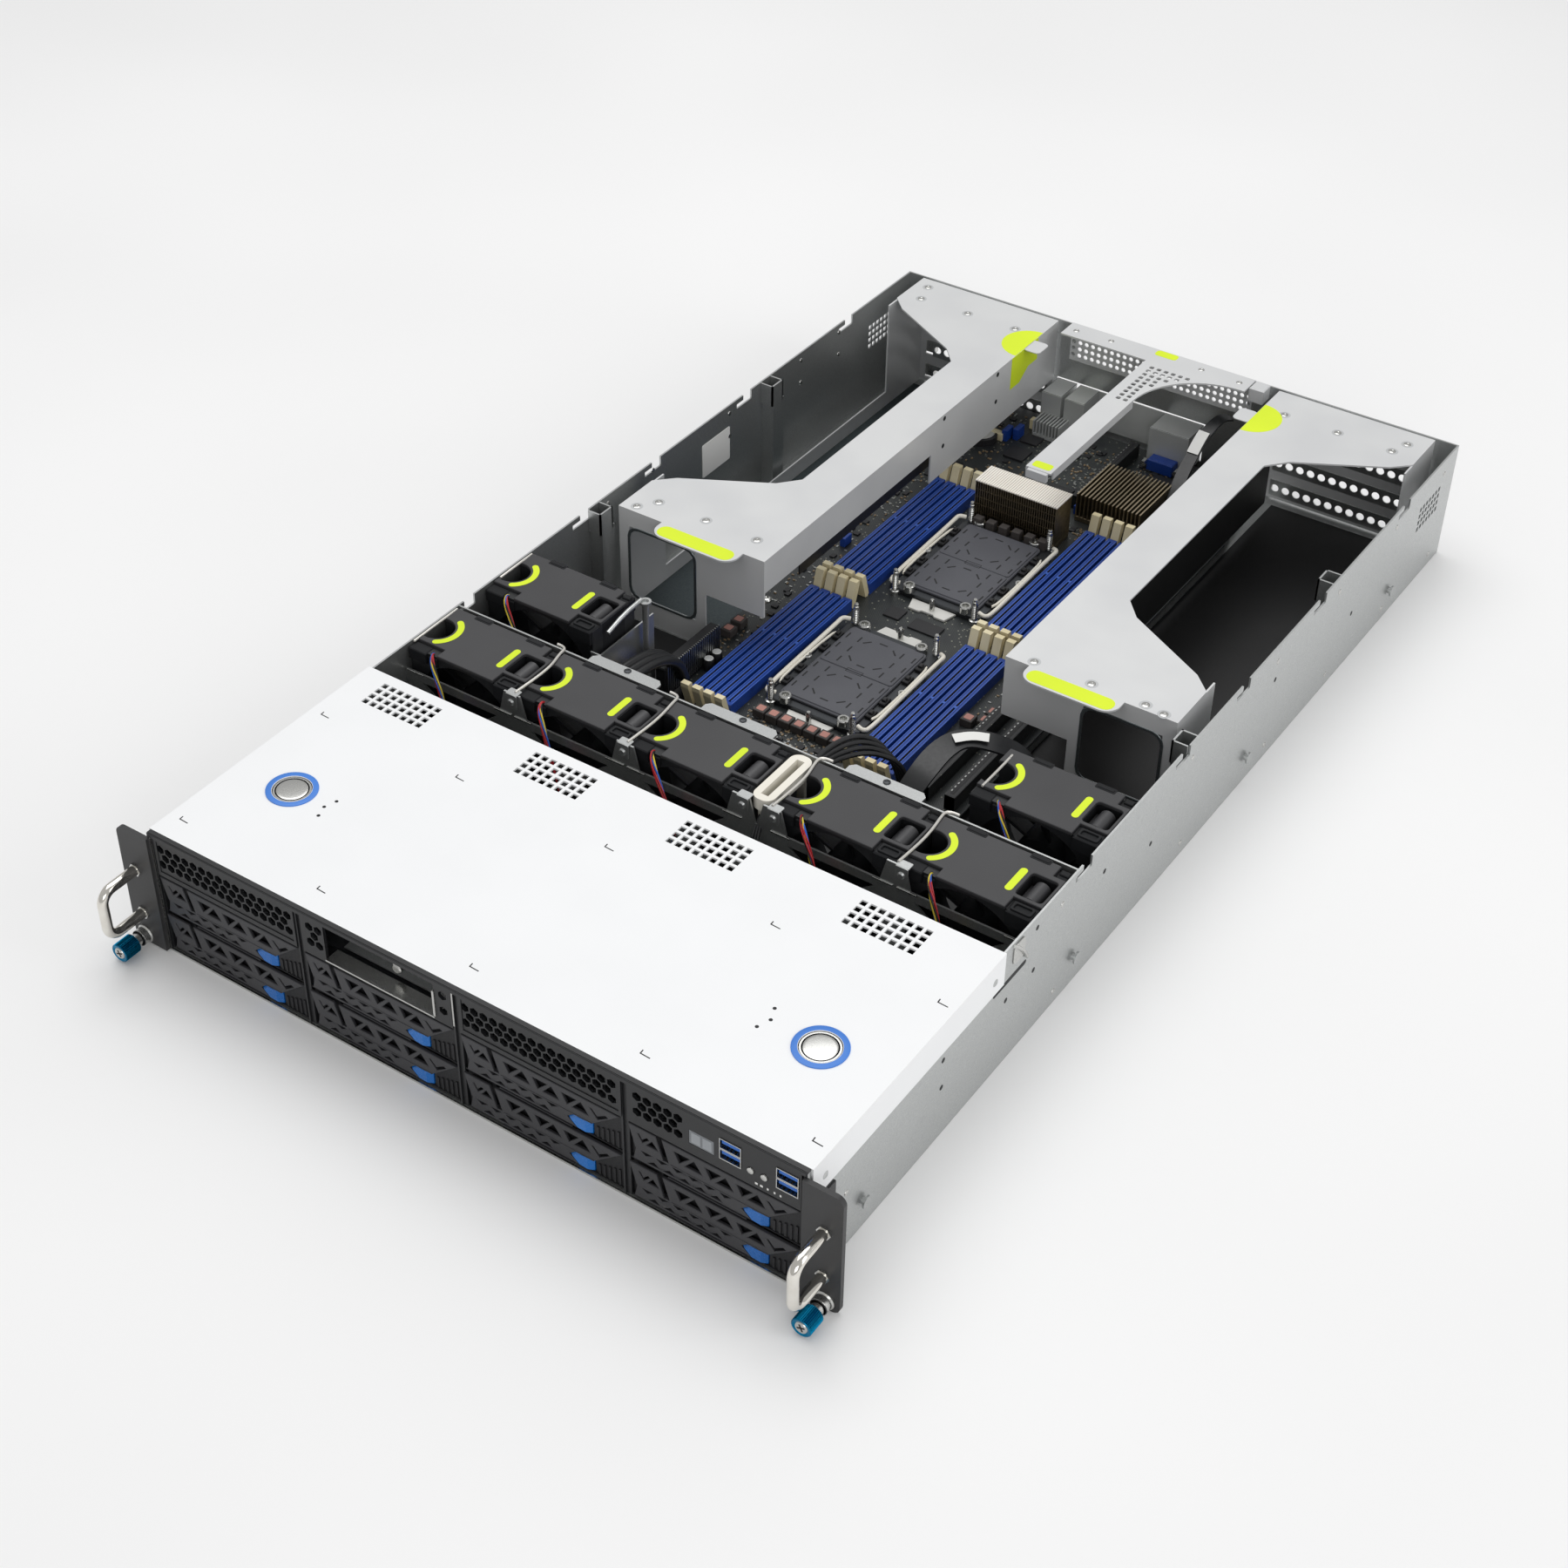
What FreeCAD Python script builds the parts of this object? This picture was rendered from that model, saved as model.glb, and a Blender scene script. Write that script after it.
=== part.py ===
import FreeCAD, Part
import math
import operator
import os
from types import SimpleNamespace

import Sketcher
from FreeCAD import Vector

# A two-unit rack server, opened for service: eight front drive bays in four columns, a row
# of hot-swap fans, two processor sockets and two lift-out accelerator cages at the rear.
# Millimetres, +Z up. The front faces -Y. The origin is at the middle of the footprint.

doc = FreeCAD.newDocument("rack_server")
sheet = doc.addObject("Spreadsheet::Sheet", "sizes")

# Sizes: alias, millimetres (or a plain number) or the formula it follows from, what it measures.
DIMENSIONS = [
    # Chassis
    ("chassis_width", "=inside * 2 + steel * 4", "over the side skirts of the lid"),
    ("chassis_depth", "=board_back + tail_room", "front face to rear wall"),
    ("chassis_height", 87.5, "floor to the top of the lid"),
    ("steel", 1.2, "sheet of the chassis, lid and cages"),
    ("inside", "=(tray_width + tray_gap) * bay_columns / 2", "inner face of a side wall, from the middle"),
    ("notch_length", 18.0, "lid hook notch along the wall"),
    ("notch_depth", 7.0, "lid hook notch below the wall's edge"),
    ("notch_hook", 8.0, "part of the notch that stays covered"),
    ("notch_one", "=lid_back + notch_set", "front of the first hook notch"),
    ("notch_set", 78.0, "first hook notch behind the lid"),
    ("notch_two", "=notch_one + notch_step_one", "front of the second hook notch"),
    ("notch_step_one", 118.0, "first to second hook notch"),
    ("notch_three", "=notch_two + notch_step_two", "front of the third hook notch"),
    ("notch_step_two", 79.0, "second to third hook notch"),
    ("notch_four", "=notch_three + notch_step_three", "front of the fourth hook notch"),
    ("notch_step_three", 108.0, "third to fourth hook notch"),
    ("notch_five", "=chassis_depth - notch_tail", "front of the fifth hook notch"),
    ("notch_tail", 100.0, "last hook notch ahead of the rear end"),
    ("stud_radius", 2.2, "neck of a rail stud"),
    ("stud_head", 3.8, "head radius of a rail stud"),
    ("stud_neck", 2.0, "neck length of a rail stud"),
    ("stud_cap", 1.2, "head thickness of a rail stud"),
    ("stud_first", 52.0, "first rail stud from the front"),
    ("stud_pitch", "=(chassis_depth - stud_first - stud_tail) / (stud_count - 1)", "between rail studs"),
    ("stud_tail", 92.5, "last rail stud ahead of the rear end"),
    ("stud_height", 20.0, "rail studs above the floor"),
    ("stud_count", 4, "rail studs on each side"),
    ("grid_hole", 3.4, "square vent hole in a side wall"),
    ("grid_pitch", 5.2, "between side wall vent holes"),
    ("grid_start", "=chassis_depth - grid_tail", "front of the side wall vents"),
    ("grid_tail", 58.0, "side wall vents ahead of the rear end"),
    ("grid_low", 47.0, "bottom of the side wall vents"),
    ("grid_columns", 7, "side wall vent columns"),
    ("grid_rows", 4, "side wall vent rows"),
    ("post_size", 10.0, "side of a cage guide channel"),
    ("post_length", 13.0, "length of a cage guide channel"),
    ("post_front", "=cage_front - post_length", "front guide channel"),
    ("post_rear", "=post_front + post_pitch", "rear guide channel"),
    ("post_pitch", 200.0, "between the guide channels"),
    ("post_top", "=chassis_height - post_drop", "top of the guide channels"),
    ("post_drop", 15.5, "guide channels below the chassis height"),
    # Front lid
    ("lid_front", 3.0, "front edge of the lid"),
    ("lid_back", "=bay_back + lid_over", "rear edge of the lid"),
    ("lid_over", 10.0, "lid beyond the drive cage"),
    ("skirt_low", "=chassis_height - skirt_drop", "bottom edge of the lid's skirts"),
    ("skirt_drop", 22.5, "height of the lid's skirts"),
    ("ring_radius", 15.0, "outside of a button ring"),
    ("ring_bore", 11.5, "inside of a button ring"),
    ("ring_rise", 0.6, "button ring above the lid"),
    ("ring_x", "=chassis_width / 2 - ring_inset", "button rings from the centre line"),
    ("ring_inset", 42.0, "button rings from the lid's side edge"),
    ("ring_y", 73.0, "button rings from the front"),
    ("button_gap", 0.3, "round button to its hole, radially"),
    ("button_depth", 7.0, "height of a lid button"),
    ("button_travel", 2.5, "stroke of a lid button"),
    ("button_catch", 2.0, "reach of a lid button's catches under the lid"),
    ("catch_width", 8.0, "catch of a lid button"),
    ("vent_hole", 4.0, "square lid vent hole"),
    ("vent_pitch", 5.8, "between lid vent holes"),
    ("vent_columns", 8, "holes across a lid vent"),
    ("vent_rows", 4, "holes along a lid vent"),
    ("vent_y", 157.0, "front of the lid vents"),
    ("vent_one", -37.8, "first lid vent from the middle of its column"),
    ("vent_two", -32.1, "second lid vent from the middle of its column"),
    ("vent_three", -33.9, "third lid vent from the middle of its column"),
    ("vent_four", -27.7, "fourth lid vent from the middle of its column"),
    # Rack ears and handles
    ("ear_span", "=chassis_width + ear_reach * 2", "over both rack ears"),
    ("ear_reach", 21.3, "ear beyond the chassis"),
    ("ear_thick", 3.0, "ear plate"),
    ("ear_low", 0.6, "bottom edge of the ears"),
    ("ear_high", "=chassis_height - ear_drop", "top edge of the ears"),
    ("ear_drop", 3.5, "ears below the chassis height"),
    ("ear_corner", 5.0, "corner radius of the ears"),
    ("ear_leg", 24.0, "length of the leg along the side wall"),
    ("screw_span", "=ear_span - screw_inset * 2", "between the two thumbscrews"),
    ("screw_inset", 8.75, "thumbscrew from the ear's edge"),
    ("screw_height", 7.0, "thumbscrews above the floor"),
    ("handle_x", "=ear_span / 2 - handle_inset", "handles from the centre line"),
    ("handle_inset", 10.3, "handle from the ear's edge"),
    ("handle_reach", 33.0, "handles in front of the chassis"),
    ("handle_radius", 3.2, "handle bar"),
    ("handle_bend", 8.0, "handle bend, centre line"),
    ("handle_low", 24.0, "lower leg of a handle"),
    ("handle_high", 56.0, "upper leg of a handle"),
    # Thumbscrews
    ("screw_shaft", 2.7, "thumbscrew shaft radius in the ferrule"),
    ("screw_gap", 0.3, "thumbscrew shaft to its ferrule, radially and lengthwise"),
    ("thread_radius", 2.4, "thumbscrew thread behind the ear"),
    ("ferrule_radius", 5.0, "ferrule on the ear"),
    ("ferrule_length", 6.0, "ferrule in front of the ear"),
    ("knob_radius", 6.0, "knurled knob"),
    ("knob_length", 12.0, "knurled knob"),
    ("collar_radius", 3.8, "neck between knob and ferrule"),
    ("collar_length", 3.4, "neck between knob and ferrule"),
    ("screw_tail", 8.0, "thread behind the ear"),
    # Drive bays
    ("rack_sheet", 0.8, "sheet of the drive cage"),
    ("bay_columns", 4, "columns of drives"),
    ("bay_height", "=tray_height + bay_clear", "clear height of a bay"),
    ("bay_clear", 0.4, "trays to the bay's floor and roof, together"),
    ("bay_front", 12.0, "front edge of the cage walls"),
    ("bay_back", "=tray_depth + plug_room", "rear edge of the cage walls"),
    ("plug_room", 8.0, "between the trays and the backplane"),
    ("trim_width", "=tray_gap - trim_gap", "front post between two columns"),
    ("trim_gap", 0.4, "front posts to the tray faces, together"),
    ("trim_front", 1.5, "front face of the posts"),
    ("backplane_thick", 1.6, "drive backplane board"),
    ("backplane_slot", 60.0, "air slot in the backplane"),
    ("connector_width", 44.0, "drive connector on the backplane"),
    ("connector_depth", 5.0, "drive connector on the backplane"),
    # Drive trays
    ("tray_width", "=drive_width + tray_side * 2", "face of a drive tray"),
    ("tray_side", 1.2, "tray face beyond the drive on each side"),
    ("tray_gap", 4.8, "between the faces of two trays"),
    ("tray_height", "=drive_height + tray_lip", "face of a drive tray"),
    ("tray_lip", 0.7, "tray face below the drive"),
    ("tray_face", 3.5, "tray's back panel behind the lever"),
    ("tray_depth", "=bay_front + drive_set + drive_length + rail_over", "rear end of the tray rails"),
    ("drive_set", 2.0, "drive behind the cage's front edge"),
    ("rail_over", 7.0, "tray rails beyond the drive"),
    ("rail_thick", "=tray_side", "tray side rail"),
    ("rail_height", 21.0, "tray side rail"),
    ("drive_width", 101.6, "three and a half inch drive"),
    ("drive_length", 147.0, "three and a half inch drive"),
    ("drive_height", 26.1, "three and a half inch drive"),
    ("band_face", 1.8, "front of the perforated band"),
    ("band_top", 10.6, "top of the perforated band"),
    ("lever_low", "=band_top + lever_gap", "lower edge of the lever"),
    ("lever_gap", 0.3, "lever above the perforated band"),
    ("lever_high", "=tray_height - lever_head", "upper edge of the lever"),
    ("lever_head", 0.5, "lever below the tray's top edge"),
    ("lever_thick", 2.0, "lever plate"),
    ("lever_right", "=tray_width / 2 - lever_inset", "tip of the lever from the tray's middle"),
    ("lever_inset", 0.5, "lever's tip from the tray's edge"),
    ("lever_slope", 18.0, "sideways run of the lever's slanted tip"),
    ("lever_left", "=-tray_width / 2 + lever_set", "upper left corner of the lever"),
    ("lever_set", 20.5, "lever's left corner from the tray's edge"),
    ("panel_lean", 4.5, "sideways run of the lever's left edge"),
    ("slit_width", 3.5, "slit between lever and fixed panel"),
    ("hinge_x", "=-tray_width / 2 + hinge_set", "hinge pin from the tray's middle"),
    ("hinge_set", 24.8, "hinge pin from the tray's left edge"),
    ("hinge_y", 3.4, "hinge pin behind the face"),
    ("pin_radius", 0.8, "hinge pin"),
    ("pin_gap", 0.06, "hinge pin to barrel, radially"),
    ("barrel_radius", 1.7, "hinge barrel"),
    ("window_height", 5.6, "triangular windows in the lever"),
    ("window_low", 16.0, "bottom of the windows"),
    ("window_pitch", 19.0, "between pairs of windows"),
    ("release_left", "=tray_width / 2 - release_set", "point of the release button"),
    ("release_set", 36.0, "release button's point from the tray's edge"),
    ("release_right", "=release_left + release_width", "right end of the release button"),
    ("release_width", 16.0, "release button"),
    ("release_low", 0.7, "bottom of the release button"),
    ("release_gap", 0.2, "release button to its pocket"),
    ("release_nose", 6.4, "slope on the left of the button"),
    ("release_proud", 0.6, "front of the release button"),
    ("release_back", 8.0, "rear of the release button"),
    ("release_travel", 2.5, "stroke of the release button"),
    # Front panels
    ("panel_thick", 2.0, "front panels"),
    ("bay_top", "=steel + rack_sheet + (bay_height + rack_sheet) * 2", "upper face of the drive cage"),
    ("panel_middle", "=(bay_top + chassis_height - steel) / 2", "middle height of the front panels"),
    ("hex_flat", "=hex_pitch - hex_web", "across the flats of a grille hexagon"),
    ("hex_web", 1.1, "metal between two grille hexagons"),
    ("hex_pitch", "=(tray_width + tray_gap - trim_width - hex_margin * 2) / hex_columns",
     "between grille hexagons"),
    ("hex_margin", 1.8, "grille from the panel's side edges"),
    ("hex_columns", 16, "hexagons across a wide grille"),
    ("hex_low", "=panel_middle + hex_shift - hex_pitch * sqrt(3) / 2", "middle of the lowest hexagons"),
    ("hex_shift", 0.9, "grilles above the middle of the panels"),
    ("slot_left", "=-tray_width - tray_gap + trim_width / 2 + slot_set", "left edge of the expansion slot"),
    ("slot_set", 16.6, "expansion slot from its panel's left edge"),
    ("slot_right", "=-trim_width / 2 - slot_end", "right edge of the expansion slot"),
    ("slot_end", 11.8, "expansion slot from its panel's right edge"),
    ("slot_low", "=bay_top + slot_sill", "bottom of the expansion slot"),
    ("slot_sill", 2.0, "panel below the expansion slot"),
    ("slot_high", "=chassis_height - steel - slot_head", "top of the expansion slot"),
    ("slot_head", 2.3, "panel above the expansion slot"),
    ("port_width", 13.0, "opening of a stacked port pair"),
    ("port_height", 14.5, "opening of a stacked port pair"),
    ("port_low", "=panel_middle + port_shift - port_height / 2", "bottom of the port openings"),
    ("port_shift", 1.1, "front ports above the middle of the panels"),
    ("port_one", "=inside - port_one_set", "left edge of the first port opening"),
    ("port_one_set", 50.1, "first port opening from the side wall"),
    ("port_two", "=inside - port_two_set", "left edge of the second port opening"),
    ("port_two_set", 16.6, "second port opening from the side wall"),
    ("display_left", "=inside - display_set", "left edge of the display window"),
    ("display_set", 68.6, "display window from the side wall"),
    ("display_width", 15.0, "display window"),
    ("display_low", "=panel_middle - display_drop", "bottom of the display window"),
    ("display_drop", 7.15, "display window below the middle of the panels"),
    ("display_height", 9.5, "display window"),
    ("key_radius", 2.1, "round front key"),
    ("key_gap", 0.2, "front key to its hole, radially"),
    ("key_height", "=panel_middle - key_drop", "front keys above the floor"),
    ("key_drop", 3.75, "front keys below the middle of the panels"),
    ("key_one", "=inside - key_one_set", "power key"),
    ("key_one_set", 31.6, "power key from the side wall"),
    ("key_two", "=inside - key_two_set", "locate key"),
    ("key_two_set", 23.6, "locate key from the side wall"),
    ("key_travel", 1.0, "stroke of a front key"),
    ("key_proud", 0.8, "front key in front of the panel"),
    ("key_flange", 3.1, "half width of the plate behind a key"),
    # Fans
    ("fan_pitch", "=(inside * 2 - cable_gap) / fans_across", "width of a fan module with its gap"),
    ("fans_across", 5, "fans in the front row"),
    ("cable_gap", 17.2, "gap for cables in the front row"),
    ("fan_gap", 1.0, "between two fan modules"),
    ("fan_front", "=lid_back + fan_room", "front of the fan row"),
    ("fan_room", 30.0, "between the lid and the fans"),
    ("fan_depth", 50.8, "fan module, front to back"),
    ("fan_top", "=chassis_height - fan_clear", "top of the fan modules"),
    ("fan_clear", 1.5, "fans below the chassis height"),
    ("fan_rear_front", "=fan_front + fan_depth + fan_step", "front of the rear pair of fans"),
    ("fan_step", 23.2, "between the fan row and the rear pair"),
    ("fan_bore", "=min(fan_pitch / 2 - fan_side; fan_axis - fan_wall)", "air passage radius"),
    ("fan_side", 3.8, "fan module beside its air passage, at least"),
    ("fan_wall", 5.0, "fan module under its air passage, at least"),
    ("fan_axis", "=fan_top / 2", "fan axis above the floor"),
    ("fan_cover", 2.4, "top plate of a fan module"),
    ("fan_set", 4.0, "housing behind the top plate's edges"),
    ("hub_radius", 17.0, "rotor hub"),
    ("blade_tip", "=fan_bore - tip_gap", "outer end of a blade"),
    ("tip_gap", 2.0, "blades to the wall of the air passage"),
    ("blade_count", 7, "blades of a rotor"),
    ("blade_thick", 1.6, "fan blade"),
    ("blade_chord", 24.0, "fan blade along the axis"),
    ("blade_rise", 9.0, "fan blade across the axis"),
    ("rotor_gap", 1.5, "rotor hub to the motor base"),
    ("rotor_length", 28.0, "rotor hub"),
    ("motor_radius", 15.0, "motor base behind the rotor"),
    ("shaft_radius", 1.5, "rotor shaft"),
    ("shaft_gap", 0.05, "rotor shaft to its bearing, radially"),
    ("arm_width", 5.0, "arms that carry the motor base"),
    ("arm_depth", 4.0, "arms and motor base, front to back"),
    ("finger_radius", 10.0, "finger hole in a fan cover"),
    ("finger_x", "=(fan_gap - fan_pitch) / 2 + finger_inset", "finger hole from the module's middle"),
    ("finger_inset", 10.8, "finger hole's middle from the module's edge"),
    ("recess_left", "=(fan_pitch - fan_gap) / 2 - recess_inset - recess_width",
     "left edge of the latch recess"),
    ("recess_inset", 4.8, "latch recess from the module's edge"),
    ("recess_width", 15.0, "latch recess"),
    ("recess_length", 22.0, "latch recess"),
    ("grip_depth", 8.0, "depth of the finger hole and the latch recess"),
    # Fan cage
    ("wall_top", "=fan_top - wall_drop", "top of the grille wall"),
    ("wall_drop", 16.0, "grille wall below the fans' tops"),
    ("grille_half", "=fan_bore - grille_inset", "half width of an X grille"),
    ("grille_inset", 4.0, "X grille within the air passage"),
    ("grille_high", "=wall_top - grille_head", "top of an X grille"),
    ("grille_head", 6.0, "wall above an X grille"),
    ("grille_low", 8.0, "bottom of an X grille"),
    ("grille_bar", 5.0, "bar of an X grille"),
    ("tab_width", 20.0, "tab between two fan modules"),
    ("flange_width", 51.0, "rear flange behind a fan"),
    ("flange_depth", 8.5, "rear flange behind a fan"),
    ("guide_width", 14.0, "cable guide ring"),
    ("guide_length", 47.0, "cable guide ring"),
    ("guide_slot", 5.0, "slot of the cable guide"),
    ("guide_wall", 5.0, "end wall of the cable guide"),
    ("guide_rise", 8.0, "height of the cable guide ring"),
    # Main board
    ("board_left", "=socket_x - dimm_offset - bank_half - board_side", "left edge of the main board"),
    ("board_side", 27.15, "board left of the left banks"),
    ("board_right", "=socket_x + dimm_offset + bank_half + card_zone", "right edge of the main board"),
    ("card_zone", 49.15, "board right of the right banks"),
    ("board_front", "=fan_front + fan_depth + cable_room", "front edge of the main board"),
    ("cable_room", 71.2, "between the fan row and the main board"),
    ("board_back", "=card_back + card_short + board_edge", "rear edge of the main board"),
    ("board_edge", 11.0, "board behind the short card sockets"),
    ("tail_room", 10.0, "behind the board"),
    ("board_rise", 7.4, "underside of the board above the underside of the chassis"),
    ("board_thick", 1.6, "main board"),
    ("standoff_radius", 3.0, "board standoff"),
    ("board_corner", 40.0, "cut corner of the board in front"),
    ("board_step", 20.0, "cut corner of the board behind"),
    ("post_inset", 12.0, "board standoffs from the board's sides"),
    ("post_end", 60.0, "board standoffs from the board's ends"),
    ("solder", 0.5, "how far a part is let into the board"),
    ("port_stack", 30.0, "double port above the board"),
    ("ports_left", -86.0, "left side of the board's rear ports"),
    ("ports_right", 34.0, "right side of the board's rear ports"),
    ("ports_depth", 24.0, "rear ports, front to back"),
    ("card_socket", 7.0, "card socket across its slot"),
    ("card_rise", 11.0, "card socket above the board"),
    ("card_long", 120.0, "long card socket"),
    ("card_short", 89.0, "short card socket"),
    ("card_front", "=board_front + card_ahead", "front of the long card sockets"),
    ("card_ahead", 14.0, "long card sockets behind the board's front edge"),
    ("card_back", "=bridge_y + card_set", "front of the short card sockets"),
    ("card_set", 18.5, "short card sockets behind the chipset heatsink's front"),
    ("coil_size", 8.0, "regulator coil"),
    ("coil_rise", 6.0, "regulator coil above the board"),
    ("coil_pitch", 9.6, "between regulator coils"),
    ("coil_count", 7, "regulator coils in a row"),
    ("coil_ahead", 68.0, "coils in front of the middle of the front socket"),
    ("tin_radius", 4.0, "round capacitor"),
    ("tin_rise", 9.0, "round capacitor above the board"),
    ("tin_x", "=bridge_left + bridge_width / 2 + tin_shift", "first round capacitor from the centre line"),
    ("tin_shift", 5.0, "first round capacitor from the heatsink's middle"),
    ("tin_y", "=bridge_y + bridge_length + tin_set", "round capacitors from the front"),
    ("tin_set", 9.5, "round capacitors behind the chipset heatsink"),
    ("socket_x", -28.0, "processor sockets from the centre line"),
    ("socket_front", "=dimm_front + socket_shift", "middle of the front processor socket"),
    ("socket_shift", 5.0, "front processor socket behind its banks' middle"),
    ("socket_back", "=socket_front + socket_length + socket_between", "middle of the rear processor socket"),
    ("socket_between", 50.0, "between the socket frames"),
    ("socket_width", 70.0, "socket frame"),
    ("socket_length", 100.0, "socket frame"),
    ("socket_rise", 4.5, "socket frame above the board"),
    ("cap_width", 58.0, "socket cover"),
    ("cap_length", 88.0, "socket cover"),
    ("cap_rise", 3.0, "socket cover above the frame"),
    ("stud_tall", 12.0, "socket nuts above the board"),
    ("nut_flat", 4.4, "across the flats of a socket nut"),
    ("nut_inset", 13.0, "socket nuts from the frame's sides"),
    ("nut_edge", 3.0, "socket nuts from the frame's ends"),
    ("dimm_pitch", 8.7, "between memory sockets"),
    ("dimm_width", 6.6, "memory socket"),
    ("dimm_length", 142.0, "memory socket"),
    ("dimm_rise", 8.5, "memory socket above the board"),
    ("dimm_offset", "=socket_width / 2 + bank_gap + bank_half", "middle of a bank from the processors"),
    ("bank_gap", 9.15, "banks beside the socket frames"),
    ("dimm_front", "=board_front + dimm_set + dimm_length / 2", "middle of the front banks"),
    ("dimm_set", 15.0, "front banks behind the board's front edge"),
    ("dimm_back", "=dimm_front + dimm_length + dimm_between", "middle of the rear banks"),
    ("dimm_between", 22.0, "between front and rear banks"),
    ("dimm_count", 4, "sockets in a bank"),
    ("bank_half", "=(dimm_pitch * (dimm_count - 1) + dimm_width) / 2", "half width of a memory bank"),
    ("groove_depth", 5.0, "groove for a module's edge"),
    ("groove_half", 0.8, "half width of the groove"),
    ("groove_end", 3.0, "solid end of a memory socket"),
    ("latch_slim", 0.6, "memory latch narrower than its socket"),
    ("latch_length", 9.0, "reach of an open memory latch beyond its socket"),
    ("latch_thick", 4.0, "memory latch along the socket"),
    ("latch_rise", 19.0, "memory latch above the board"),
    ("latch_pivot", 2.0, "memory latch's pivot above the board"),
    ("latch_boss", 1.7, "round boss on the pivot of a memory latch"),
    ("latch_gap", 0.3, "memory latch to its socket"),
    ("regulator_width", 64.0, "regulator heatsink"),
    ("regulator_length", 22.0, "regulator heatsink"),
    ("regulator_top", 44.5, "top of the regulator heatsink"),
    ("regulator_y", "=socket_back + socket_length / 2 + regulator_set", "front of the regulator heatsink"),
    ("regulator_set", 5.0, "regulator heatsink behind the socket frame"),
    ("bridge_left", "=socket_x + bridge_shift", "left edge of the chipset heatsink"),
    ("bridge_shift", 25.0, "chipset heatsink right of the sockets' middle"),
    ("bridge_width", 50.0, "chipset heatsink"),
    ("bridge_length", 55.0, "chipset heatsink"),
    ("bridge_y", "=dimm_back + dimm_length / 2 + latch_gap + latch_length + bridge_set",
     "front of the chipset heatsink"),
    ("bridge_set", 3.2, "chipset heatsink behind the open latches"),
    ("bridge_rise", 22.0, "chipset heatsink above the board"),
    ("fin_thick", 1.2, "heatsink fin"),
    ("fin_count", 13, "fins of a heatsink"),
    ("sink_base", 4.0, "base of a heatsink"),
    # Accelerator cages and riser
    ("cage_inner", 88.0, "inner edge of the cages from the centre line"),
    ("cage_outer", "=inside - post_size - post_gap", "outer edge of the cages from the centre line"),
    ("post_gap", 4.1, "cages from the guide channels"),
    ("cage_front", "=fan_rear_front + fan_depth + cage_room", "front of the cages"),
    ("cage_room", 72.2, "between the rear fans and the cages"),
    ("cage_back", "=chassis_depth - cage_tail", "rear of the cages"),
    ("cage_tail", 5.0, "cages ahead of the rear end"),
    ("cage_spine", "=cage_inner + spine_width", "inner edge of the cut-out from the centre line"),
    ("spine_width", 34.0, "cover beside the cut-out"),
    ("cut_front", "=cage_front + cut_set", "cut-out at the outer edge, front"),
    ("cut_set", 49.0, "cut-out behind the cage's front"),
    ("cut_back", "=cage_back - cut_tail", "cut-out at the outer edge, rear"),
    ("cut_tail", 50.0, "cut-out ahead of the cage's rear"),
    ("cut_slope", 38.0, "run of the cut-out's slanted ends along Y"),
    ("cut_ease", 12.0, "shoulder of the cut-out's slanted ends"),
    ("cage_skirt", 25.0, "inner skirt of the cages"),
    ("cage_deep", 48.0, "inner skirt behind the processors"),
    ("cage_step", "=cage_front + cage_shallow", "where the inner skirt gets deeper"),
    ("cage_shallow", 205.0, "length of the shallow part of the inner skirt"),
    ("cage_foot", 1.5, "bottom edge of the cage walls"),
    ("cage_leg", "=leg_gap - board_left", "cage's front leg from the centre line"),
    ("leg_gap", 2.2, "cage's front leg beyond the board's left edge"),
    ("brow_rise", 35.0, "upper part of a cage's front wall above the board"),
    ("brow_lap", 1.0, "how far two flat pieces of a cage lap"),
    ("window_frame", 8.3, "front wall beside its opening"),
    ("window_sill", 20.0, "bottom of the opening in a cage's front wall"),
    ("window_head", 12.0, "front wall above its opening"),
    ("tab_middle", 48.5, "middle of the lift tab from the cage's inner edge"),
    ("tab_depth", 15.0, "lift tab in front of a cage"),
    ("tab_span", 64.0, "lift tab in front of a cage"),
    ("tab_corner", 10.0, "corner radius of a lift tab"),
    ("slot_count", 4, "card slots at the rear of a cage"),
    ("slot_pitch", 20.32, "between card slots"),
    ("slot_open", 12.0, "clear height of a card slot"),
    ("riser_bar", 20.0, "depth of the riser bracket's bar"),
    ("riser_left", -78.0, "left end of the riser bracket's bar"),
    ("riser_right", 68.0, "right end of the riser bracket's bar"),
    ("stem_left", -9.0, "left edge of the riser bracket's stem"),
    ("stem_right", 10.0, "right edge of the riser bracket's stem"),
    ("stem_front", "=cage_step - stem_set", "front end of the riser bracket's stem"),
    ("stem_set", 10.0, "riser bracket's stem ahead of the deep skirt"),
    ("stem_flare", 55.0, "radius between stem and bar"),
    ("riser_low", 58.0, "bottom edge of the small card brackets"),
    ("riser_skirt", 27.0, "folded edge of the riser bracket"),
    ("perf_hole", 3.6, "square hole in the stem"),
    ("perf_pitch", 6.4, "between the stem's square holes"),
]

NOTE_COLUMN = "C"
for row, (alias, _, note) in enumerate(DIMENSIONS, start=1):
    sheet.set(f"A{row}", alias)
    sheet.set(f"{NOTE_COLUMN}{row}", note)
    sheet.setAlias(f"B{row}", alias)
for row, (_, content, _) in enumerate(DIMENSIONS, start=1):
    sheet.set(f"B{row}", str(content))
doc.recompute()

OPERATIONS = {"+": operator.add, "-": operator.sub, "*": operator.mul, "/": operator.truediv}


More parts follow.
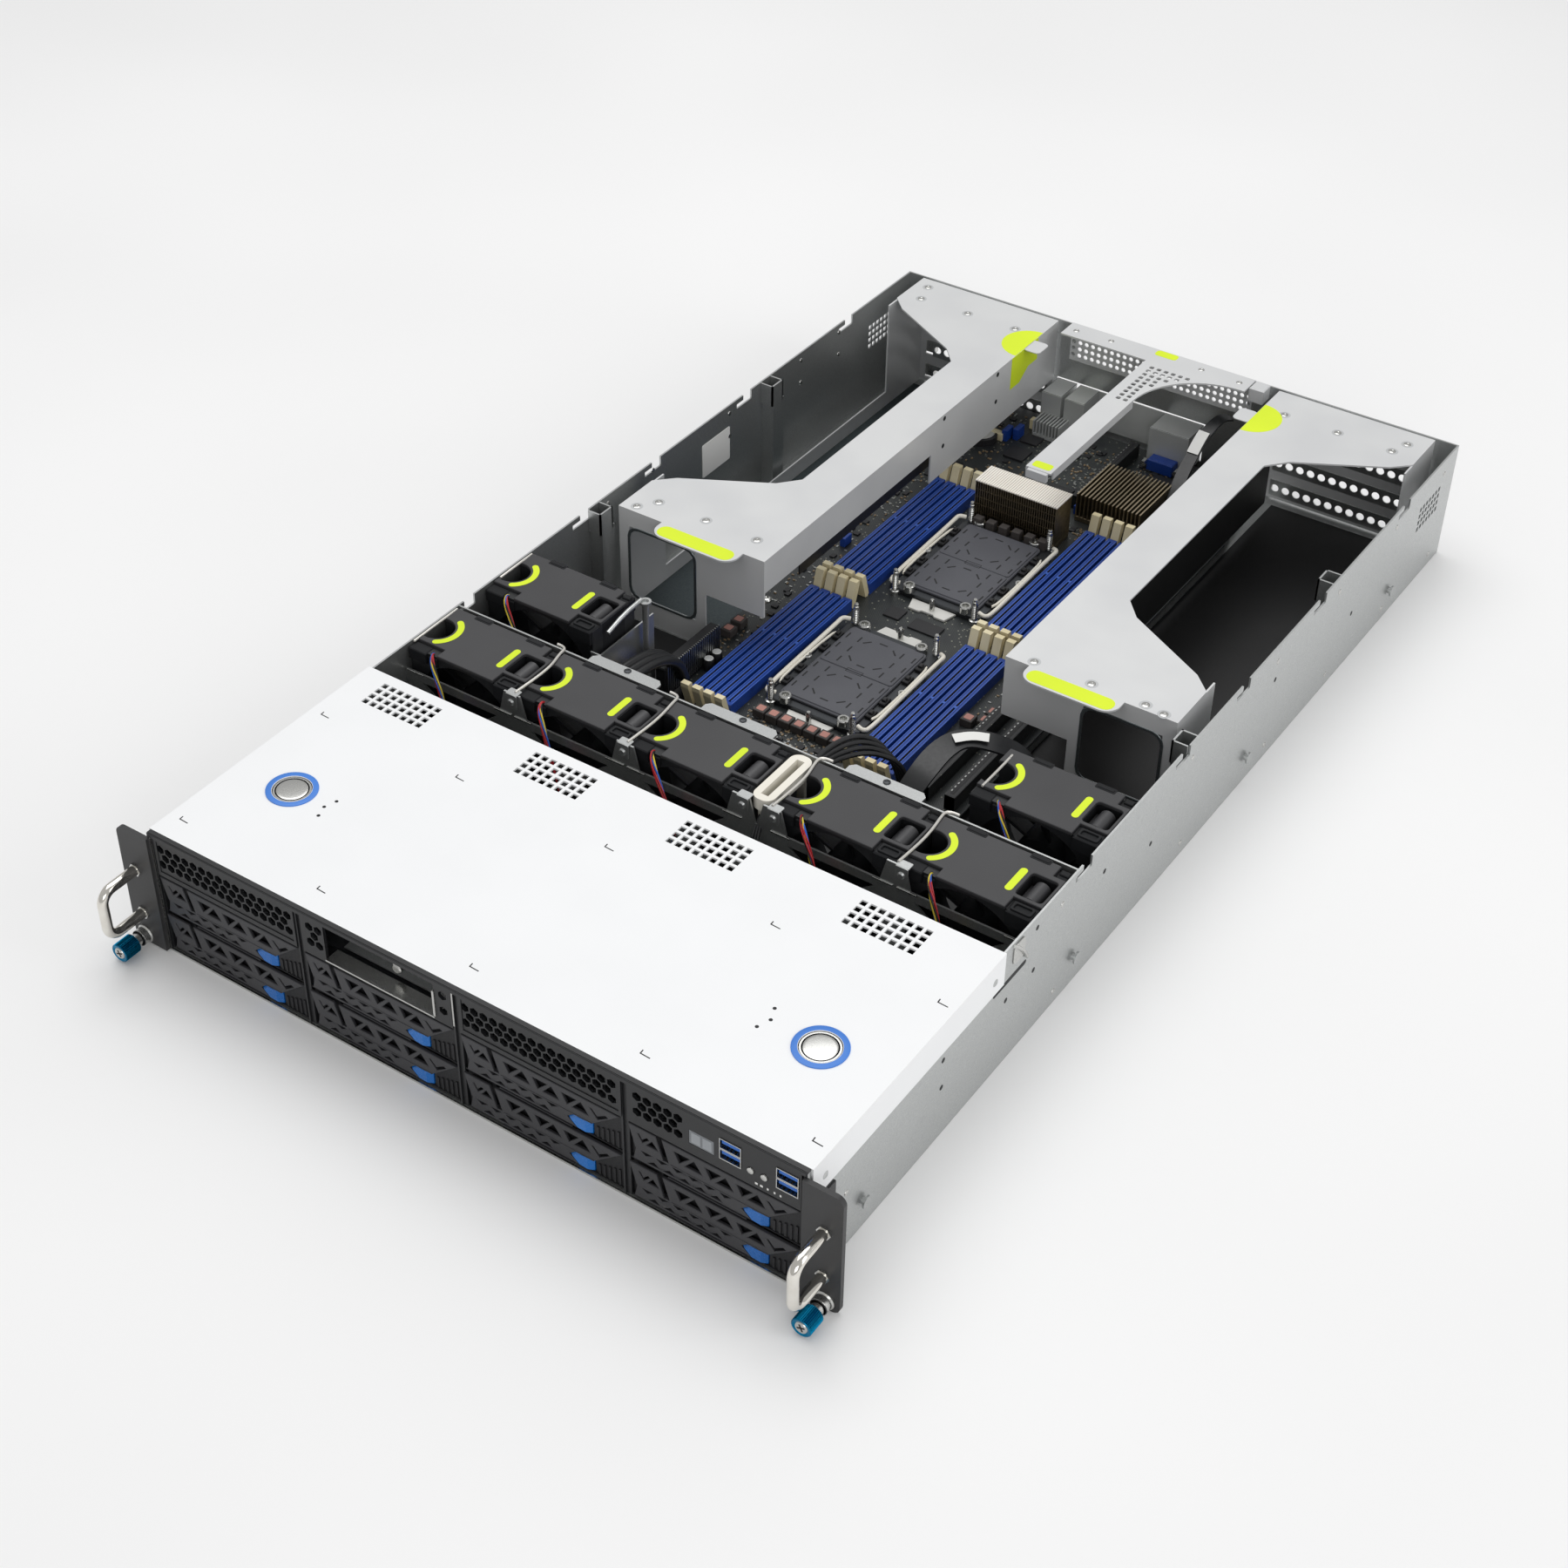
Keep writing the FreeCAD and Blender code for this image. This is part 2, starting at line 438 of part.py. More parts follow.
class Size:
    """A length that keeps its value and the sheet expression it comes from."""

    def __init__(self, text, value):
        self.text = text
        self.value = value

    def __add__(self, other):
        return joined("+", self, other)

    def __radd__(self, other):
        return joined("+", other, self)

    def __sub__(self, other):
        return joined("-", self, other)

    def __rsub__(self, other):
        return joined("-", other, self)

    def __mul__(self, other):
        return joined("*", self, other)

    def __rmul__(self, other):
        return joined("*", other, self)

    def __truediv__(self, other):
        return joined("/", self, other)

    def __neg__(self):
        return joined("-", 0, self)


def as_size(number):
    return number if isinstance(number, Size) else Size(f"({number})", number)


def joined(sign, first, second):
    first = as_size(first)
    second = as_size(second)
    value = OPERATIONS[sign](first.value, second.value)
    return Size(f"({first.text} {sign} {second.text})", value)


mm = SimpleNamespace()
for alias, _, _ in DIMENSIONS:
    setattr(mm, alias, Size(f"sizes.{alias}", float(sheet.get(alias))))

# Faces that many pieces share.
FRONT = -(mm.chassis_depth - mm.handle_reach) / 2      # front face, from the origin
OUTSIDE = mm.chassis_width / 2 - mm.steel              # outer face of the side walls
INSIDE = OUTSIDE - mm.steel                            # inner face of the side walls
WALL_TOP = mm.chassis_height - mm.steel                # the walls' edge, where the lid rests
FLOOR = mm.steel                                       # upper face of the floor
BAY_PITCH = INSIDE * 2 / mm.bay_columns                # between columns of drives
BAY_RISE = mm.bay_height + mm.rack_sheet               # between rows of drives
BAY_LOW = FLOOR + mm.rack_sheet                        # floor of the lower bays
BAY_TOP = BAY_LOW + BAY_RISE * 2                       # upper face of the drive cage
BOARD = mm.board_rise + mm.board_thick                 # component side of the main board
ROTOR_BACK = mm.fan_depth - mm.fan_set - mm.arm_depth - mm.rotor_gap    # rear of a rotor in its module
CLEAR = 5                                              # how far a cut runs past its piece
SIDES = (-1, 1)


# Document helpers ---------------------------------------------------------------------------

PLANES = {"top": ("XY_Plane", 1), "front": ("XZ_Plane", -1), "side": ("YZ_Plane", 1)}


def bind(item, path, length):
    """Ties a property to its sizes, or sets it when it is a plain number."""
    item.setExpression(path, as_size(length).text)


def new_body(label, x=0, y=0, z=0):
    """A body whose own frame has its front face at y = 0, placed in the server."""
    body = doc.addObject("PartDesign::Body", label)
    body.Label = label
    place(body, x, y, z)
    return body


def place(item, x, y, z):
    bind(item, "Placement.Base.x", x)
    bind(item, "Placement.Base.y", FRONT + y)
    bind(item, "Placement.Base.z", z)


def sketch_at(body, plane, level):
    """An empty sketch on one of the body's own planes, moved along that plane's axis."""
    role, sign = PLANES[plane]
    sketch = body.newObject("Sketcher::SketchObject", "Sketch")
    base = next(item for item in body.Origin.OriginFeatures if item.Role == role)
    sketch.AttachmentSupport = [(base, "")]
    sketch.MapMode = "FlatFace"
    bind(sketch, "AttachmentOffset.Base.z", sign * as_size(level))
    return sketch


def fix(sketch, kind, *where, length):
    """A driving constraint whose datum follows the sheet."""
    length = as_size(length)
    index = sketch.addConstraint(Sketcher.Constraint(kind, *where, length.value))
    if "sizes." in length.text:
        sketch.setExpression(f"Constraints[{index}]", length.text)


def draw_outline(sketch, corners):
    first = sketch.GeometryCount
    points = [Vector(as_size(x).value, as_size(y).value, 0) for x, y in corners]
    count = len(points)
    for i in range(count):
        sketch.addGeometry(Part.LineSegment(points[i], points[(i + 1) % count]), False)
    for i, (x, y) in enumerate(corners):
        sketch.addConstraint(Sketcher.Constraint("Coincident", first + i, 2, first + (i + 1) % count, 1))
        fix(sketch, "DistanceX", first + i, 1, length=x)
        fix(sketch, "DistanceY", first + i, 1, length=y)


def draw_circle(sketch, x, y, radius):
    centre = Vector(as_size(x).value, as_size(y).value, 0)
    index = sketch.addGeometry(Part.Circle(centre, Vector(0, 0, 1), as_size(radius).value), False)
    fix(sketch, "DistanceX", index, 3, length=x)
    fix(sketch, "DistanceY", index, 3, length=y)
    fix(sketch, "Radius", index, length=radius)


def outline(*corners):
    return lambda sketch: draw_outline(sketch, corners)


def rectangle(left, low, right, high):
    return outline((left, low), (right, low), (right, high), (left, high))


def circle(x, y, radius):
    return lambda sketch: draw_circle(sketch, x, y, radius)


def hexagon(x, y, across):
    """A hexagon with a corner up; across is measured over its flats."""
    half = across / 2
    reach = across / math.sqrt(3)
    return outline((x, y - reach), (x + half, y - reach / 2), (x + half, y + reach / 2),
                   (x, y + reach), (x - half, y + reach / 2), (x - half, y - reach / 2))


def slab(body, plane, low, high, *shapes):
    """A pad of the shapes from one level to a higher one along the plane's axis."""
    sketch = sketch_at(body, plane, low)
    for shape in shapes:
        shape(sketch)
    pad = body.newObject("PartDesign::Pad", "Pad")
    pad.Profile = sketch
    bind(pad, "Length", as_size(high) - low)
    pad.Reversed = PLANES[plane][1] < 0
    return pad


def hollow(body, plane, low, high, *shapes):
    """A pocket of the shapes from one level to a higher one along the plane's axis."""
    sketch = sketch_at(body, plane, low)
    for shape in shapes:
        shape(sketch)
    pocket = body.newObject("PartDesign::Pocket", "Pocket")
    pocket.Profile = sketch
    bind(pocket, "Length", as_size(high) - low)
    pocket.Reversed = PLANES[plane][1] > 0
    pocket.Refine = False
    return pocket


def turned(body, axis, *corners):
    """A solid of revolution about the sketch's vertical axis, on the XY or YZ plane."""
    sketch = sketch_at(body, axis, 0)
    draw_outline(sketch, corners)
    revolution = body.newObject("PartDesign::Revolution", "Revolution")
    revolution.Profile = sketch
    revolution.ReferenceAxis = (sketch, ["V_Axis"])
    revolution.Angle = 360
    return revolution


def repeat(body, feature, across, across_count, along=0, along_count=1):
    """A rectangular pattern of a feature along its sketch's two axes."""
    pattern = body.newObject("PartDesign::LinearPattern", "LinearPattern")
    sketch = feature.Profile[0]
    pattern.Originals = [feature]
    pattern.Refine = feature.Refine
    pattern.Direction = (sketch, ["H_Axis"])
    bind(pattern, "Length", across * (across_count - 1))
    bind(pattern, "Occurrences", across_count)
    if as_size(along_count).value > 1:
        pattern.Direction2 = (sketch, ["V_Axis"])
        bind(pattern, "Length2", along * (along_count - 1))
        bind(pattern, "Occurrences2", along_count)
    body.Tip = pattern
    return pattern


def stack(body, feature, along, along_count):
    """A pattern of a feature along its sketch's vertical axis."""
    pattern = body.newObject("PartDesign::LinearPattern", "LinearPattern")
    pattern.Originals = [feature]
    pattern.Refine = feature.Refine
    pattern.Direction = (feature.Profile[0], ["V_Axis"])
    bind(pattern, "Length", along * (along_count - 1))
    bind(pattern, "Occurrences", along_count)
    body.Tip = pattern
    return pattern


def round_edges(body, radius, wanted):
    """A fillet on the edges of the body whose middle passes the test."""
    doc.recompute()
    base = body.Tip
    names = []
    for index, edge in enumerate(base.Shape.Edges, start=1):
        box = edge.BoundBox
        if wanted(box.Center, Vector(box.XLength, box.YLength, box.ZLength)):
            names.append(f"Edge{index}")
    if not names:
        raise ValueError(f"{body.Label}: no edge to round")
    fillet = body.newObject("PartDesign::Fillet", "Fillet")
    fillet.Base = (base, names)
    bind(fillet, "Radius", radius)
    return fillet


def near(first, second):
    return abs(first - as_size(second).value) < 0.01


def copy_of(master, label, x, y, z):
    """A body of its own that repeats the shape of another one."""
    body = doc.addObject("PartDesign::Body", label)
    body.Label = label
    base = doc.addObject("PartDesign::FeatureBase", "Clone")
    body.Group = [base]
    base.BaseFeature = master
    body.Tip = base
    place(body, x, y, z)
    return body


def gathered(label, bodies):
    """Identical loose pieces that share one node."""
    group = doc.addObject("Part::Compound", label)
    group.Label = label
    group.Links = bodies
    return group


# Chassis ------------------------------------------------------------------------------------


def chassis_tray():
    body = new_body("chassis_tray")
    depth = mm.chassis_depth
    slab(body, "front", 0, depth,
         outline((-OUTSIDE, 0), (OUTSIDE, 0), (OUTSIDE, WALL_TOP), (INSIDE, WALL_TOP), (INSIDE, FLOOR),
                 (-INSIDE, FLOOR), (-INSIDE, WALL_TOP), (-OUTSIDE, WALL_TOP)))
    slab(body, "front", depth - mm.steel, depth, rectangle(-INSIDE, FLOOR, INSIDE, WALL_TOP))
    rear_openings(body)
    for start in (mm.notch_one, mm.notch_two, mm.notch_three, mm.notch_four, mm.notch_five):
        lid_notch(body, start)
    for side in SIDES:
        rail_studs(body, side)
        for front in (mm.post_front, mm.post_rear):
            guide_channel(body, side, front)
    side_vents(body)
    return body


def rear_openings(body):
    """Windows in the rear wall for the card slots, the board's ports and the small cards."""
    rear = mm.chassis_depth
    for side in SIDES:
        window = rectangle(side * (mm.cage_inner + 3), FLOOR + 2, side * (mm.cage_outer - 3), WALL_TOP - 3)
        hollow(body, "front", rear - CLEAR, rear + CLEAR, window)
    hollow(body, "front", rear - CLEAR, rear + CLEAR,
           rectangle(mm.ports_left - 1, BOARD, mm.ports_right + 1, BOARD + mm.port_stack + 1),
           rectangle(mm.riser_left + 4, mm.riser_low + 2, mm.riser_right - 4, WALL_TOP - 4))


def lid_notch(body, start):
    """An L-shaped notch through both walls: the lid's hook drops in, then slides forward."""
    low = WALL_TOP - mm.notch_depth
    lip = WALL_TOP - mm.notch_depth / 2
    back = start + mm.notch_length
    hollow(body, "side", -OUTSIDE - CLEAR, OUTSIDE + CLEAR,
           outline((start, low), (back, low), (back, WALL_TOP + CLEAR),
                   (start + mm.notch_hook, WALL_TOP + CLEAR), (start + mm.notch_hook, lip), (start, lip)))


def side_vents(body):
    start = mm.grid_start
    low = mm.grid_low
    hole = hollow(body, "side", -OUTSIDE - CLEAR, OUTSIDE + CLEAR,
                  rectangle(start, low, start + mm.grid_hole, low + mm.grid_hole))
    repeat(body, hole, mm.grid_pitch, mm.grid_columns, mm.grid_pitch, mm.grid_rows)


def rail_studs(body, side):
    """T-headed studs on the outside of a wall, which hang in the rack's rails."""
    neck_end = OUTSIDE + mm.stud_neck
    for low, high, radius in ((OUTSIDE - mm.steel / 2, neck_end, mm.stud_radius),
                              (neck_end, neck_end + mm.stud_cap, mm.stud_head)):
        near_level, far_level = (low, high) if side > 0 else (-high, -low)
        stud = slab(body, "side", near_level, far_level, circle(mm.stud_first, mm.stud_height, radius))
        repeat(body, stud, mm.stud_pitch, mm.stud_count)


def guide_channel(body, side, front):
    """A folded channel on the floor, against the wall, that guides a cage down."""
    back = front + mm.post_length
    outer = side * INSIDE
    inner = side * (INSIDE - mm.post_size)
    web = side * (INSIDE - mm.post_size + mm.steel)
    slab(body, "top", FLOOR, mm.post_top,
         outline((outer, front), (inner, front), (inner, back), (outer, back), (outer, back - mm.steel),
                 (web, back - mm.steel), (web, front + mm.steel), (outer, front + mm.steel)))


def front_lid():
    """The fixed lid over the drive bays: folded sheet with skirts, vents and two ringed holes."""
    body = new_body("front_lid")
    outer = mm.chassis_width / 2
    top = mm.chassis_height
    slab(body, "front", mm.lid_front, mm.lid_back,
         outline((-outer, mm.skirt_low), (-OUTSIDE, mm.skirt_low), (-OUTSIDE, WALL_TOP), (OUTSIDE, WALL_TOP),
                 (OUTSIDE, mm.skirt_low), (outer, mm.skirt_low), (outer, top), (-outer, top)))
    for side in SIDES:
        slab(body, "top", WALL_TOP, top + mm.ring_rise, circle(side * mm.ring_x, mm.ring_y, mm.ring_radius))
        hollow(body, "top", WALL_TOP - CLEAR, top + CLEAR, circle(side * mm.ring_x, mm.ring_y, mm.ring_bore))
    holes = []
    for column, offset in enumerate((mm.vent_one, mm.vent_two, mm.vent_three, mm.vent_four)):
        left = bay_middle(column) + offset
        holes.append(rectangle(left, mm.vent_y, left + mm.vent_hole, mm.vent_y + mm.vent_hole))
    corner_holes = hollow(body, "top", WALL_TOP - CLEAR, top + CLEAR, *holes)
    repeat(body, corner_holes, mm.vent_pitch, mm.vent_columns, mm.vent_pitch, mm.vent_rows)
    return body


def lid_button(label, side):
    """A press button in its ring; two catches under the lid keep it in."""
    body = new_body(label, side * mm.ring_x, mm.ring_y, mm.chassis_height + mm.ring_rise)
    radius = mm.ring_bore - mm.button_gap
    reach = mm.ring_bore + mm.button_catch
    half = mm.catch_width / 2
    slab(body, "top", -mm.button_depth, 0, circle(0, 0, radius))
    slab(body, "top", -mm.button_depth, -mm.steel - mm.ring_rise - mm.button_gap,
         rectangle(-reach, -half, reach, half))
    return body


# Rack ears, handles and thumbscrews ---------------------------------------------------------


def rack_ears():
    """Two angle brackets on the front ends of the side walls, each with a screw ferrule."""
    body = new_body("rack_ears")
    for side in SIDES:
        outer = side * (mm.ear_span / 2)
        screw_x = side * (mm.screw_span / 2)
        slab(body, "front", -mm.ear_thick, 0, rectangle(side * INSIDE, mm.ear_low, outer, mm.ear_high))
        slab(body, "front", 0, mm.ear_leg,
             rectangle(side * OUTSIDE, mm.handle_low - CLEAR,
                       side * (OUTSIDE + mm.steel), mm.handle_high + CLEAR))
        slab(body, "front", -mm.ear_thick - mm.ferrule_length, -mm.ear_thick,
             circle(screw_x, mm.screw_height, mm.ferrule_radius))
        hollow(body, "front", -mm.ear_thick - mm.ferrule_length - CLEAR, CLEAR,
               circle(screw_x, mm.screw_height, mm.screw_shaft + mm.screw_gap))
    reach = (mm.ear_span / 2).value
    round_edges(body, mm.ear_corner,
                lambda middle, size: near(abs(middle.x), reach) and near(size.y, mm.ear_thick))
    return body


def ear_handles():
    """Two bent bars: out from the ear, up and back, with a quarter turn at each bend."""
    body = new_body("ear_handles")
    bend = mm.handle_bend
    front = -mm.handle_reach + mm.handle_radius
    for side in SIDES:
        x = side * mm.handle_x
        for height, turn in ((mm.handle_low, bend), (mm.handle_high, -bend)):
            slab(body, "front", front + bend, -mm.ear_thick, circle(x, height, mm.handle_radius))
            quarter_bend(body, x, front + bend, height, height + turn)
        slab(body, "top", mm.handle_low + bend, mm.handle_high - bend, circle(x, front, mm.handle_radius))
    return body


def quarter_bend(body, x, y, height, middle):
    """A quarter of a ring between a leg at this height and the upright bar, about the bend's middle."""
    sketch = sketch_at(body, "front", y)
    draw_circle(sketch, x, height, mm.handle_radius)
    ends = [Vector(0, middle.value, 0), Vector(x.value, middle.value, 0)]
    turn_line = sketch.addGeometry(Part.LineSegment(*ends), True)
    fix(sketch, "DistanceX", turn_line, 1, length=0)
    fix(sketch, "DistanceY", turn_line, 1, length=middle)
    fix(sketch, "DistanceX", turn_line, 2, length=x)
    fix(sketch, "DistanceY", turn_line, 2, length=middle)
    ring = body.newObject("PartDesign::Revolution", "Bend")
    ring.Profile = sketch
    ring.ReferenceAxis = (sketch, ["Axis0"])
    ring.Angle = 90
    ring.Reversed = (middle.value > height.value) == (x.value > 0)


def thumbscrew(label, side):
    """Knob, neck, shoulder on the ferrule, and the thread through the ear."""
    front = -mm.ear_thick - mm.ferrule_length - mm.screw_gap / 2
    body = new_body(label, side * (mm.screw_span / 2), front, mm.screw_height)
    knob_back = -mm.collar_length
    knob_front = knob_back - mm.knob_length
    shank = mm.screw_gap * 1.5 + mm.ferrule_length + mm.ear_thick
    tail = shank + mm.screw_tail
    turned(body, "top", (0, knob_front), (mm.knob_radius - 1, knob_front), (mm.knob_radius, knob_front + 1),
           (mm.knob_radius, knob_back), (mm.collar_radius, knob_back), (mm.collar_radius, 0),
           (mm.screw_shaft, 0), (mm.screw_shaft, shank), (mm.thread_radius, shank), (mm.thread_radius, tail),
           (0, tail))
    return body


# Drive cage ---------------------------------------------------------------------------------


def bay_middle(column):
    """Middle of a column of drives, counted from the left."""
    return -INSIDE + BAY_PITCH * (column + 0.5)


def bay_frame():
    """The cage of folded sheet that holds the trays."""
    body = new_body("bay_frame")
    slab(body, "front", mm.bay_front, mm.bay_back, rectangle(-INSIDE, FLOOR, INSIDE, BAY_TOP))
    wall = mm.rack_sheet / 2
    bay = hollow(body, "front", mm.bay_front - CLEAR, mm.bay_back + CLEAR,
                 rectangle(-INSIDE + wall, BAY_LOW, -INSIDE + BAY_PITCH - wall, BAY_LOW + mm.bay_height))
    repeat(body, bay, BAY_PITCH, mm.bay_columns, BAY_RISE, 2)
    return body


def drive_backplane():
    """The board that closes the cage: an air slot and a drive connector for each bay."""
    body = new_body("drive_backplane")
    front = mm.bay_back
    edge = mm.rack_sheet
    slab(body, "front", front, front + mm.backplane_thick,
         rectangle(-INSIDE + edge, BAY_LOW, INSIDE - edge, BAY_TOP))
    middle = bay_middle(0)
    slot = mm.backplane_slot / 2
    slot_low = BAY_LOW + mm.bay_height / 2
    opening = hollow(body, "front", front - CLEAR, front + CLEAR,
                     rectangle(middle - slot, slot_low, middle + slot, slot_low + mm.bay_height / 3))
    repeat(body, opening, BAY_PITCH, mm.bay_columns, BAY_RISE, 2)
    half = mm.connector_width / 2
    plug = slab(body, "front", front - mm.connector_depth, front + mm.backplane_thick / 2,
                rectangle(middle - half, BAY_LOW + 3, middle + half, BAY_LOW + 9))
    repeat(body, plug, BAY_PITCH, mm.bay_columns, BAY_RISE, 2)
    return body


def tray_master():
    """One drive tray with its drive: x from its middle, z from its bottom edge."""
    body = doc.addObject("PartDesign::Body", "TrayMaster")
    half = mm.tray_width / 2
    high = mm.tray_height
    face = mm.tray_face
    back = mm.bay_front
    slab(body, "front", face, back, rectangle(-half, 0, half, high))
    slab(body, "front", 0, face, fixed_panel())
    slab(body, "front", mm.band_face, face,
         rectangle(-half + 6, 1, mm.release_left + mm.release_nose - 1, mm.band_top))
    start = mm.release_right + 1
    slab(body, "front", mm.lever_thick + mm.release_gap, face,
         outline((start, 0), (half, 0), (half, mm.lever_high - 3), (start, mm.band_top)))
    hinge_seat(body)
    gap = mm.release_gap
    hollow(body, "front", mm.band_face - CLEAR, mm.release_back + mm.release_travel + gap,
           rectangle(mm.release_left - gap, mm.release_low - gap, mm.release_right + gap, mm.band_top))
    inner = mm.drive_width / 2
    for side in SIDES:
        slab(body, "front", back, mm.tray_depth,
             rectangle(side * inner, 1, side * (inner + mm.rail_thick), 1 + mm.rail_height))
    drive_front = back + 2
    slab(body, "front", drive_front, drive_front + mm.drive_length,
         rectangle(-inner, high - mm.drive_height, inner, high))
    return body


def fixed_panel():
    """The leaning plate left of the lever, which stays on the tray."""
    half = mm.tray_width / 2
    right = mm.lever_left - mm.slit_width
    return outline((-half + 4, mm.lever_low), (right + mm.panel_lean, mm.lever_low),
                   (right, mm.lever_high), (-half, mm.lever_high))


def hinge_seat(body):
    """Pocket and pin for the lever's barrel; the pocket's left part is open at the top for the plate."""
    room = mm.barrel_radius * 2.3
    top = mm.lever_high - 1
    face = mm.tray_face - CLEAR
    deep = mm.hinge_y + room + 0.5
    left = mm.hinge_x - room - 2
    hollow(body, "front", face, deep, rectangle(left, mm.lever_low, mm.hinge_x + room, top))
    hollow(body, "front", face, deep, rectangle(left, top - CLEAR, mm.hinge_x - 1, mm.tray_height + CLEAR))
    slab(body, "top", mm.band_top - 1, mm.tray_height - 0.2, circle(mm.hinge_x, mm.hinge_y, mm.pin_radius))


def lever_master():
    """The tray lever: a truss plate with triangular windows on a vertical hinge barrel."""
    body = doc.addObject("PartDesign::Body", "LeverMaster")
    low = mm.lever_low
    high = mm.lever_high
    slab(body, "front", 0, mm.lever_thick,
         outline((mm.lever_left + mm.panel_lean, low), (mm.lever_right - mm.lever_slope, low),
                 (mm.lever_right, high), (mm.lever_left, high)))
    slab(body, "top", low + 0.6, high - 1.3, circle(mm.hinge_x, mm.hinge_y, mm.barrel_radius))
    hollow(body, "top", low - CLEAR, high + CLEAR, circle(mm.hinge_x, mm.hinge_y, mm.pin_radius + mm.pin_gap))
    lever_windows(body)
    return body


def lever_windows(body):
    """Three pairs of windows with a leaning strut between the two of each pair."""
    floor = mm.window_low
    top = floor + mm.window_height
    start = mm.lever_left + mm.panel_lean + 4
    step = mm.window_pitch
    pair = hollow(body, "front", -CLEAR, mm.lever_thick + 0.5,
                  outline((start, top), (start + step * 0.5, top), (start + step * 0.16, floor)),
                  outline((start + step * 0.32, floor), (start + step * 0.88, floor),
                          (start + step * 0.66, top)))
    repeat(body, pair, step, 3)


def release_master():
    """The release button: an arrow-ended block whose front falls away to both sides."""
    body = doc.addObject("PartDesign::Body", "ReleaseMaster")
    left = mm.release_left
    right = mm.release_right
    low = mm.release_low
    high = mm.band_top - mm.release_gap
    ridge = left + mm.release_nose
    proud = mm.release_proud
    slab(body, "front", proud, mm.release_back,
         outline((left, (low + high) / 2), (ridge, low), (right, low), (right, high), (ridge, high)))
    hollow(body, "top", low - CLEAR, high + CLEAR,
           outline((left - 1, proud - 1), (ridge, proud - 1), (ridge, proud), (left - 1, proud + 4)),
           outline((ridge + 5, proud - 1), (right + 1, proud - 1), (right + 1, proud + 3),
                   (ridge + 5, proud)))
    return body


# Front panels -------------------------------------------------------------------------------


def front_panels():
    """The strip above the bays: two hexagon grilles, a slot frame, the control panel, a trim."""
    vents = [plain_panel(0), plain_panel(2)]
    for body, column in zip(vents, (0, 2)):
        grille(body, bay_middle(column) - mm.hex_pitch * (mm.hex_columns - 1) / 2, mm.hex_columns)
    trim = new_body("PanelTrim")
    slab(trim, "front", 0, mm.lid_front, rectangle(-OUTSIDE, WALL_TOP, OUTSIDE, mm.chassis_height))
    return gathered("front_panels", vents + [slot_frame(), control_panel(), trim] + front_posts())


def front_posts():
    """The posts between the columns; the two outer ones are half as wide."""
    half = mm.trim_width / 2
    posts = []
    for column in range(5):
        middle = -INSIDE + BAY_PITCH * column
        left = middle - half if column > 0 else middle
        right = middle + half if column < 4 else middle
        post = new_body(numbered("FrontPost", column))
        slab(post, "front", mm.trim_front, mm.bay_front, rectangle(left, FLOOR, right, WALL_TOP))
        posts.append(post)
    return posts


def plain_panel(column):
    body = new_body(numbered("FrontPanel", column))
    half = mm.trim_width / 2
    left = -INSIDE + BAY_PITCH * column + half
    right = -INSIDE + BAY_PITCH * (column + 1) - half
    slab(body, "front", 0, mm.panel_thick, rectangle(left, BAY_TOP, right, WALL_TOP))
    return body


def slot_frame():
    """The second panel: an open expansion slot between two narrow grilles."""
    body = plain_panel(1)
    half = mm.trim_width / 2
    cut_through(body, rectangle(mm.slot_left, mm.slot_low, mm.slot_right, mm.slot_high))
    grille(body, -INSIDE + BAY_PITCH + half + mm.hex_pitch, 2)
    grille(body, -half - mm.hex_pitch * 0.9, 1)
    return body


def control_panel():
    """The last panel: a small grille, the display window, two port pairs and two keys."""
    body = plain_panel(3)
    ports = [rectangle(left, mm.port_low, left + mm.port_width, mm.port_low + mm.port_height)
             for left in (mm.port_one, mm.port_two)]
    keys = [circle(key, mm.key_height, mm.key_radius + mm.key_gap) for key in (mm.key_one, mm.key_two)]
    cut_through(body, *ports, *keys)
    hollow(body, "front", -CLEAR, mm.panel_thick / 2,
           rectangle(mm.display_left, mm.display_low, mm.display_left + mm.display_width,
                     mm.display_low + mm.display_height))
    grille(body, bay_middle(3) - BAY_PITCH / 2 + mm.trim_width / 2 + mm.hex_pitch, 5)
    return body


def cut_through(body, *shapes):
    return hollow(body, "front", -CLEAR, mm.panel_thick + CLEAR, *shapes)


def grille(body, start, columns):
    """Two rows of hexagons and a third one between them, set over by half a pitch."""
    rise = mm.hex_pitch * (math.sqrt(3) / 2)
    outer = cut_through(body, hexagon(start, mm.hex_low, mm.hex_flat))
    repeat(body, outer, mm.hex_pitch, columns, rise * 2, 2)
    count = as_size(columns) - 1
    if count.value > 0:
        middle = cut_through(body, hexagon(start + mm.hex_pitch / 2, mm.hex_low + rise, mm.hex_flat))
        repeat(body, middle, mm.hex_pitch, count)


def front_key(label, x):
    """A round key that passes through the control panel, with a flange behind it."""
    body = new_body(label, x, 0, mm.key_height)
    stop = mm.panel_thick + mm.key_gap
    half = mm.key_flange
    slab(body, "front", -mm.key_proud, stop + mm.steel, circle(0, 0, mm.key_radius))
    slab(body, "front", stop, stop + mm.steel, rectangle(-half, -half, half, half))
    return body


# Fans ---------------------------------------------------------------------------------------


def fan_places():
    """Middle and front of every fan module: three, a cable gap and two in front, two behind."""
    first = -INSIDE + mm.fan_pitch / 2
    row = [first, first + mm.fan_pitch, first + mm.fan_pitch * 2, -first - mm.fan_pitch, -first]
    return [(x, mm.fan_front) for x in row] + [(first, mm.fan_rear_front), (-first, mm.fan_rear_front)]


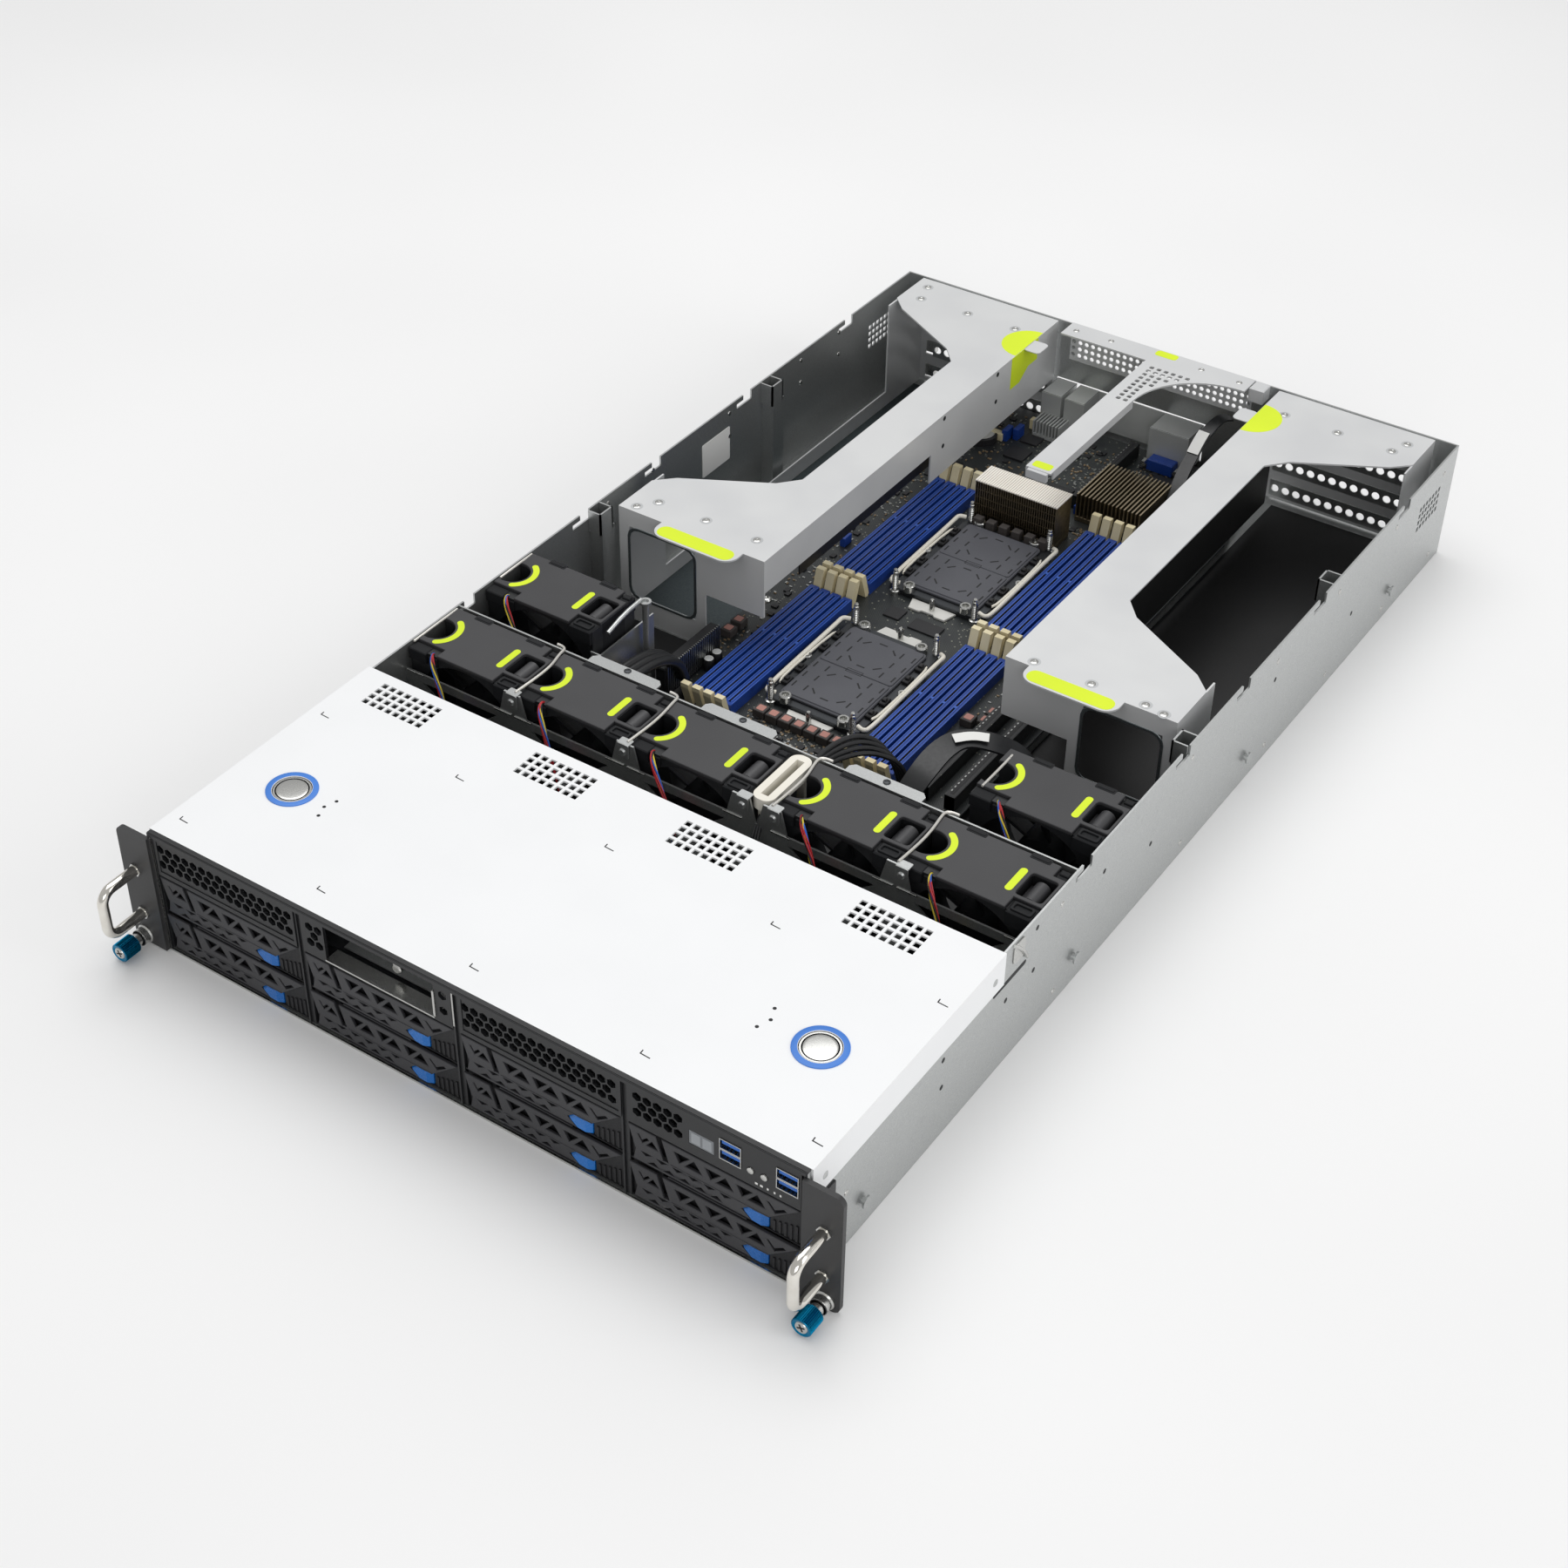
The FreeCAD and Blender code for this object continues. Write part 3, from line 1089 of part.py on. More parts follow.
def fan_master():
    """A fan module: housing with a round passage, motor base on a cross of arms, and its cover."""
    body = doc.addObject("PartDesign::Body", "FanMaster")
    half = (mm.fan_pitch - mm.fan_gap) / 2
    depth = mm.fan_depth
    top = mm.fan_top
    back = depth - mm.fan_set
    axis = mm.fan_axis
    slab(body, "front", mm.fan_set, back, rectangle(-half, FLOOR, half, top - mm.fan_cover))
    slab(body, "front", 2, depth - 2, rectangle(-half, top - mm.fan_cover, half, top))
    hollow(body, "front", -CLEAR, depth + CLEAR, circle(0, axis, mm.fan_bore))
    arm = mm.arm_width / 2
    reach = mm.fan_bore + 1
    for shape in (circle(0, axis, mm.motor_radius), rectangle(-reach, axis - arm, reach, axis + arm),
                  rectangle(-arm, axis - reach, arm, axis + reach)):
        slab(body, "front", back - mm.arm_depth, back, shape)
    hollow(body, "front", back - mm.arm_depth - CLEAR, depth + CLEAR,
           circle(0, axis, mm.shaft_radius + mm.shaft_gap))
    middle = depth / 2
    hollow(body, "top", top - mm.grip_depth, top + CLEAR,
           rectangle(mm.recess_left, middle - mm.recess_length / 2,
                     mm.recess_left + mm.recess_width, middle + mm.recess_length / 2))
    hollow(body, "top", top - mm.grip_depth, top + CLEAR, circle(mm.finger_x, middle, mm.finger_radius))
    return body


def rotor_master():
    """A hub on a shaft with cambered blades set across the air passage."""
    body = doc.addObject("PartDesign::Body", "RotorMaster")
    length = mm.rotor_length
    slab(body, "front", 0, length, circle(0, 0, mm.hub_radius))
    slab(body, "front", length - 1, length + mm.rotor_gap + mm.arm_depth, circle(0, 0, mm.shaft_radius))
    thick = mm.blade_thick
    rise = mm.blade_rise
    start = 2
    middle = start + mm.blade_chord * 0.4
    end = start + mm.blade_chord
    blade = slab(body, "side", mm.hub_radius - 1.5, mm.blade_tip,
                 outline((start, -rise), (start + thick, -rise), (middle + thick, 0), (end, rise * 0.5),
                         (end, rise * 0.5 + thick), (middle, thick)))
    ring = body.newObject("PartDesign::PolarPattern", "PolarPattern")
    ring.Originals = [blade]
    ring.Axis = (origin_axis(body, "Y_Axis"), [""])
    ring.Angle = 360
    bind(ring, "Occurrences", mm.blade_count)
    body.Tip = ring
    return body


def origin_axis(body, role):
    return next(item for item in body.Origin.OriginFeatures if item.Role == role)


def fan_cage():
    """Front wall with an X grille for each fan, and the rear wall with its folded flanges."""
    body = new_body("fan_cage")
    front = mm.fan_front - mm.steel
    rear = mm.fan_front + mm.fan_depth
    top = mm.fan_top
    slab(body, "front", front, mm.fan_front, rectangle(-INSIDE, FLOOR, INSIDE, mm.wall_top))
    slab(body, "front", rear, rear + mm.steel, rectangle(-INSIDE, FLOOR, INSIDE, top))
    middles = [place[0] for place in fan_places()[:5]]
    reach = mm.fan_bore
    grilles = [window for middle in middles for window in x_grille(middle)]
    hollow(body, "front", front - CLEAR, mm.fan_front + 1, *grilles)
    passages = [rectangle(middle - reach, mm.fan_axis - reach, middle + reach, mm.fan_axis + reach)
                for middle in middles]
    hollow(body, "front", rear - 1, rear + CLEAR, *passages)
    half = mm.fan_pitch / 2
    inset = mm.tab_width / 10
    tabs = [middles[0] + half, middles[1] + half, middles[2] + half - inset, middles[3] - half + inset,
            middles[3] + half]
    slab(body, "front", front, mm.fan_front, *[wall_tab(middle) for middle in tabs])
    slab(body, "top", top - mm.steel, top, *[rear_flange(middle, rear) for middle in middles[1:4]])
    return body


def x_grille(middle):
    """Four triangular openings that leave a cross of bars in front of a fan."""
    half = mm.grille_half
    low = mm.grille_low
    high = mm.grille_high
    bar = mm.grille_bar
    centre = (low + high) / 2
    return [
        outline((middle - half + bar, high), (middle, centre + bar), (middle + half - bar, high)),
        outline((middle - half + bar, low), (middle + half - bar, low), (middle, centre - bar)),
        outline((middle - half, high - bar), (middle - half, low + bar), (middle - bar, centre)),
        outline((middle + half, high - bar), (middle + bar, centre), (middle + half, low + bar)),
    ]


def wall_tab(middle):
    """A tapered tab that rises between two modules."""
    half = mm.tab_width / 2
    narrow = half * 0.6
    return outline((middle - half, mm.wall_top), (middle + half, mm.wall_top), (middle + narrow, mm.fan_top),
                   (middle - narrow, mm.fan_top))


def rear_flange(middle, rear):
    """A tongue folded back from the rear wall, with its corners cut."""
    half = mm.flange_width / 2
    back = rear + mm.flange_depth
    cut = mm.flange_depth / 3
    return outline((middle - half, rear), (middle + half, rear), (middle + half, back - cut),
                   (middle + half - cut, back), (middle - half + cut, back), (middle - half, back - cut))


def cable_guide():
    """A tall ring on two legs in the gap between the third and the fourth fan."""
    places = fan_places()
    middle = (places[2][0] + places[3][0]) / 2
    front = mm.fan_front + (mm.fan_depth - mm.guide_length) / 2
    body = new_body("cable_guide", middle, front, 0)
    half = mm.guide_width / 2
    slot = mm.guide_slot / 2
    wall = mm.guide_wall
    length = mm.guide_length
    ring_low = mm.fan_top - mm.guide_rise
    slab(body, "top", ring_low, mm.fan_top, rectangle(-half, 0, half, length))
    round_edges(body, half - 1, lambda middle, size: near(size.z, mm.guide_rise))
    hollow(body, "top", ring_low - 1, mm.fan_top + CLEAR, rectangle(-slot, wall, slot, length - wall))
    for low in (wall / 2, length - wall):
        slab(body, "top", FLOOR, ring_low + 1, rectangle(-slot, low, slot, low + wall / 2))
    return body


# Main board ---------------------------------------------------------------------------------


def motherboard():
    """The main board on its standoffs with the parts soldered to it."""
    body = new_body("motherboard")
    left = mm.board_left
    right = mm.board_right
    front = mm.board_front
    back = mm.board_back
    corner = mm.board_corner
    step = mm.board_step
    slab(body, "top", mm.board_rise, BOARD,
         outline((left, front + corner), (left + corner, front), (right, front), (right, back - step * 4),
                 (right - step, back), (left, back)))
    for x in (left + mm.post_inset, right - mm.post_inset):
        post = slab(body, "top", FLOOR, mm.board_rise,
                    hexagon(x, front + mm.post_end, mm.standoff_radius * 2))
        stack(body, post, (back - front - mm.post_end * 2) / 2, 3)
    rear_ports(body)
    card_sockets(body)
    coils(body)
    return body


def rear_ports(body):
    """Stacked network, service and display ports at the rear edge."""
    back = mm.chassis_depth - mm.steel
    for left, width in ((mm.ports_left, 16), (mm.ports_left + 19, 16), (mm.ports_right - 31, 31)):
        slab(body, "top", BOARD - mm.solder, BOARD + mm.port_stack,
             rectangle(left, back - mm.ports_depth, left + width, back))


def card_sockets(body):
    """Card sockets along the right edge, one long and two short ones at the rear."""
    right = mm.board_right
    wide = mm.card_socket
    for x, front, length in ((right - wide * 4.3, mm.card_front, mm.card_long),
                             (right - wide * 1.7, mm.card_front, mm.card_long),
                             (mm.stem_left - wide * 0.5, mm.card_back, mm.card_short),
                             (mm.bridge_left + mm.bridge_width + wide, mm.card_back, mm.card_short)):
        slab(body, "top", BOARD - mm.solder, BOARD + mm.card_rise,
             rectangle(x, front, x + wide, front + length))


def coils(body):
    """A row of regulator coils in front of the processors, and two round capacitors behind."""
    size = mm.coil_size
    left = mm.socket_x - (mm.coil_pitch * (mm.coil_count - 1) + size) / 2
    front = mm.socket_front - mm.coil_ahead
    coil = slab(body, "top", BOARD - mm.solder, BOARD + mm.coil_rise,
                rectangle(left, front, left + size, front + size))
    repeat(body, coil, mm.coil_pitch, mm.coil_count)
    tin = slab(body, "top", BOARD - mm.solder, BOARD + mm.tin_rise,
               circle(mm.tin_x, mm.tin_y, mm.tin_radius))
    repeat(body, tin, mm.tin_radius * 2.5, 2)


def cpu_sockets():
    """Two socket frames with their studs and backing ribs."""
    body = new_body("cpu_sockets")
    for middle in (mm.socket_front, mm.socket_back):
        half_x = mm.socket_width / 2
        half_y = mm.socket_length / 2
        x = mm.socket_x
        slab(body, "top", BOARD, BOARD + mm.socket_rise,
             rectangle(x - half_x, middle - half_y, x + half_x, middle + half_y))
        inner_x = mm.cap_width / 2 - 3
        inner_y = mm.cap_length / 2 - 3
        hollow(body, "top", BOARD + 1, BOARD + mm.socket_rise + 1,
               rectangle(x - inner_x, middle - inner_y, x + inner_x, middle + inner_y))
        for nut_x in (x - half_x + mm.nut_inset, x + half_x - mm.nut_inset):
            for nut_y in (middle - half_y + mm.nut_edge, middle + half_y - mm.nut_edge):
                slab(body, "top", BOARD + mm.socket_rise - 1, BOARD + mm.stud_tall,
                     hexagon(nut_x, nut_y, mm.nut_flat))
    return body


def socket_covers():
    """The dust cap over each socket: a stepped plate that sits on the frame."""
    body = new_body("socket_covers")
    seat = BOARD + mm.socket_rise
    for middle in (mm.socket_front, mm.socket_back):
        half_x = mm.cap_width / 2
        half_y = mm.cap_length / 2
        x = mm.socket_x
        slab(body, "top", seat, seat + mm.cap_rise * 0.6,
             rectangle(x - half_x, middle - half_y, x + half_x, middle + half_y))
        slab(body, "top", seat + mm.cap_rise * 0.5, seat + mm.cap_rise,
             rectangle(x - half_x + 5, middle - half_y + 3, x + half_x - 5, middle + half_y - 3))
    return body


def bank_places():
    """Middles of the four memory banks."""
    return [(mm.socket_x + side * mm.dimm_offset, middle)
            for middle in (mm.dimm_front, mm.dimm_back) for side in SIDES]


def dimm_slots():
    """Four banks of memory sockets, each with a keyed groove along its top."""
    body = new_body("dimm_slots")
    half = mm.dimm_length / 2
    top = BOARD + mm.dimm_rise
    for x, middle in bank_places():
        left = x - mm.bank_half
        block = slab(body, "top", BOARD, top,
                     rectangle(left, middle - half, left + mm.dimm_width, middle + half))
        repeat(body, block, mm.dimm_pitch, mm.dimm_count)
        key = left + mm.dimm_width / 2
        groove = hollow(body, "top", top - mm.groove_depth, top + 1,
                        rectangle(key - mm.groove_half, middle - half + mm.groove_end,
                                  key + mm.groove_half, middle + half - mm.groove_end))
        repeat(body, groove, mm.dimm_pitch, mm.dimm_count)
    return body


def dimm_latches(label, middle, end):
    """One row of memory latches, across both banks, leaning open; end is -1 in front, 1 behind."""
    body = new_body(label, mm.socket_x, middle + end * (mm.dimm_length / 2 + mm.latch_gap), BOARD)
    out = end * mm.latch_length
    thick = end * mm.latch_thick
    pivot = mm.latch_pivot
    high = mm.latch_rise
    for side in SIDES:
        left = side * mm.dimm_offset - mm.bank_half + mm.latch_slim / 2
        width = mm.dimm_width - mm.latch_slim
        shape = outline((0, pivot), (end * pivot * 0.75, mm.latch_gap), (thick, mm.latch_gap),
                        (out, high - 3), (out, high), (out - thick, high))
        for index in range(int(mm.dimm_count.value)):
            start = left + mm.dimm_pitch * index
            slab(body, "side", start, start + width, shape)
            slab(body, "side", start, start + width, circle(end * pivot, pivot, mm.latch_boss))
    return body


def heatsinks():
    """The regulator's tall cross-cut sink and the chipset's sink with fins along the air flow."""
    body = new_body("heatsinks")
    left = mm.socket_x - mm.regulator_width / 2
    front = mm.regulator_y
    base = BOARD + mm.sink_base
    right = left + mm.regulator_width
    back = front + mm.regulator_length
    slab(body, "top", BOARD, base, rectangle(left, front, right, back))
    slab(body, "top", mm.regulator_top - mm.fin_thick, mm.regulator_top, rectangle(left, front, right, back))
    fin = slab(body, "top", base - mm.solder, mm.regulator_top - mm.fin_thick / 2,
               rectangle(left, front, left + mm.fin_thick, back))
    repeat(body, fin, (mm.regulator_width - mm.fin_thick) / (mm.fin_count - 1), mm.fin_count)
    left = mm.bridge_left
    front = mm.bridge_y
    back = front + mm.bridge_length
    slab(body, "top", BOARD, base, rectangle(left, front, left + mm.bridge_width, back))
    fin = slab(body, "top", base - mm.solder, BOARD + mm.bridge_rise,
               rectangle(left, front, left + mm.fin_thick, back))
    repeat(body, fin, (mm.bridge_width - mm.fin_thick) / (mm.fin_count - 1), mm.fin_count)
    return body


# Accelerator cages and riser bracket --------------------------------------------------------


def gpu_cage(label, side):
    """A lift-out cage: C-shaped cover, inner skirt, outer wall, front wall, card slots, lift tab."""
    body = new_body(label, side * mm.cage_inner, 0, 0)
    top = mm.chassis_height
    under = top - mm.steel
    wide = side * (mm.cage_outer - mm.cage_inner)
    spine = side * (mm.cage_spine - mm.cage_inner)
    front = mm.cage_front
    back = mm.cage_back
    ease = side * mm.cut_ease
    slab(body, "top", under, top,
         outline((0, front), (wide, front), (wide, mm.cut_front - 12), (wide - ease, mm.cut_front),
                 (spine + ease, mm.cut_front + mm.cut_slope - 6), (spine, mm.cut_front + mm.cut_slope + 8),
                 (spine, mm.cut_back - mm.cut_slope - 8), (spine + ease, mm.cut_back - mm.cut_slope + 6),
                 (wide - ease, mm.cut_back), (wide, mm.cut_back + 12), (wide, back), (0, back)))
    sheet_in = side * mm.steel
    slab(body, "top", top - mm.cage_skirt, under + 0.2, rectangle(0, front, sheet_in, back))
    slab(body, "top", top - mm.cage_deep, under - 1, rectangle(0, mm.cage_step, sheet_in, back))
    slab(body, "top", mm.cage_foot, under + 0.2, rectangle(wide - sheet_in, front, wide, mm.cut_front))
    slab(body, "top", mm.cage_foot, under + 0.2, rectangle(wide - sheet_in, mm.cut_back, wide, back))
    slab(body, "top", mm.cage_foot, mm.cage_foot + 12, rectangle(wide - sheet_in, front, wide, back))
    cage_front_wall(body, side, wide, under)
    card_slots(body, side, wide, under)
    lift_tab(body, side, wide, under, top)
    return body


def cage_front_wall(body, side, wide, under):
    """The front wall: a brow over the board and a leg beside it, with an opening stamped into it."""
    front = mm.cage_front
    leg = side * (mm.cage_leg - mm.cage_inner)
    brow = BOARD + mm.brow_rise
    frame = side * mm.window_frame
    slab(body, "front", front, front + mm.steel, rectangle(0, brow, wide, under + mm.brow_lap / 5))
    slab(body, "front", front, front + mm.steel, rectangle(leg, mm.cage_foot, wide, brow + mm.brow_lap))
    hollow(body, "front", front - 1, front + mm.steel + 1,
           rectangle(leg + frame, mm.window_sill, wide - frame, under - mm.window_head))


def card_slots(body, side, wide, under):
    """The rear wall with one long opening for each card bracket."""
    back = mm.cage_back
    slab(body, "front", back - mm.steel, back, rectangle(0, mm.cage_foot + 1, wide, under + 0.2))
    margin = side * 6
    opening = hollow(body, "front", back - mm.steel - 1, back + 1,
                     rectangle(margin, mm.cage_foot + 4, wide - margin, mm.cage_foot + 4 + mm.slot_open))
    stack(body, opening, mm.slot_pitch, mm.slot_count)


def lift_tab(body, side, wide, under, top):
    """A rounded tongue in front of the cover to lift the cage by."""
    middle = side * mm.tab_middle
    half = mm.tab_span / 2
    front = mm.cage_front - mm.tab_depth
    slab(body, "top", under, top, rectangle(middle - half, front, middle + half, mm.cage_front + 1))
    edge = (mm.tab_span / 2).value
    centre = middle.value
    round_edges(body, mm.tab_corner,
                lambda point, size: (near(abs(point.x - centre), edge) and near(point.y, front)
                                     and near(size.z, mm.steel)))


def center_riser():
    """The T-shaped riser bracket: bar, stem with a concave flare, square holes and folded edges."""
    body = new_body("center_riser")
    top = mm.chassis_height
    under = top - mm.steel
    back = mm.chassis_depth
    bar = back - mm.riser_bar
    flare = mm.stem_flare
    slab(body, "top", under, top, rectangle(mm.riser_left, bar, mm.riser_right, back - mm.steel))
    slab(body, "top", under, top,
         outline((mm.stem_left, mm.stem_front), (mm.stem_right, mm.stem_front),
                 (mm.stem_right, bar - flare), (mm.stem_right, bar + 1), (mm.stem_left, bar + 1)))
    slab(body, "top", under, top, flare_corner(mm.stem_right - 0.5, bar, flare))
    slab(body, "front", back - mm.steel * 2, back - mm.steel,
         rectangle(mm.riser_left, mm.riser_low, mm.riser_right, under + 0.2))
    slab(body, "top", top - mm.riser_skirt, under + 0.2,
         rectangle(mm.stem_left, mm.stem_front, mm.stem_left + mm.steel, back - mm.steel))
    hole = hollow(body, "top", under - 1, top + CLEAR,
                  rectangle(-2, bar - 60, -2 + mm.perf_hole, bar - 60 + mm.perf_hole))
    repeat(body, hole, mm.perf_pitch, 2, mm.perf_pitch, 9)
    return body


def flare_corner(x, y, radius):
    """The corner between a stem's right edge and a bar's front edge, with a concave arc."""
    def draw(sketch):
        points = [Vector(x.value, (y - radius).value, 0), Vector((x + radius).value, y.value, 0),
                  Vector(x.value, y.value, 0)]
        centre = Vector((x + radius).value, (y - radius).value, 0)
        arc = Part.ArcOfCircle(Part.Circle(centre, Vector(0, 0, 1), radius.value), math.pi / 2, math.pi)
        lines = [Part.LineSegment(points[1], points[2]), Part.LineSegment(points[2], points[0])]
        sketch.addGeometry([arc] + lines, False)
        for first, end, second, start in ((0, 1, 1, 1), (1, 2, 2, 1), (2, 2, 0, 2)):
            sketch.addConstraint(Sketcher.Constraint("Coincident", first, end, second, start))
        fix(sketch, "DistanceX", 1, 1, length=x + radius)
        fix(sketch, "DistanceY", 1, 1, length=y)
        fix(sketch, "DistanceX", 2, 1, length=x)
        fix(sketch, "DistanceY", 2, 1, length=y)
        fix(sketch, "DistanceX", 2, 2, length=x)
        fix(sketch, "DistanceY", 2, 2, length=y - radius)
        fix(sketch, "Radius", 0, length=radius)
    return draw


# Assembly -----------------------------------------------------------------------------------


def numbered(label, index):
    return f"{label}_{index + 1}"


def build_all():
    nodes = [chassis_tray(), front_lid(), rack_ears(), ear_handles(), bay_frame(), drive_backplane()]
    nodes += [lid_button("lid_button_left", -1), lid_button("lid_button_right", 1)]
    nodes += [thumbscrew("thumbscrew_left", -1), thumbscrew("thumbscrew_right", 1)]
    nodes += [front_panels(), front_key("power_button", mm.key_one), front_key("locate_button", mm.key_two)]
    nodes += drive_sets()
    nodes += [fan_cage(), cable_guide()] + fan_sets()
    nodes += [motherboard(), cpu_sockets(), socket_covers(), dimm_slots(), heatsinks()]
    for name, middle, end in (("latches_front_a", mm.dimm_front, -1), ("latches_front_b", mm.dimm_front, 1),
                              ("latches_rear_a", mm.dimm_back, -1), ("latches_rear_b", mm.dimm_back, 1)):
        nodes.append(dimm_latches(f"dimm_{name}", middle, end))
    nodes += [gpu_cage("gpu_cage_left", -1), gpu_cage("gpu_cage_right", 1), center_riser()]
    return nodes


def drive_sets():
    """Tray, lever and release button for every bay, upper row first, from the left."""
    nodes = []
    for label, master in (("drive_tray", tray_master()), ("tray_lever", lever_master()),
                          ("tray_release", release_master())):
        for index in range(8):
            row, column = divmod(index, 4)
            low = BAY_LOW + BAY_RISE * (1 - row) + (mm.bay_height - mm.tray_height) / 2
            nodes.append(copy_of(master, numbered(label, index), bay_middle(column), 0, low))
    return nodes


def fan_sets():
    """All fan housings in one node, and a rotor of its own for each."""
    housing = fan_master()
    rotor = rotor_master()
    housings = []
    rotors = []
    for index, (x, front) in enumerate(fan_places()):
        housings.append(copy_of(housing, numbered("FanHousing", index), x, front, 0))
        rotor_front = front + ROTOR_BACK - mm.rotor_length
        rotors.append(copy_of(rotor, numbered("fan_rotor", index), x, rotor_front, mm.fan_axis))
    return [gathered("fan_frames", housings)] + rotors


def check(nodes):
    """Stops on a failed object, an empty or broken shape, or a cut that removes nothing."""
    for item in doc.Objects:
        if "Invalid" in item.State or "Error" in item.State:
            raise ValueError(f"{item.Name} failed: {item.State}")
        if item.TypeId == "PartDesign::Pocket" and item.BaseFeature.Shape.Volume - item.Shape.Volume < 0.001:
            raise ValueError(f"{item.Name} cuts nothing")
    for node in nodes:
        if node.Shape.isNull() or not node.Shape.isValid():
            raise ValueError(f"{node.Label} has no valid shape")


parts = build_all()
doc.recompute()
check(parts)
os.makedirs("parts", exist_ok=True)
for node in parts:
    node.Shape.exportStep(f"parts/{node.Label}.step")
print(f"{len(parts)} parts written")
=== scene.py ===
import math
import random

import bmesh
import bpy
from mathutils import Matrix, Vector
from mathutils.geometry import tessellate_polygon


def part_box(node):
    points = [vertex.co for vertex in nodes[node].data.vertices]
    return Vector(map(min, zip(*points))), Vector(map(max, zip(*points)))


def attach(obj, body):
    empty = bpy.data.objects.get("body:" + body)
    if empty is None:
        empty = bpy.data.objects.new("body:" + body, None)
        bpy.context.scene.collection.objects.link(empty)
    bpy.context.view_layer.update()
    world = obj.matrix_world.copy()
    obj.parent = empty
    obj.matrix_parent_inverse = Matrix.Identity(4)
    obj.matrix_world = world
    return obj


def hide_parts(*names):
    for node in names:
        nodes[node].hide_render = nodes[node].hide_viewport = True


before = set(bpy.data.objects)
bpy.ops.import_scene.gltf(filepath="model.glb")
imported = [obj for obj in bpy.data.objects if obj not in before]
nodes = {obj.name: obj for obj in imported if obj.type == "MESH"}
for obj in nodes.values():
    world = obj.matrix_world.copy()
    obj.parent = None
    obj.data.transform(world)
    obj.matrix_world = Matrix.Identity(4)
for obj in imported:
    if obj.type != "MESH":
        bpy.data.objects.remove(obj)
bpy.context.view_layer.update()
perMetre = 1000                                         # every size below is in millimetres
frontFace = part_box("chassis_tray")[0][1] * perMetre     # the chassis front, seen from the model's origin
sides = (("left", -1), ("right", 1))
random.seed(7)


def linear(code):
    values = [int(code[i:i + 2], 16) / 255 for i in (1, 3, 5)]
    return [v / 12.92 if v <= 0.04045 else ((v + 0.055) / 1.055) ** 2.4 for v in values] + [1]


def addNode(tree, kind, settings=None, links=None):
    node = tree.nodes.new(kind)
    for name, value in (settings or {}).items():
        setattr(node, name, value)
    for socket, value in (links or {}).items():
        if isinstance(value, bpy.types.NodeSocket):
            tree.links.new(value, node.inputs[socket])
        else:
            node.inputs[socket].default_value = value
    return node


def openFinish(name):
    material = bpy.data.materials.new(name)
    material.use_nodes = True
    tree = material.node_tree
    tree.nodes.clear()
    return material, tree, addNode(tree, "ShaderNodeTexCoord").outputs["Object"]


def closeFinish(material, tree, colour, shader, height=None, depth=0.0, texture=None, rough=0.0, swing=0.0):
    # roughness swings about its middle value with the texture, and the height gives bump of this depth
    shader = {"Base Color": colour, **shader}
    if texture:
        shader["Roughness"] = addNode(tree, "ShaderNodeMapRange", links={
            "Value": texture, "From Min": 0.3, "From Max": 0.7,
            "To Min": rough - swing, "To Max": rough + swing}).outputs[0]
    if height:
        shader["Normal"] = addNode(tree, "ShaderNodeBump", links={
            "Height": height, "Distance": depth / perMetre, "Strength": 1}).outputs[0]
    surface = addNode(tree, "ShaderNodeBsdfPrincipled", links=shader)
    addNode(tree, "ShaderNodeOutputMaterial", links={"Surface": surface.outputs[0]})
    return material


def grains(tree, where, size, stretch=(1, 1, 1), detail=3):
    # noise with grains of about this size
    placed = addNode(tree, "ShaderNodeMapping", links={"Vector": where, "Scale": stretch})
    return addNode(tree, "ShaderNodeTexNoise", links={
        "Vector": placed.outputs[0], "Scale": perMetre / size, "Detail": detail}).outputs["Fac"]


def between(tree, factor, low, high, first, second):
    # a colour that goes from the first to the second as the factor goes from low to high
    spread = addNode(tree, "ShaderNodeMapRange", links={"Value": factor, "From Min": low, "From Max": high})
    mixed = addNode(tree, "ShaderNodeMix", {"data_type": "RGBA"}, {
        0: spread.outputs[0], 6: first, 7: linear(second)})
    return mixed.outputs[2]


def coated(name, colour, shade, rough, grain=0.6, depth=0.02, metallic=0.0, specular=0.5):
    # a plain coated or moulded surface: slow shading over 60 mm, fine texture on top
    material, tree, where = openFinish(name)
    slow, fine = grains(tree, where, 60, detail=2), grains(tree, where, grain)
    tone = between(tree, slow, 0.35, 0.65, linear(colour), shade)
    return closeFinish(material, tree, tone, {"Metallic": metallic, "Specular IOR Level": specular},
                       fine, depth, fine, rough, 0.05)


def drawnMetal(name, colour, shade, rough, along=(1, 12, 12), grain=3.0, depth=0.004):
    # brushed or rolled metal: streaks that run along one axis
    material, tree, where = openFinish(name)
    streaks = grains(tree, where, grain, along, 4)
    tone = between(tree, streaks, 0.3, 0.7, linear(colour), shade)
    return closeFinish(material, tree, tone, {"Metallic": 1.0}, streaks, depth, streaks, rough, 0.06)


def spangled(name, colour, shade, rough, size=9, metallic=0.9):
    # hot-dip galvanised sheet: crystals of zinc of this size, each a shade off the next
    material, tree, where = openFinish(name)
    drift = addNode(tree, "ShaderNodeTexNoise", links={"Vector": where, "Scale": perMetre / (size * 2)})
    bent = addNode(tree, "ShaderNodeVectorMath", {"operation": "ADD"}, {0: where, 1: drift.outputs["Color"]})
    crystals = addNode(tree, "ShaderNodeTexVoronoi", links={
        "Vector": bent.outputs[0], "Scale": perMetre / size})
    spangle = addNode(tree, "ShaderNodeSeparateColor", links={0: crystals.outputs["Color"]}).outputs[0]
    tone = between(tree, spangle, 0, 1, linear(colour), shade)
    return closeFinish(material, tree, tone, {"Metallic": metallic}, grains(tree, where, 0.8), 0.006,
                       spangle, rough, 0.04)


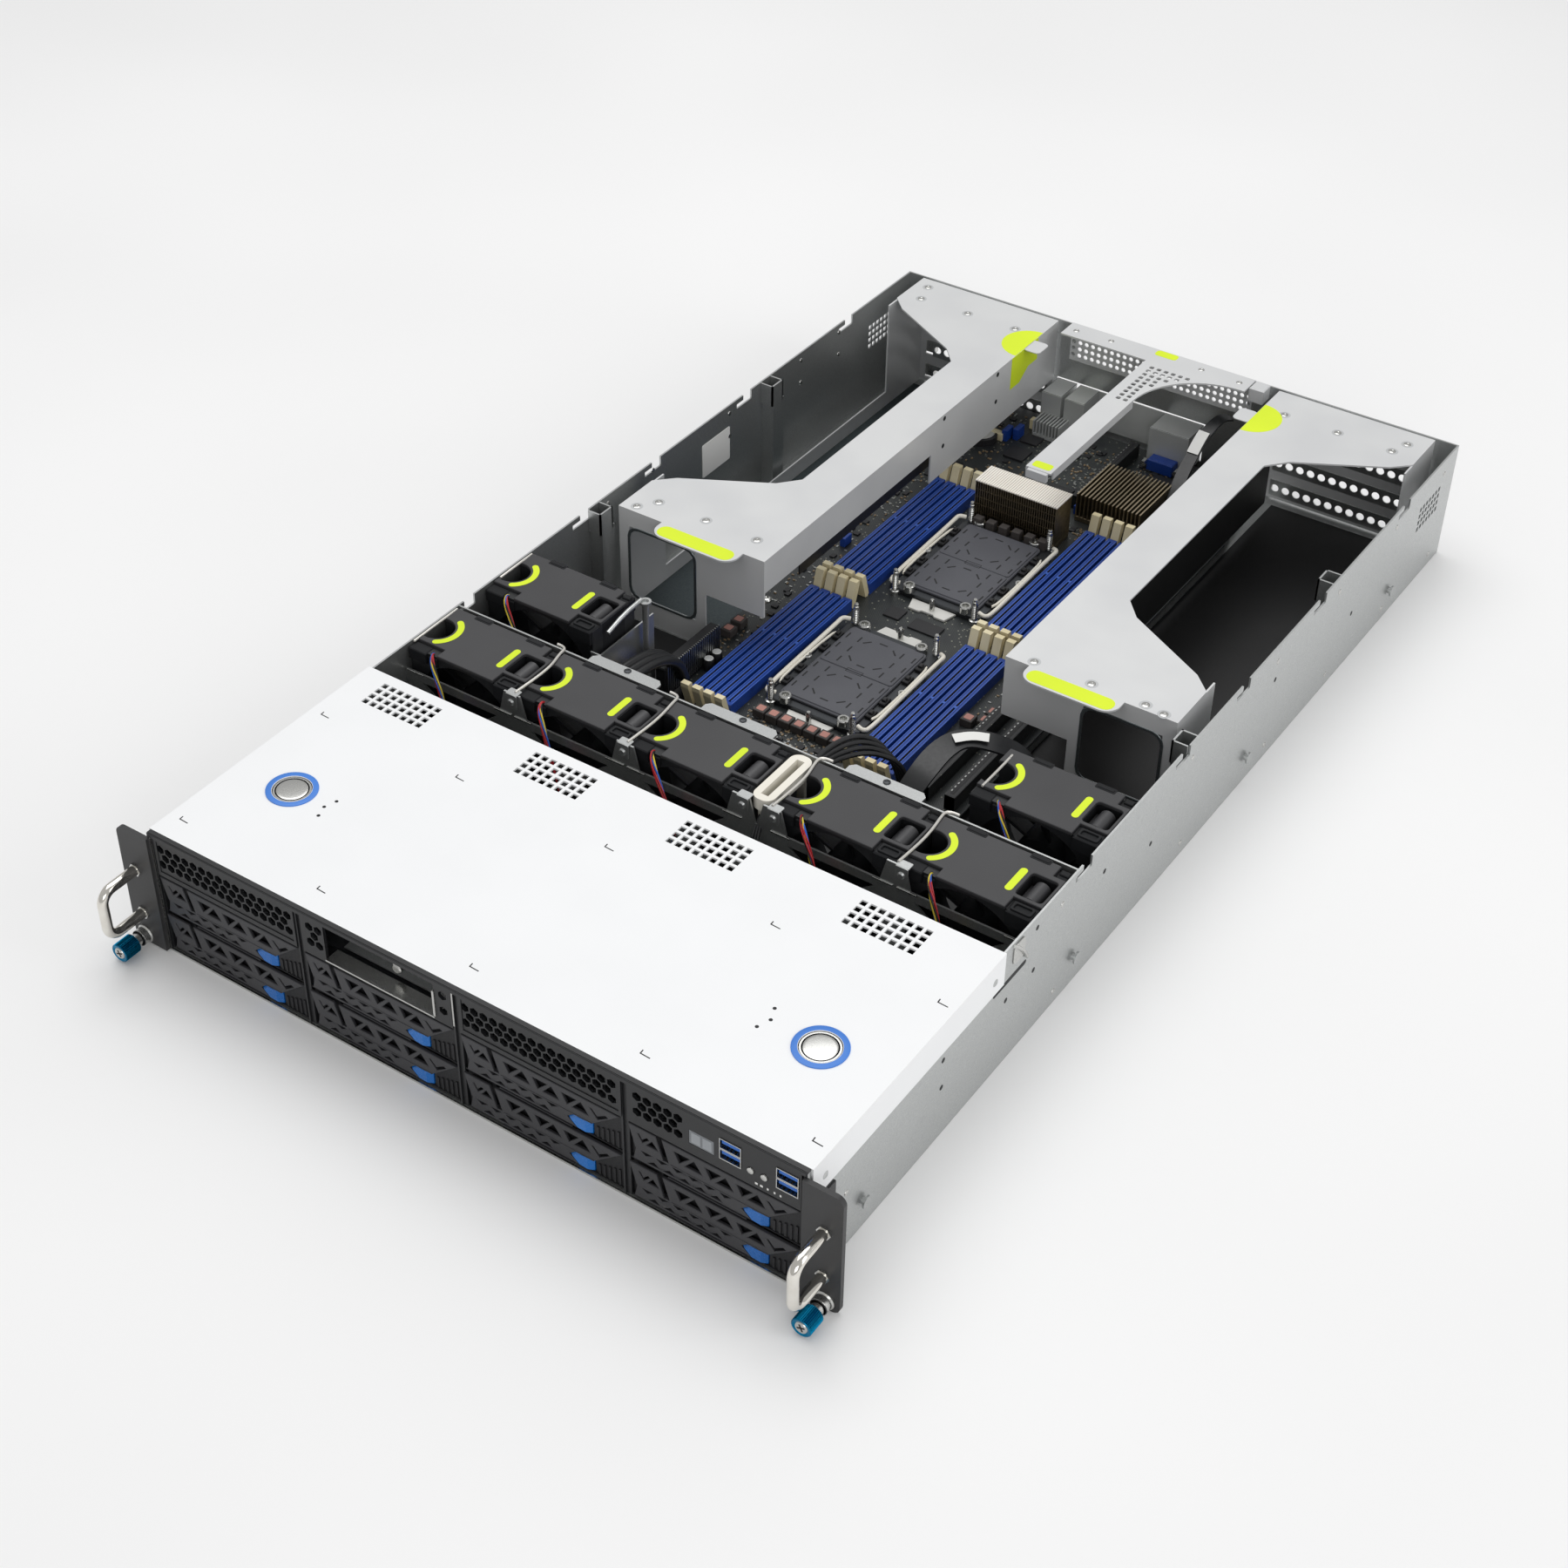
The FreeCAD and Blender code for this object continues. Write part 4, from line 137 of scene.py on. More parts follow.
def boardFinish(name, mask, shade, pad):
    # a dark solder mask: traces 0.4 mm apart in patches, and bare pads about 1 mm wide
    material, tree, where = openFinish(name)
    flat = addNode(tree, "ShaderNodeMapping", links={"Vector": where, "Scale": (1, 1, 0)}).outputs[0]
    patches = grains(tree, flat, 14, detail=2)
    bands = addNode(tree, "ShaderNodeTexWave", {"bands_direction": "DIAGONAL"}, {
        "Vector": flat, "Scale": 400, "Distortion": 1.5, "Detail": 1}).outputs["Fac"]
    pads = addNode(tree, "ShaderNodeTexVoronoi", {"distance": "CHEBYCHEV"}, {
        "Vector": flat, "Scale": 420, "Randomness": 0.6})
    bare = addNode(tree, "ShaderNodeSeparateColor", links={0: pads.outputs["Color"]}).outputs[0]
    lined = addNode(tree, "ShaderNodeMath", {"operation": "MULTIPLY"}, {0: patches, 1: bands}).outputs[0]
    small = addNode(tree, "ShaderNodeMath", {"operation": "LESS_THAN"}, {0: pads.outputs["Distance"], 1: 0.2})
    chosen = addNode(tree, "ShaderNodeMath", {"operation": "GREATER_THAN"}, {0: bare, 1: 0.62})
    spot = addNode(tree, "ShaderNodeMath", {"operation": "MULTIPLY"}, {
        0: small.outputs[0], 1: chosen.outputs[0]}).outputs[0]
    ground = between(tree, lined, 0.2, 0.45, linear(mask), shade)
    return closeFinish(material, tree, between(tree, spot, 0, 1, ground, pad),
                       {"Specular IOR Level": 0.5, "Roughness": 0.4}, lined, 0.02)


finishes = {
    # polyester powder coat on steel: matt and even, with a soft orange peel about 1 mm wide
    "lidWhite": coated("powderCoatWhite", "#F1F2F3", "#EFF0F1", 0.42, 1.4, 0.008),
    "earBlack": coated("powderCoatBlackTextured", "#2B2B2C", "#333334", 0.5, 0.5, 0.05),
    "panelBlack": coated("powderCoatBlackFine", "#17181A", "#1D1E20", 0.42, 0.5, 0.02),
    # zinc-nickel plated sheet: pale and silky, with no crystals
    "coverGrey": coated("zincNickelSheet", "#DADBDB", "#D2D3D4", 0.4, 1.2, 0.01, 0.25),
    # the darker copy is painted shade in the dimples round the cage screws
    "coverShade": coated("zincNickelSheetPaintedShade", "#C4C6C7", "#BCBEBF", 0.4, 1.2, 0.01, 0.25),
    # hot-dip galvanised sheet: crystals 9 to 12 mm wide; the two darker copies are painted shade, on the ribs
    # of the cage walls and on the floor of the left cage
    "galvanised": spangled("galvanisedSheet", "#C4C6C5", "#B6B8B8", 0.36),
    "cageShadeSteel": spangled("galvanisedSheetCagePaintedShade", "#8F9698", "#7F878A", 0.34, 12),
    "shadeSteel": spangled("galvanisedSheetPaintedShade", "#4C5557", "#434B4E", 0.38, 12, 0.6),
    # plated, turned and drawn steel: a bright gloss on chrome, fine turning marks on the rest
    "chrome": drawnMetal("chromedSteel", "#E9E6DF", "#DEDAD2", 0.1, (1, 1, 1), 8, 0.001),
    "steel": drawnMetal("turnedStainlessSteel", "#CFCFCC", "#BEBEBB", 0.25, (4, 4, 4), 1.5, 0.003),
    "darkSteel": drawnMetal("phosphatedSteel", "#55575A", "#47494B", 0.45, (4, 4, 4), 1.5, 0.003),
    "satinPlate": coated("satinNickelPlate", "#E4E3DE", "#D8D7D2", 0.35, 1.0, 0.005, 0.4),
    "wireSteel": coated("bentSpringWire", "#D9D6D0", "#CCC9C3", 0.3, 1.0, 0.002, 0.4),
    "tinned": drawnMetal("tinnedTerminal", "#B9BAB8", "#A6A8A6", 0.35, (1, 1, 1), 1, 0.002),
    "gold": drawnMetal("goldPlatedContacts", "#D8B45C", "#C7A24C", 0.25, (1, 1, 1), 1, 0.002),
    # aluminium: streaks along the sawn fins, a satin skin where it is cast or anodised; on the heatsinks the
    # pale fin tops are painted light and the bronze fins and bases are painted shade, lit and shaded copies
    # of one metal
    "teal": drawnMetal("anodisedAluminiumTeal", "#0E7FA8", "#0A6F97", 0.3, (1, 1, 1), 2, 0.004),
    "finBronze": drawnMetal("aluminiumHeatsinkPaintedShade", "#9C8F76", "#867A64", 0.42, (8, 1, 1), 3, 0.004),
    "finEdgeHighlight": drawnMetal("aluminiumFinEdgePaintedLight", "#C2B49A", "#B0A288", 0.4, (8, 1, 1), 3, 0.004),
    "finTopHighlight": coated("aluminiumFinTopPaintedLight", "#FAF5EC", "#F1EBE0", 0.45, 0.8, 0.006, 0.1),
    "silverFin": coated("castAluminiumSatin", "#C9CBCA", "#BBBDBC", 0.38, 1.0, 0.006, 0.35),
    "drive": drawnMetal("castAluminiumDrive", "#9EA1A3", "#8E9193", 0.4, (1, 1, 1), 4, 0.01),
    "canTop": coated("capacitorCanTop", "#E6E7E6", "#DADBDA", 0.3, 1.0, 0.004, 0.3),
    # moulded nylon and polyester with glass: a spark-eroded texture about 0.5 mm wide
    "trayBlack": coated("mouldedNylonBlack", "#2E2E31", "#343437", 0.45, 0.6, 0.03),
    # the near-black copy of the tray plastic is painted shade in slits, holes, grooves, port mouths and
    # recesses; it also makes the dashes on the socket covers and the status dots on the lid
    "trayInner": coated("mouldedNylonShadow", "#121214", "#17171A", 0.6, 0.9, 0.06),
    "fanBlack": coated("glassFilledPbtBlack", "#1E1F21", "#242527", 0.42, 0.7, 0.02),
    "fanCover": coated("glassFilledPbtGrey", "#343436", "#3A3A3C", 0.45, 0.7, 0.03),
    "fanGrip": coated("glassFilledPbtPaler", "#3C3C3E", "#444446", 0.4, 0.7, 0.02),
    "rotorBlack": coated("fanBladePbt", "#17181A", "#1C1D20", 0.6, 1.0, 0.01, 0.0, 0.25),
    "capGrey": coated("mouldedPolycarbonateGrey", "#54555B", "#4C4D53", 0.45, 0.8, 0.02),
    "socketBlack": coated("connectorLcpBlack", "#161618", "#1C1C1E", 0.4, 0.8, 0.01),
    "cream": coated("mouldedNylonCream", "#EADFBC", "#E0D2A8", 0.42, 1.0, 0.01),
    "guideCream": coated("mouldedNylonPale", "#F1EDE2", "#E8E3D6", 0.4, 1.0, 0.01),
    # polished plastic: a clear gloss; the paler blue on the top ribs of the memory slots is a painted
    # highlight
    "releaseBlue": coated("glossAbsBlue", "#1170C4", "#0C62B2", 0.26, 2.0, 0.004),
    "portBlue": coated("portTongueBlue", "#1668C6", "#1460B8", 0.35, 0.8, 0.005),
    "dimmBlue": coated("glossNylonBlue", "#1C4296", "#173A88", 0.32, 1.2, 0.006),
    "dimmHighlight": coated("nylonBluePaintedHighlight", "#3F68C4", "#355CB4", 0.35, 1.2, 0.004),
    "displayGlass": coated("displayGlass", "#6E7276", "#787C80", 0.12, 3.0, 0.001),
    "displaySegment": coated("displaySegment", "#8E9296", "#989CA0", 0.2, 3.0, 0.001),
    # touch paint, print and bare paper tags: dull and nearly flat
    "lime": coated("limeTouchPaint", "#DDF21C", "#D4EA18", 0.5, 0.8, 0.01),
    "ringBlue": coated("printedRingBlue", "#3F80D8", "#3A79D0", 0.4, 1.0, 0.005),
    "white": coated("whiteTag", "#E9E9E6", "#E2E2DF", 0.55, 1.0, 0.01),
    # board and parts: solder mask, epoxy, pressed iron powder, ferrite and fired ceramic
    "boardMask": boardFinish("solderMaskWithTraces", "#24272A", "#363A38", "#85867A"),
    "solderMask": coated("solderMaskBlack", "#1E211F", "#262A27", 0.38, 1.5, 0.02),
    "epoxy": coated("chipEpoxyBlack", "#1B1B1D", "#222225", 0.5, 0.4, 0.02),
    "chokeGrey": coated("pressedIronPowder", "#46413F", "#3C3836", 0.6, 0.4, 0.03),
    "copper": coated("ferritePink", "#B98378", "#A8746A", 0.5, 0.8, 0.02),
    "ceramicTan": coated("ceramicCapacitor", "#8F7A5E", "#7C6A52", 0.5, 0.5, 0.005),
    # soft PVC and polyester film: an even low sheen
    # the black film laid on the floors is painted shade; the same finish makes the card panels
    "filmBlack": coated("blackShadeFilmAndPanel", "#0F0F10", "#141415", 0.5, 0.8, 0.01),
    "wireBlack": coated("pvcBlack", "#17181A", "#1D1E20", 0.35, 2.0, 0.01),
    "wireRed": coated("pvcRed", "#B3242A", "#A52026", 0.4, 2.0, 0.005),
    "wireBlue": coated("pvcBlue", "#2C5FC0", "#2857B0", 0.4, 2.0, 0.005),
    "wireYellow": coated("pvcYellow", "#D8C23C", "#CBB534", 0.4, 2.0, 0.005),
}

axisOrder = {"top": (0, 1, 2), "front": (0, 2, 1), "side": (1, 2, 0)}
axisPlane = {"z": "top", "y": "front", "x": "side"}


def placed(plane, u, v, w):
    point = [0, 0, 0]
    for axis, value in zip(axisOrder[plane], (u, v, w)):
        point[axis] = value
    return point


def turning(corners):
    return sum(a[0] * b[1] - b[0] * a[1] for a, b in zip(corners, corners[1:] + corners[:1])) > 0


def moved(corners, x, z):
    return [(u + x, v + z) for u, v in corners]


def spun(corners, angle, x, y):
    c, s = math.cos(angle), math.sin(angle)
    return [(x + c * u - s * v, y + s * u + c * v) for u, v in corners]


def arcPoints(x, y, radius, start, end, steps):
    angles = [math.radians(start + (end - start) * i / steps) for i in range(steps + 1)]
    return [(x + radius * math.cos(a), y + radius * math.sin(a)) for a in angles]


def disc(x, y, radius, count=16):
    angles = [math.tau * i / count for i in range(count)]
    return [(x + radius * math.cos(a), y + radius * math.sin(a)) for a in angles]


def boxed(left, low, right, high, radius=0, steps=3):
    # a rectangle, with round corners if a radius is given
    left, right = sorted((left, right))
    if not radius:
        return [(left, low), (right, low), (right, high), (left, high)]
    corners = ((right - radius, low + radius, -90), (right - radius, high - radius, 0),
               (left + radius, high - radius, 90), (left + radius, low + radius, 180))
    return [point for x, y, start in corners for point in arcPoints(x, y, radius, start, start + 90, steps)]


def around(x, y, halfX, halfY, radius=0, steps=3):
    return moved(boxed(-halfX, -halfY, halfX, halfY, radius, steps), x, y)


def inset(corners, amount):
    # moves every side inwards by the amount, for corners that run with the solid on their left
    inner = []
    for i, here in enumerate(corners):
        before, after = Vector(corners[i - 1]), Vector(corners[(i + 1) % len(corners)])
        first, second = (Vector(here) - before).normalized(), (after - Vector(here)).normalized()
        normals = Vector((-first.y, first.x)), Vector((-second.y, second.x))
        middle = (normals[0] + normals[1]) / (1 + normals[0].dot(normals[1]) + 1e-6)
        inner.append((here[0] + middle.x * amount, here[1] + middle.y * amount))
    return inner


def addFace(mesh, verts, finish=0, mirrored=False, outward=None):
    try:
        face = mesh.faces.new(verts[::-1] if mirrored else verts)
    except ValueError:      # the same corners already carry a face
        return
    face.material_index = finish
    if outward is not None:
        face.normal_update()
        if face.normal.dot(Vector(outward)) < 0:
            face.normal_flip()


def joinRings(mesh, rings, finish=0, mirrored=False):
    # a skin over rings of points; a ring of one point closes to a tip
    count = max(len(ring) for ring in rings)
    for lower, upper in zip(rings, rings[1:]):
        for i in range(count):
            j = (i + 1) % count
            if len(lower) == 1:
                corners = (lower[0], upper[j], upper[i])
            elif len(upper) == 1:
                corners = (lower[i], lower[j], upper[0])
            else:
                corners = (lower[i], lower[j], upper[j], upper[i])
            addFace(mesh, corners, finish, mirrored)


def plate(mesh, plane, corners, low, high, finish=0, holes=(), ease=0):
    # a flat outline with holes, from one level to the next, with eased rims
    low, high = sorted((low, high))
    loops = [list(corners) if turning(list(corners)) else list(corners)[::-1]]
    loops += [list(hole)[::-1] if turning(list(hole)) else list(hole) for hole in holes]
    levels = [(low, ease), (low + ease, 0), (high - ease, 0), (high, ease)] if ease else [(low, 0), (high, 0)]
    rows = [[[mesh.verts.new(placed(plane, u, v, level)) for u, v in inset(loop, amount)]
             for level, amount in levels] for loop in loops]
    for ring in rows:
        joinRings(mesh, ring, finish, plane == "front")
    for level, outward in ((0, -1), (-1, 1)):
        flat = [vert for ring in rows for vert in ring[level]]
        spread = [[Vector((*point, 0)) for point in inset(loop, levels[level][1])] for loop in loops]
        for triangle in tessellate_polygon(spread):
            addFace(mesh, [flat[i] for i in triangle], finish, False, placed(plane, 0, 0, outward))


def block(mesh, low, high, finish=0, ease=0):
    (x0, x1), (y0, y1), (z0, z1) = (sorted(pair) for pair in zip(low, high))
    plate(mesh, "top", [(x0, y0), (x1, y0), (x1, y1), (x0, y1)], z0, z1, finish, (), ease)


def turned(mesh, axis, centre, profile, finish=0, count=24):
    # a solid of revolution: the profile gives (radius, height) along the axis, from end to end
    plane = axisPlane[axis]
    u0, v0, w0 = (centre[i] for i in axisOrder[plane])
    rings = []
    for radius, height in profile:
        spots = disc(u0, v0, radius, count) if radius >= 1e-6 else [(u0, v0)]
        rings.append([mesh.verts.new(placed(plane, u, v, w0 + height)) for u, v in spots])
    mirrored = (plane == "front") != (profile[0][1] > profile[-1][1])
    joinRings(mesh, rings, finish, mirrored)
    for ring in (rings[0][::-1], rings[-1]):
        if len(ring) > 1:
            addFace(mesh, ring, finish, mirrored)


def rounded(points, times):
    # each pass cuts the corners a quarter of the way along their runs
    path = [Vector(point) for point in points]
    for _ in range(times):
        finer = [path[0]]
        for a, b in zip(path, path[1:]):
            finer += [a * 0.75 + b * 0.25, a * 0.25 + b * 0.75]
        path = finer + [path[-1]]
    return path


def tube(mesh, points, radius, finish=0, count=8, smoothing=0):
    # a round bar or wire along the points
    path = rounded(points, smoothing)
    ahead = (path[1] - path[0]).normalized()
    across = ahead.orthogonal().normalized()
    rings = []
    for i, point in enumerate(path):
        heading = ahead
        if i + 1 < len(path):
            after = (path[i + 1] - point).normalized()
            heading = (ahead + after).normalized()
            ahead = after
        across = (across - heading * across.dot(heading)).normalized()
        upward = heading.cross(across)
        turns = [math.tau * k / count for k in range(count)]
        rings.append([mesh.verts.new(point + (across * math.cos(a) + upward * math.sin(a)) * radius)
                      for a in turns])
    joinRings(mesh, rings, finish)
    addFace(mesh, rings[0][::-1], finish)
    addFace(mesh, rings[-1], finish)


def softened(mesh, angle=32):
    # smooth shading, with an edge kept sharp where it bends by more than the angle
    mesh.normal_update()
    for face in mesh.faces:
        face.smooth = True
    limit = math.radians(angle)
    for edge in mesh.edges:
        edge.smooth = len(edge.link_faces) == 2 and edge.calc_face_angle(0) < limit


def addObject(name, data):
    added = bpy.data.objects.new(name, data)
    bpy.context.scene.collection.objects.link(added)
    return added


def toMesh(name, shape):
    data = bpy.data.meshes.new(name)
    shape.to_mesh(data)
    shape.free()
    return data


def dressed(name, data, materials, body, replaced):
    # the piece takes the named materials in order, rides on its body and hides the node that it replaces
    for key in materials.split():
        data.materials.append(finishes[key])
    piece = addObject(name, data)
    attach(piece, body)
    if replaced:
        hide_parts(replaced)


def finishPiece(name, mesh, materials, body="chassis", replaced=None, angle=32, at=(0, 0, 0)):
    softened(mesh, angle)
    place = Vector((at[0], at[1] + frontFace, at[2]))
    for vert in mesh.verts:
        vert.co = (vert.co + place) / perMetre
    dressed(name, toMesh(name, mesh), materials, body, replaced)


def repeatTree():
    # one tree for everything that repeats: it puts a shape on every point, turned as the point says
    tree = bpy.data.node_groups.new("shapeOnPoints", "GeometryNodeTree")
    for name, kind in (("Geometry", "Geometry"), ("Shape", "Object"), ("Size", "Float"),
                       ("Finish", "Material")):
        tree.interface.new_socket(name, in_out="INPUT", socket_type="NodeSocket" + kind)
    tree.interface.new_socket("Geometry", in_out="OUTPUT", socket_type="NodeSocketGeometry")
    given = addNode(tree, "NodeGroupInput").outputs
    shape = addNode(tree, "GeometryNodeObjectInfo", links={"Object": given["Shape"], "As Instance": True})
    turn = addNode(tree, "GeometryNodeInputNamedAttribute", {"data_type": "FLOAT_VECTOR"}, {"Name": "turn"})
    spread = addNode(tree, "GeometryNodeInstanceOnPoints", links={
        "Points": given["Geometry"], "Instance": shape.outputs["Geometry"], "Rotation": turn.outputs[0],
        "Scale": given["Size"]})
    real = addNode(tree, "GeometryNodeRealizeInstances", links={0: spread.outputs[0]})
    done = addNode(tree, "GeometryNodeSetMaterial", links={
        "Geometry": real.outputs[0], "Material": given["Finish"]})
    addNode(tree, "NodeGroupOutput", links={0: done.outputs[0]})
    return tree


shapeOnPoints = repeatTree()


def repeated(name, shape, places, finish, body="chassis", replaced=None, size=1.0):
    # places are (x, y, z) or (x, y, z, turn about x, about y, about z in degrees)
    softened(shape)
    for vert in shape.verts:
        vert.co = vert.co / perMetre
    pattern = addObject(name + "Shape", toMesh(name + "Shape", shape))
    pattern.data.materials.append(finishes[finish])
    full = [(*place, 0, 0, 0)[:6] for place in places]
    points = bpy.data.meshes.new(name)
    spots = [(x / perMetre, (y + frontFace) / perMetre, z / perMetre) for x, y, z, *_ in full]
    points.from_pydata(spots, [], [])
    turns = [math.radians(angle) for place in full for angle in place[3:]]
    points.attributes.new("turn", "FLOAT_VECTOR", "POINT").data.foreach_set("vector", turns)
    holder = addObject(name + "Points", points)
    modifier = holder.modifiers.new("repeat", "NODES")
    modifier.node_group = shapeOnPoints
    sockets = {item.name: item.identifier for item in shapeOnPoints.interface.items_tree
               if item.in_out == "INPUT"}
    for socket, value in (("Shape", pattern), ("Size", size), ("Finish", finishes[finish])):
        modifier[sockets[socket]] = value
    made = bpy.data.meshes.new_from_object(holder.evaluated_get(bpy.context.evaluated_depsgraph_get()))
    made.materials.clear()
    bpy.data.objects.remove(holder)
    bpy.data.objects.remove(pattern)
    dressed(name, made, finish, body, replaced)


# camera, floor, white surroundings and lamps, in metres and watts
studio = {"lens": 57.53, "sensor": 36.0, "shift": (0.0321, -0.0080), "eye": (0.6499, -1.0643, 0.9824),
          "azimuth": 34.849, "elevation": 38.926, "floor": ("#F4F4F4", "#F0F0F0"),
          "backdrop": 1.0, "world": 0.5,
          "lamps": {"keyLight": ((-0.6, 0.5, 2.6), (0, 0, 0), (2.6, 2.2), 40.0),
                    "fillLight": ((1.6, -2.2, 1.3), (0, -0.2, 0), (1.6, 1.2), 14.0),
                    "sideLight": ((2.6, 0.4, 1.2), (0, 0, 0), (1.2, 2.0), 16.0)}}


def aim(holder, place, heading):
    holder.location = place
    holder.rotation_mode = "QUATERNION"
    holder.rotation_quaternion = heading.to_track_quat("-Z", "Y")


def makeStudio():
    s = studio
    scene = bpy.context.scene
    scene.view_settings.view_transform = "Standard"
    camera = bpy.data.cameras.new("camera")
    camera.lens, camera.sensor_width = s["lens"], s["sensor"]
    camera.shift_x, camera.shift_y = s["shift"]
    camera.clip_start, camera.clip_end = 0.05, 50
    azimuth, elevation = math.radians(s["azimuth"]), math.radians(s["elevation"])
    back = Vector((math.sin(azimuth) * math.cos(elevation), -math.cos(azimuth) * math.cos(elevation),
                   math.sin(elevation)))
    scene.camera = addObject("camera", camera)
    aim(scene.camera, s["eye"], -back)

    floorMesh = bmesh.new()
    bmesh.ops.create_grid(floorMesh, x_segments=1, y_segments=1, size=6)
    floor = addObject("floor", toMesh("floor", floorMesh))
    floor.location = (0, 0, -0.0002)
    material, tree, where = openFinish("studioFloor")
    tint = between(tree, grains(tree, where, 400, detail=1), 0.3, 0.7, linear(s["floor"][0]), s["floor"][1])
    floor.data.materials.append(
        closeFinish(material, tree, tint, {"Roughness": 0.6, "Specular IOR Level": 0.2}))

    scene.world = bpy.data.worlds.new("studio")
    scene.world.use_nodes = True
    tree = scene.world.node_tree
    tree.nodes.clear()
    rays = addNode(tree, "ShaderNodeLightPath").outputs
    seen = addNode(tree, "ShaderNodeMath", {"operation": "MAXIMUM"}, {
        0: rays["Is Camera Ray"], 1: rays["Is Transmission Ray"]})
    strength = addNode(tree, "ShaderNodeMapRange", links={
        "Value": seen.outputs[0], "To Min": s["world"], "To Max": s["backdrop"]})
    sky = addNode(tree, "ShaderNodeBackground", links={
        "Color": (1, 1, 1, 1), "Strength": strength.outputs[0]})
    addNode(tree, "ShaderNodeOutputWorld", links={"Surface": sky.outputs[0]})

    for name, (place, target, size, power) in s["lamps"].items():
        light = bpy.data.lights.new(name, "AREA")
        light.shape = "RECTANGLE"
        light.size, light.size_y, light.energy = *size, power
        aim(addObject(name, light), place, Vector(target) - Vector(place))
    print("studio ready")


# the nodes of the solids that keep their shape
nodeFinishes = {
    "chassis_tray": "galvanised", "fan_cage": "galvanised", "front_lid": "lidWhite",
    "bay_frame": "panelBlack", "front_panels": "panelBlack", "rack_ears": "earBlack",
    "drive_backplane": "solderMask", "motherboard": "boardMask", "dimm_slots": "dimmBlue",
    "cable_guide": "guideCream",
    **{f"gpu_cage_{label}": "coverGrey" for label, _ in sides},
    **{f"fan_rotor_{i}": "rotorBlack" for i in range(1, 8)},
    **{f"dimm_latches_{end}_{half}": "cream" for end in ("front", "rear") for half in ("a", "b")}}


def dressNodes():
    for node, finish in nodeFinishes.items():
        nodes[node].data.materials.clear()
        nodes[node].data.materials.append(finishes[finish])
    print("solids dressed")


# front lid: rims round the push catches, status dots, slits and rivets
lid = {"top": 87.5, "ringX": 178, "ringY": 73, "ringOut": 15.0, "ringIn": 11.5, "rise": 0.7, "dot": 1.1,
       "dots": ((-153, 72), (-150.5, 79.5), (-150.5, 64.5), (146.5, 75), (143.5, 83), (143.5, 67)),
       "slitsX": (-212, -110, -4, 106, 209), "slitsY": (18, 134), "rivetsY": (14, 176)}


def makeLid():
    # the blue ring lies in the pressed rim; three status dots stand beside each ring
    top, out, bore, rise = lid["top"], lid["ringOut"], lid["ringIn"], lid["rise"]
    ring, dots, dimple = bmesh.new(), bmesh.new(), bmesh.new()
    for _, side in sides:
        turned(ring, "z", (side * lid["ringX"], lid["ringY"], top), [
            (out + 0.1, -0.05), (out + 0.1, rise - 0.1), (out - 0.1, rise), (bore + 0.3, rise),
            (bore + 0.1, rise - 0.2), (bore + 0.1, -0.05)], 0, 64)
    finishPiece("lid_rings", ring, "ringBlue")
    for x, y in lid["dots"]:
        turned(dots, "z", (x, y, top), [(lid["dot"], -0.02), (lid["dot"], 0.04), (0, 0.04)], 0, 16)
    # slits in an L, where a tongue of the lid is folded down to meet the frame
    slit = [(0, 0), (6.5, -0.3), (6.5, 0.4), (0.7, 0.7), (0.5, 3), (-0.2, 3)]
    for x in lid["slitsX"]:
        for y in lid["slitsY"]:
            plate(dots, "top", moved(slit, x, y), top - 0.05, top + 0.03)
    # the slits are near-black plates, painted shade in the openings; the status dots share that finish
    finishPiece("lid_slits", dots, "trayInner")
    turned(dimple, "x", (0, 0, 0), [(2.4, 0.0), (1.5, 0.45), (0, 0.5)], 0, 16)
    repeated("lid_rivets", dimple, [(side * 220, y, 74, 0, 0, 90 - 90 * side) for _, side in sides
                                    for y in lid["rivetsY"]], "galvanised")

    # push catches: a dished cap on a bar that runs under the lid
    for label, side in sides:
        x, y, z = side * lid["ringX"], lid["ringY"], top + 0.6
        cap = bmesh.new()
        turned(cap, "z", (x, y, z), [
            (0, -6.9), (11.2, -6.9), (11.2, -0.7), (10.9, -0.4), (9.9, -0.4), (9.7, -1.1), (9.3, -1.1),
            (9.1, -0.45), (8.6, -0.3), (7.6, -0.2), (4, -0.1), (0, 0)], 0, 48)
        block(cap, (x - 13.3, y - 3.9, z - 6.8), (x + 13.3, y + 3.9, z - 2.3), 0, 0.3)
        # the groove round the dish is painted near-black, as painted shade in the groove
        for face in cap.faces:
            middle = face.calc_center_median()
            if math.hypot(middle.x - x, middle.y - y) < 10 and -1.2 < middle.z - z < -0.7:
                face.material_index = 1      # the groove round the dish is dark
        finishPiece(f"cap_of_lid_button_{label}", cap, "steel trayInner", f"lid_button_{label}",
                    f"lid_button_{label}")
    print("lid ready")


# right end of the front: two stacked ports, two keys, the status display and its ticks
control = {"ports": (167.5, 201.0), "portLow": 66.0, "portWide": 13.0, "portHigh": 14.5, "keyZ": 68.4,
           "keys": (("power_button", 186.0), ("locate_button", 194.0)), "display": (149.0, 65.0, 15.0, 9.5),
           "ticks": ((188.5, 1.6), (191.5, 1.6), (195.5, 1.0), (199.5, 1.0), (203.0, 1.0))}


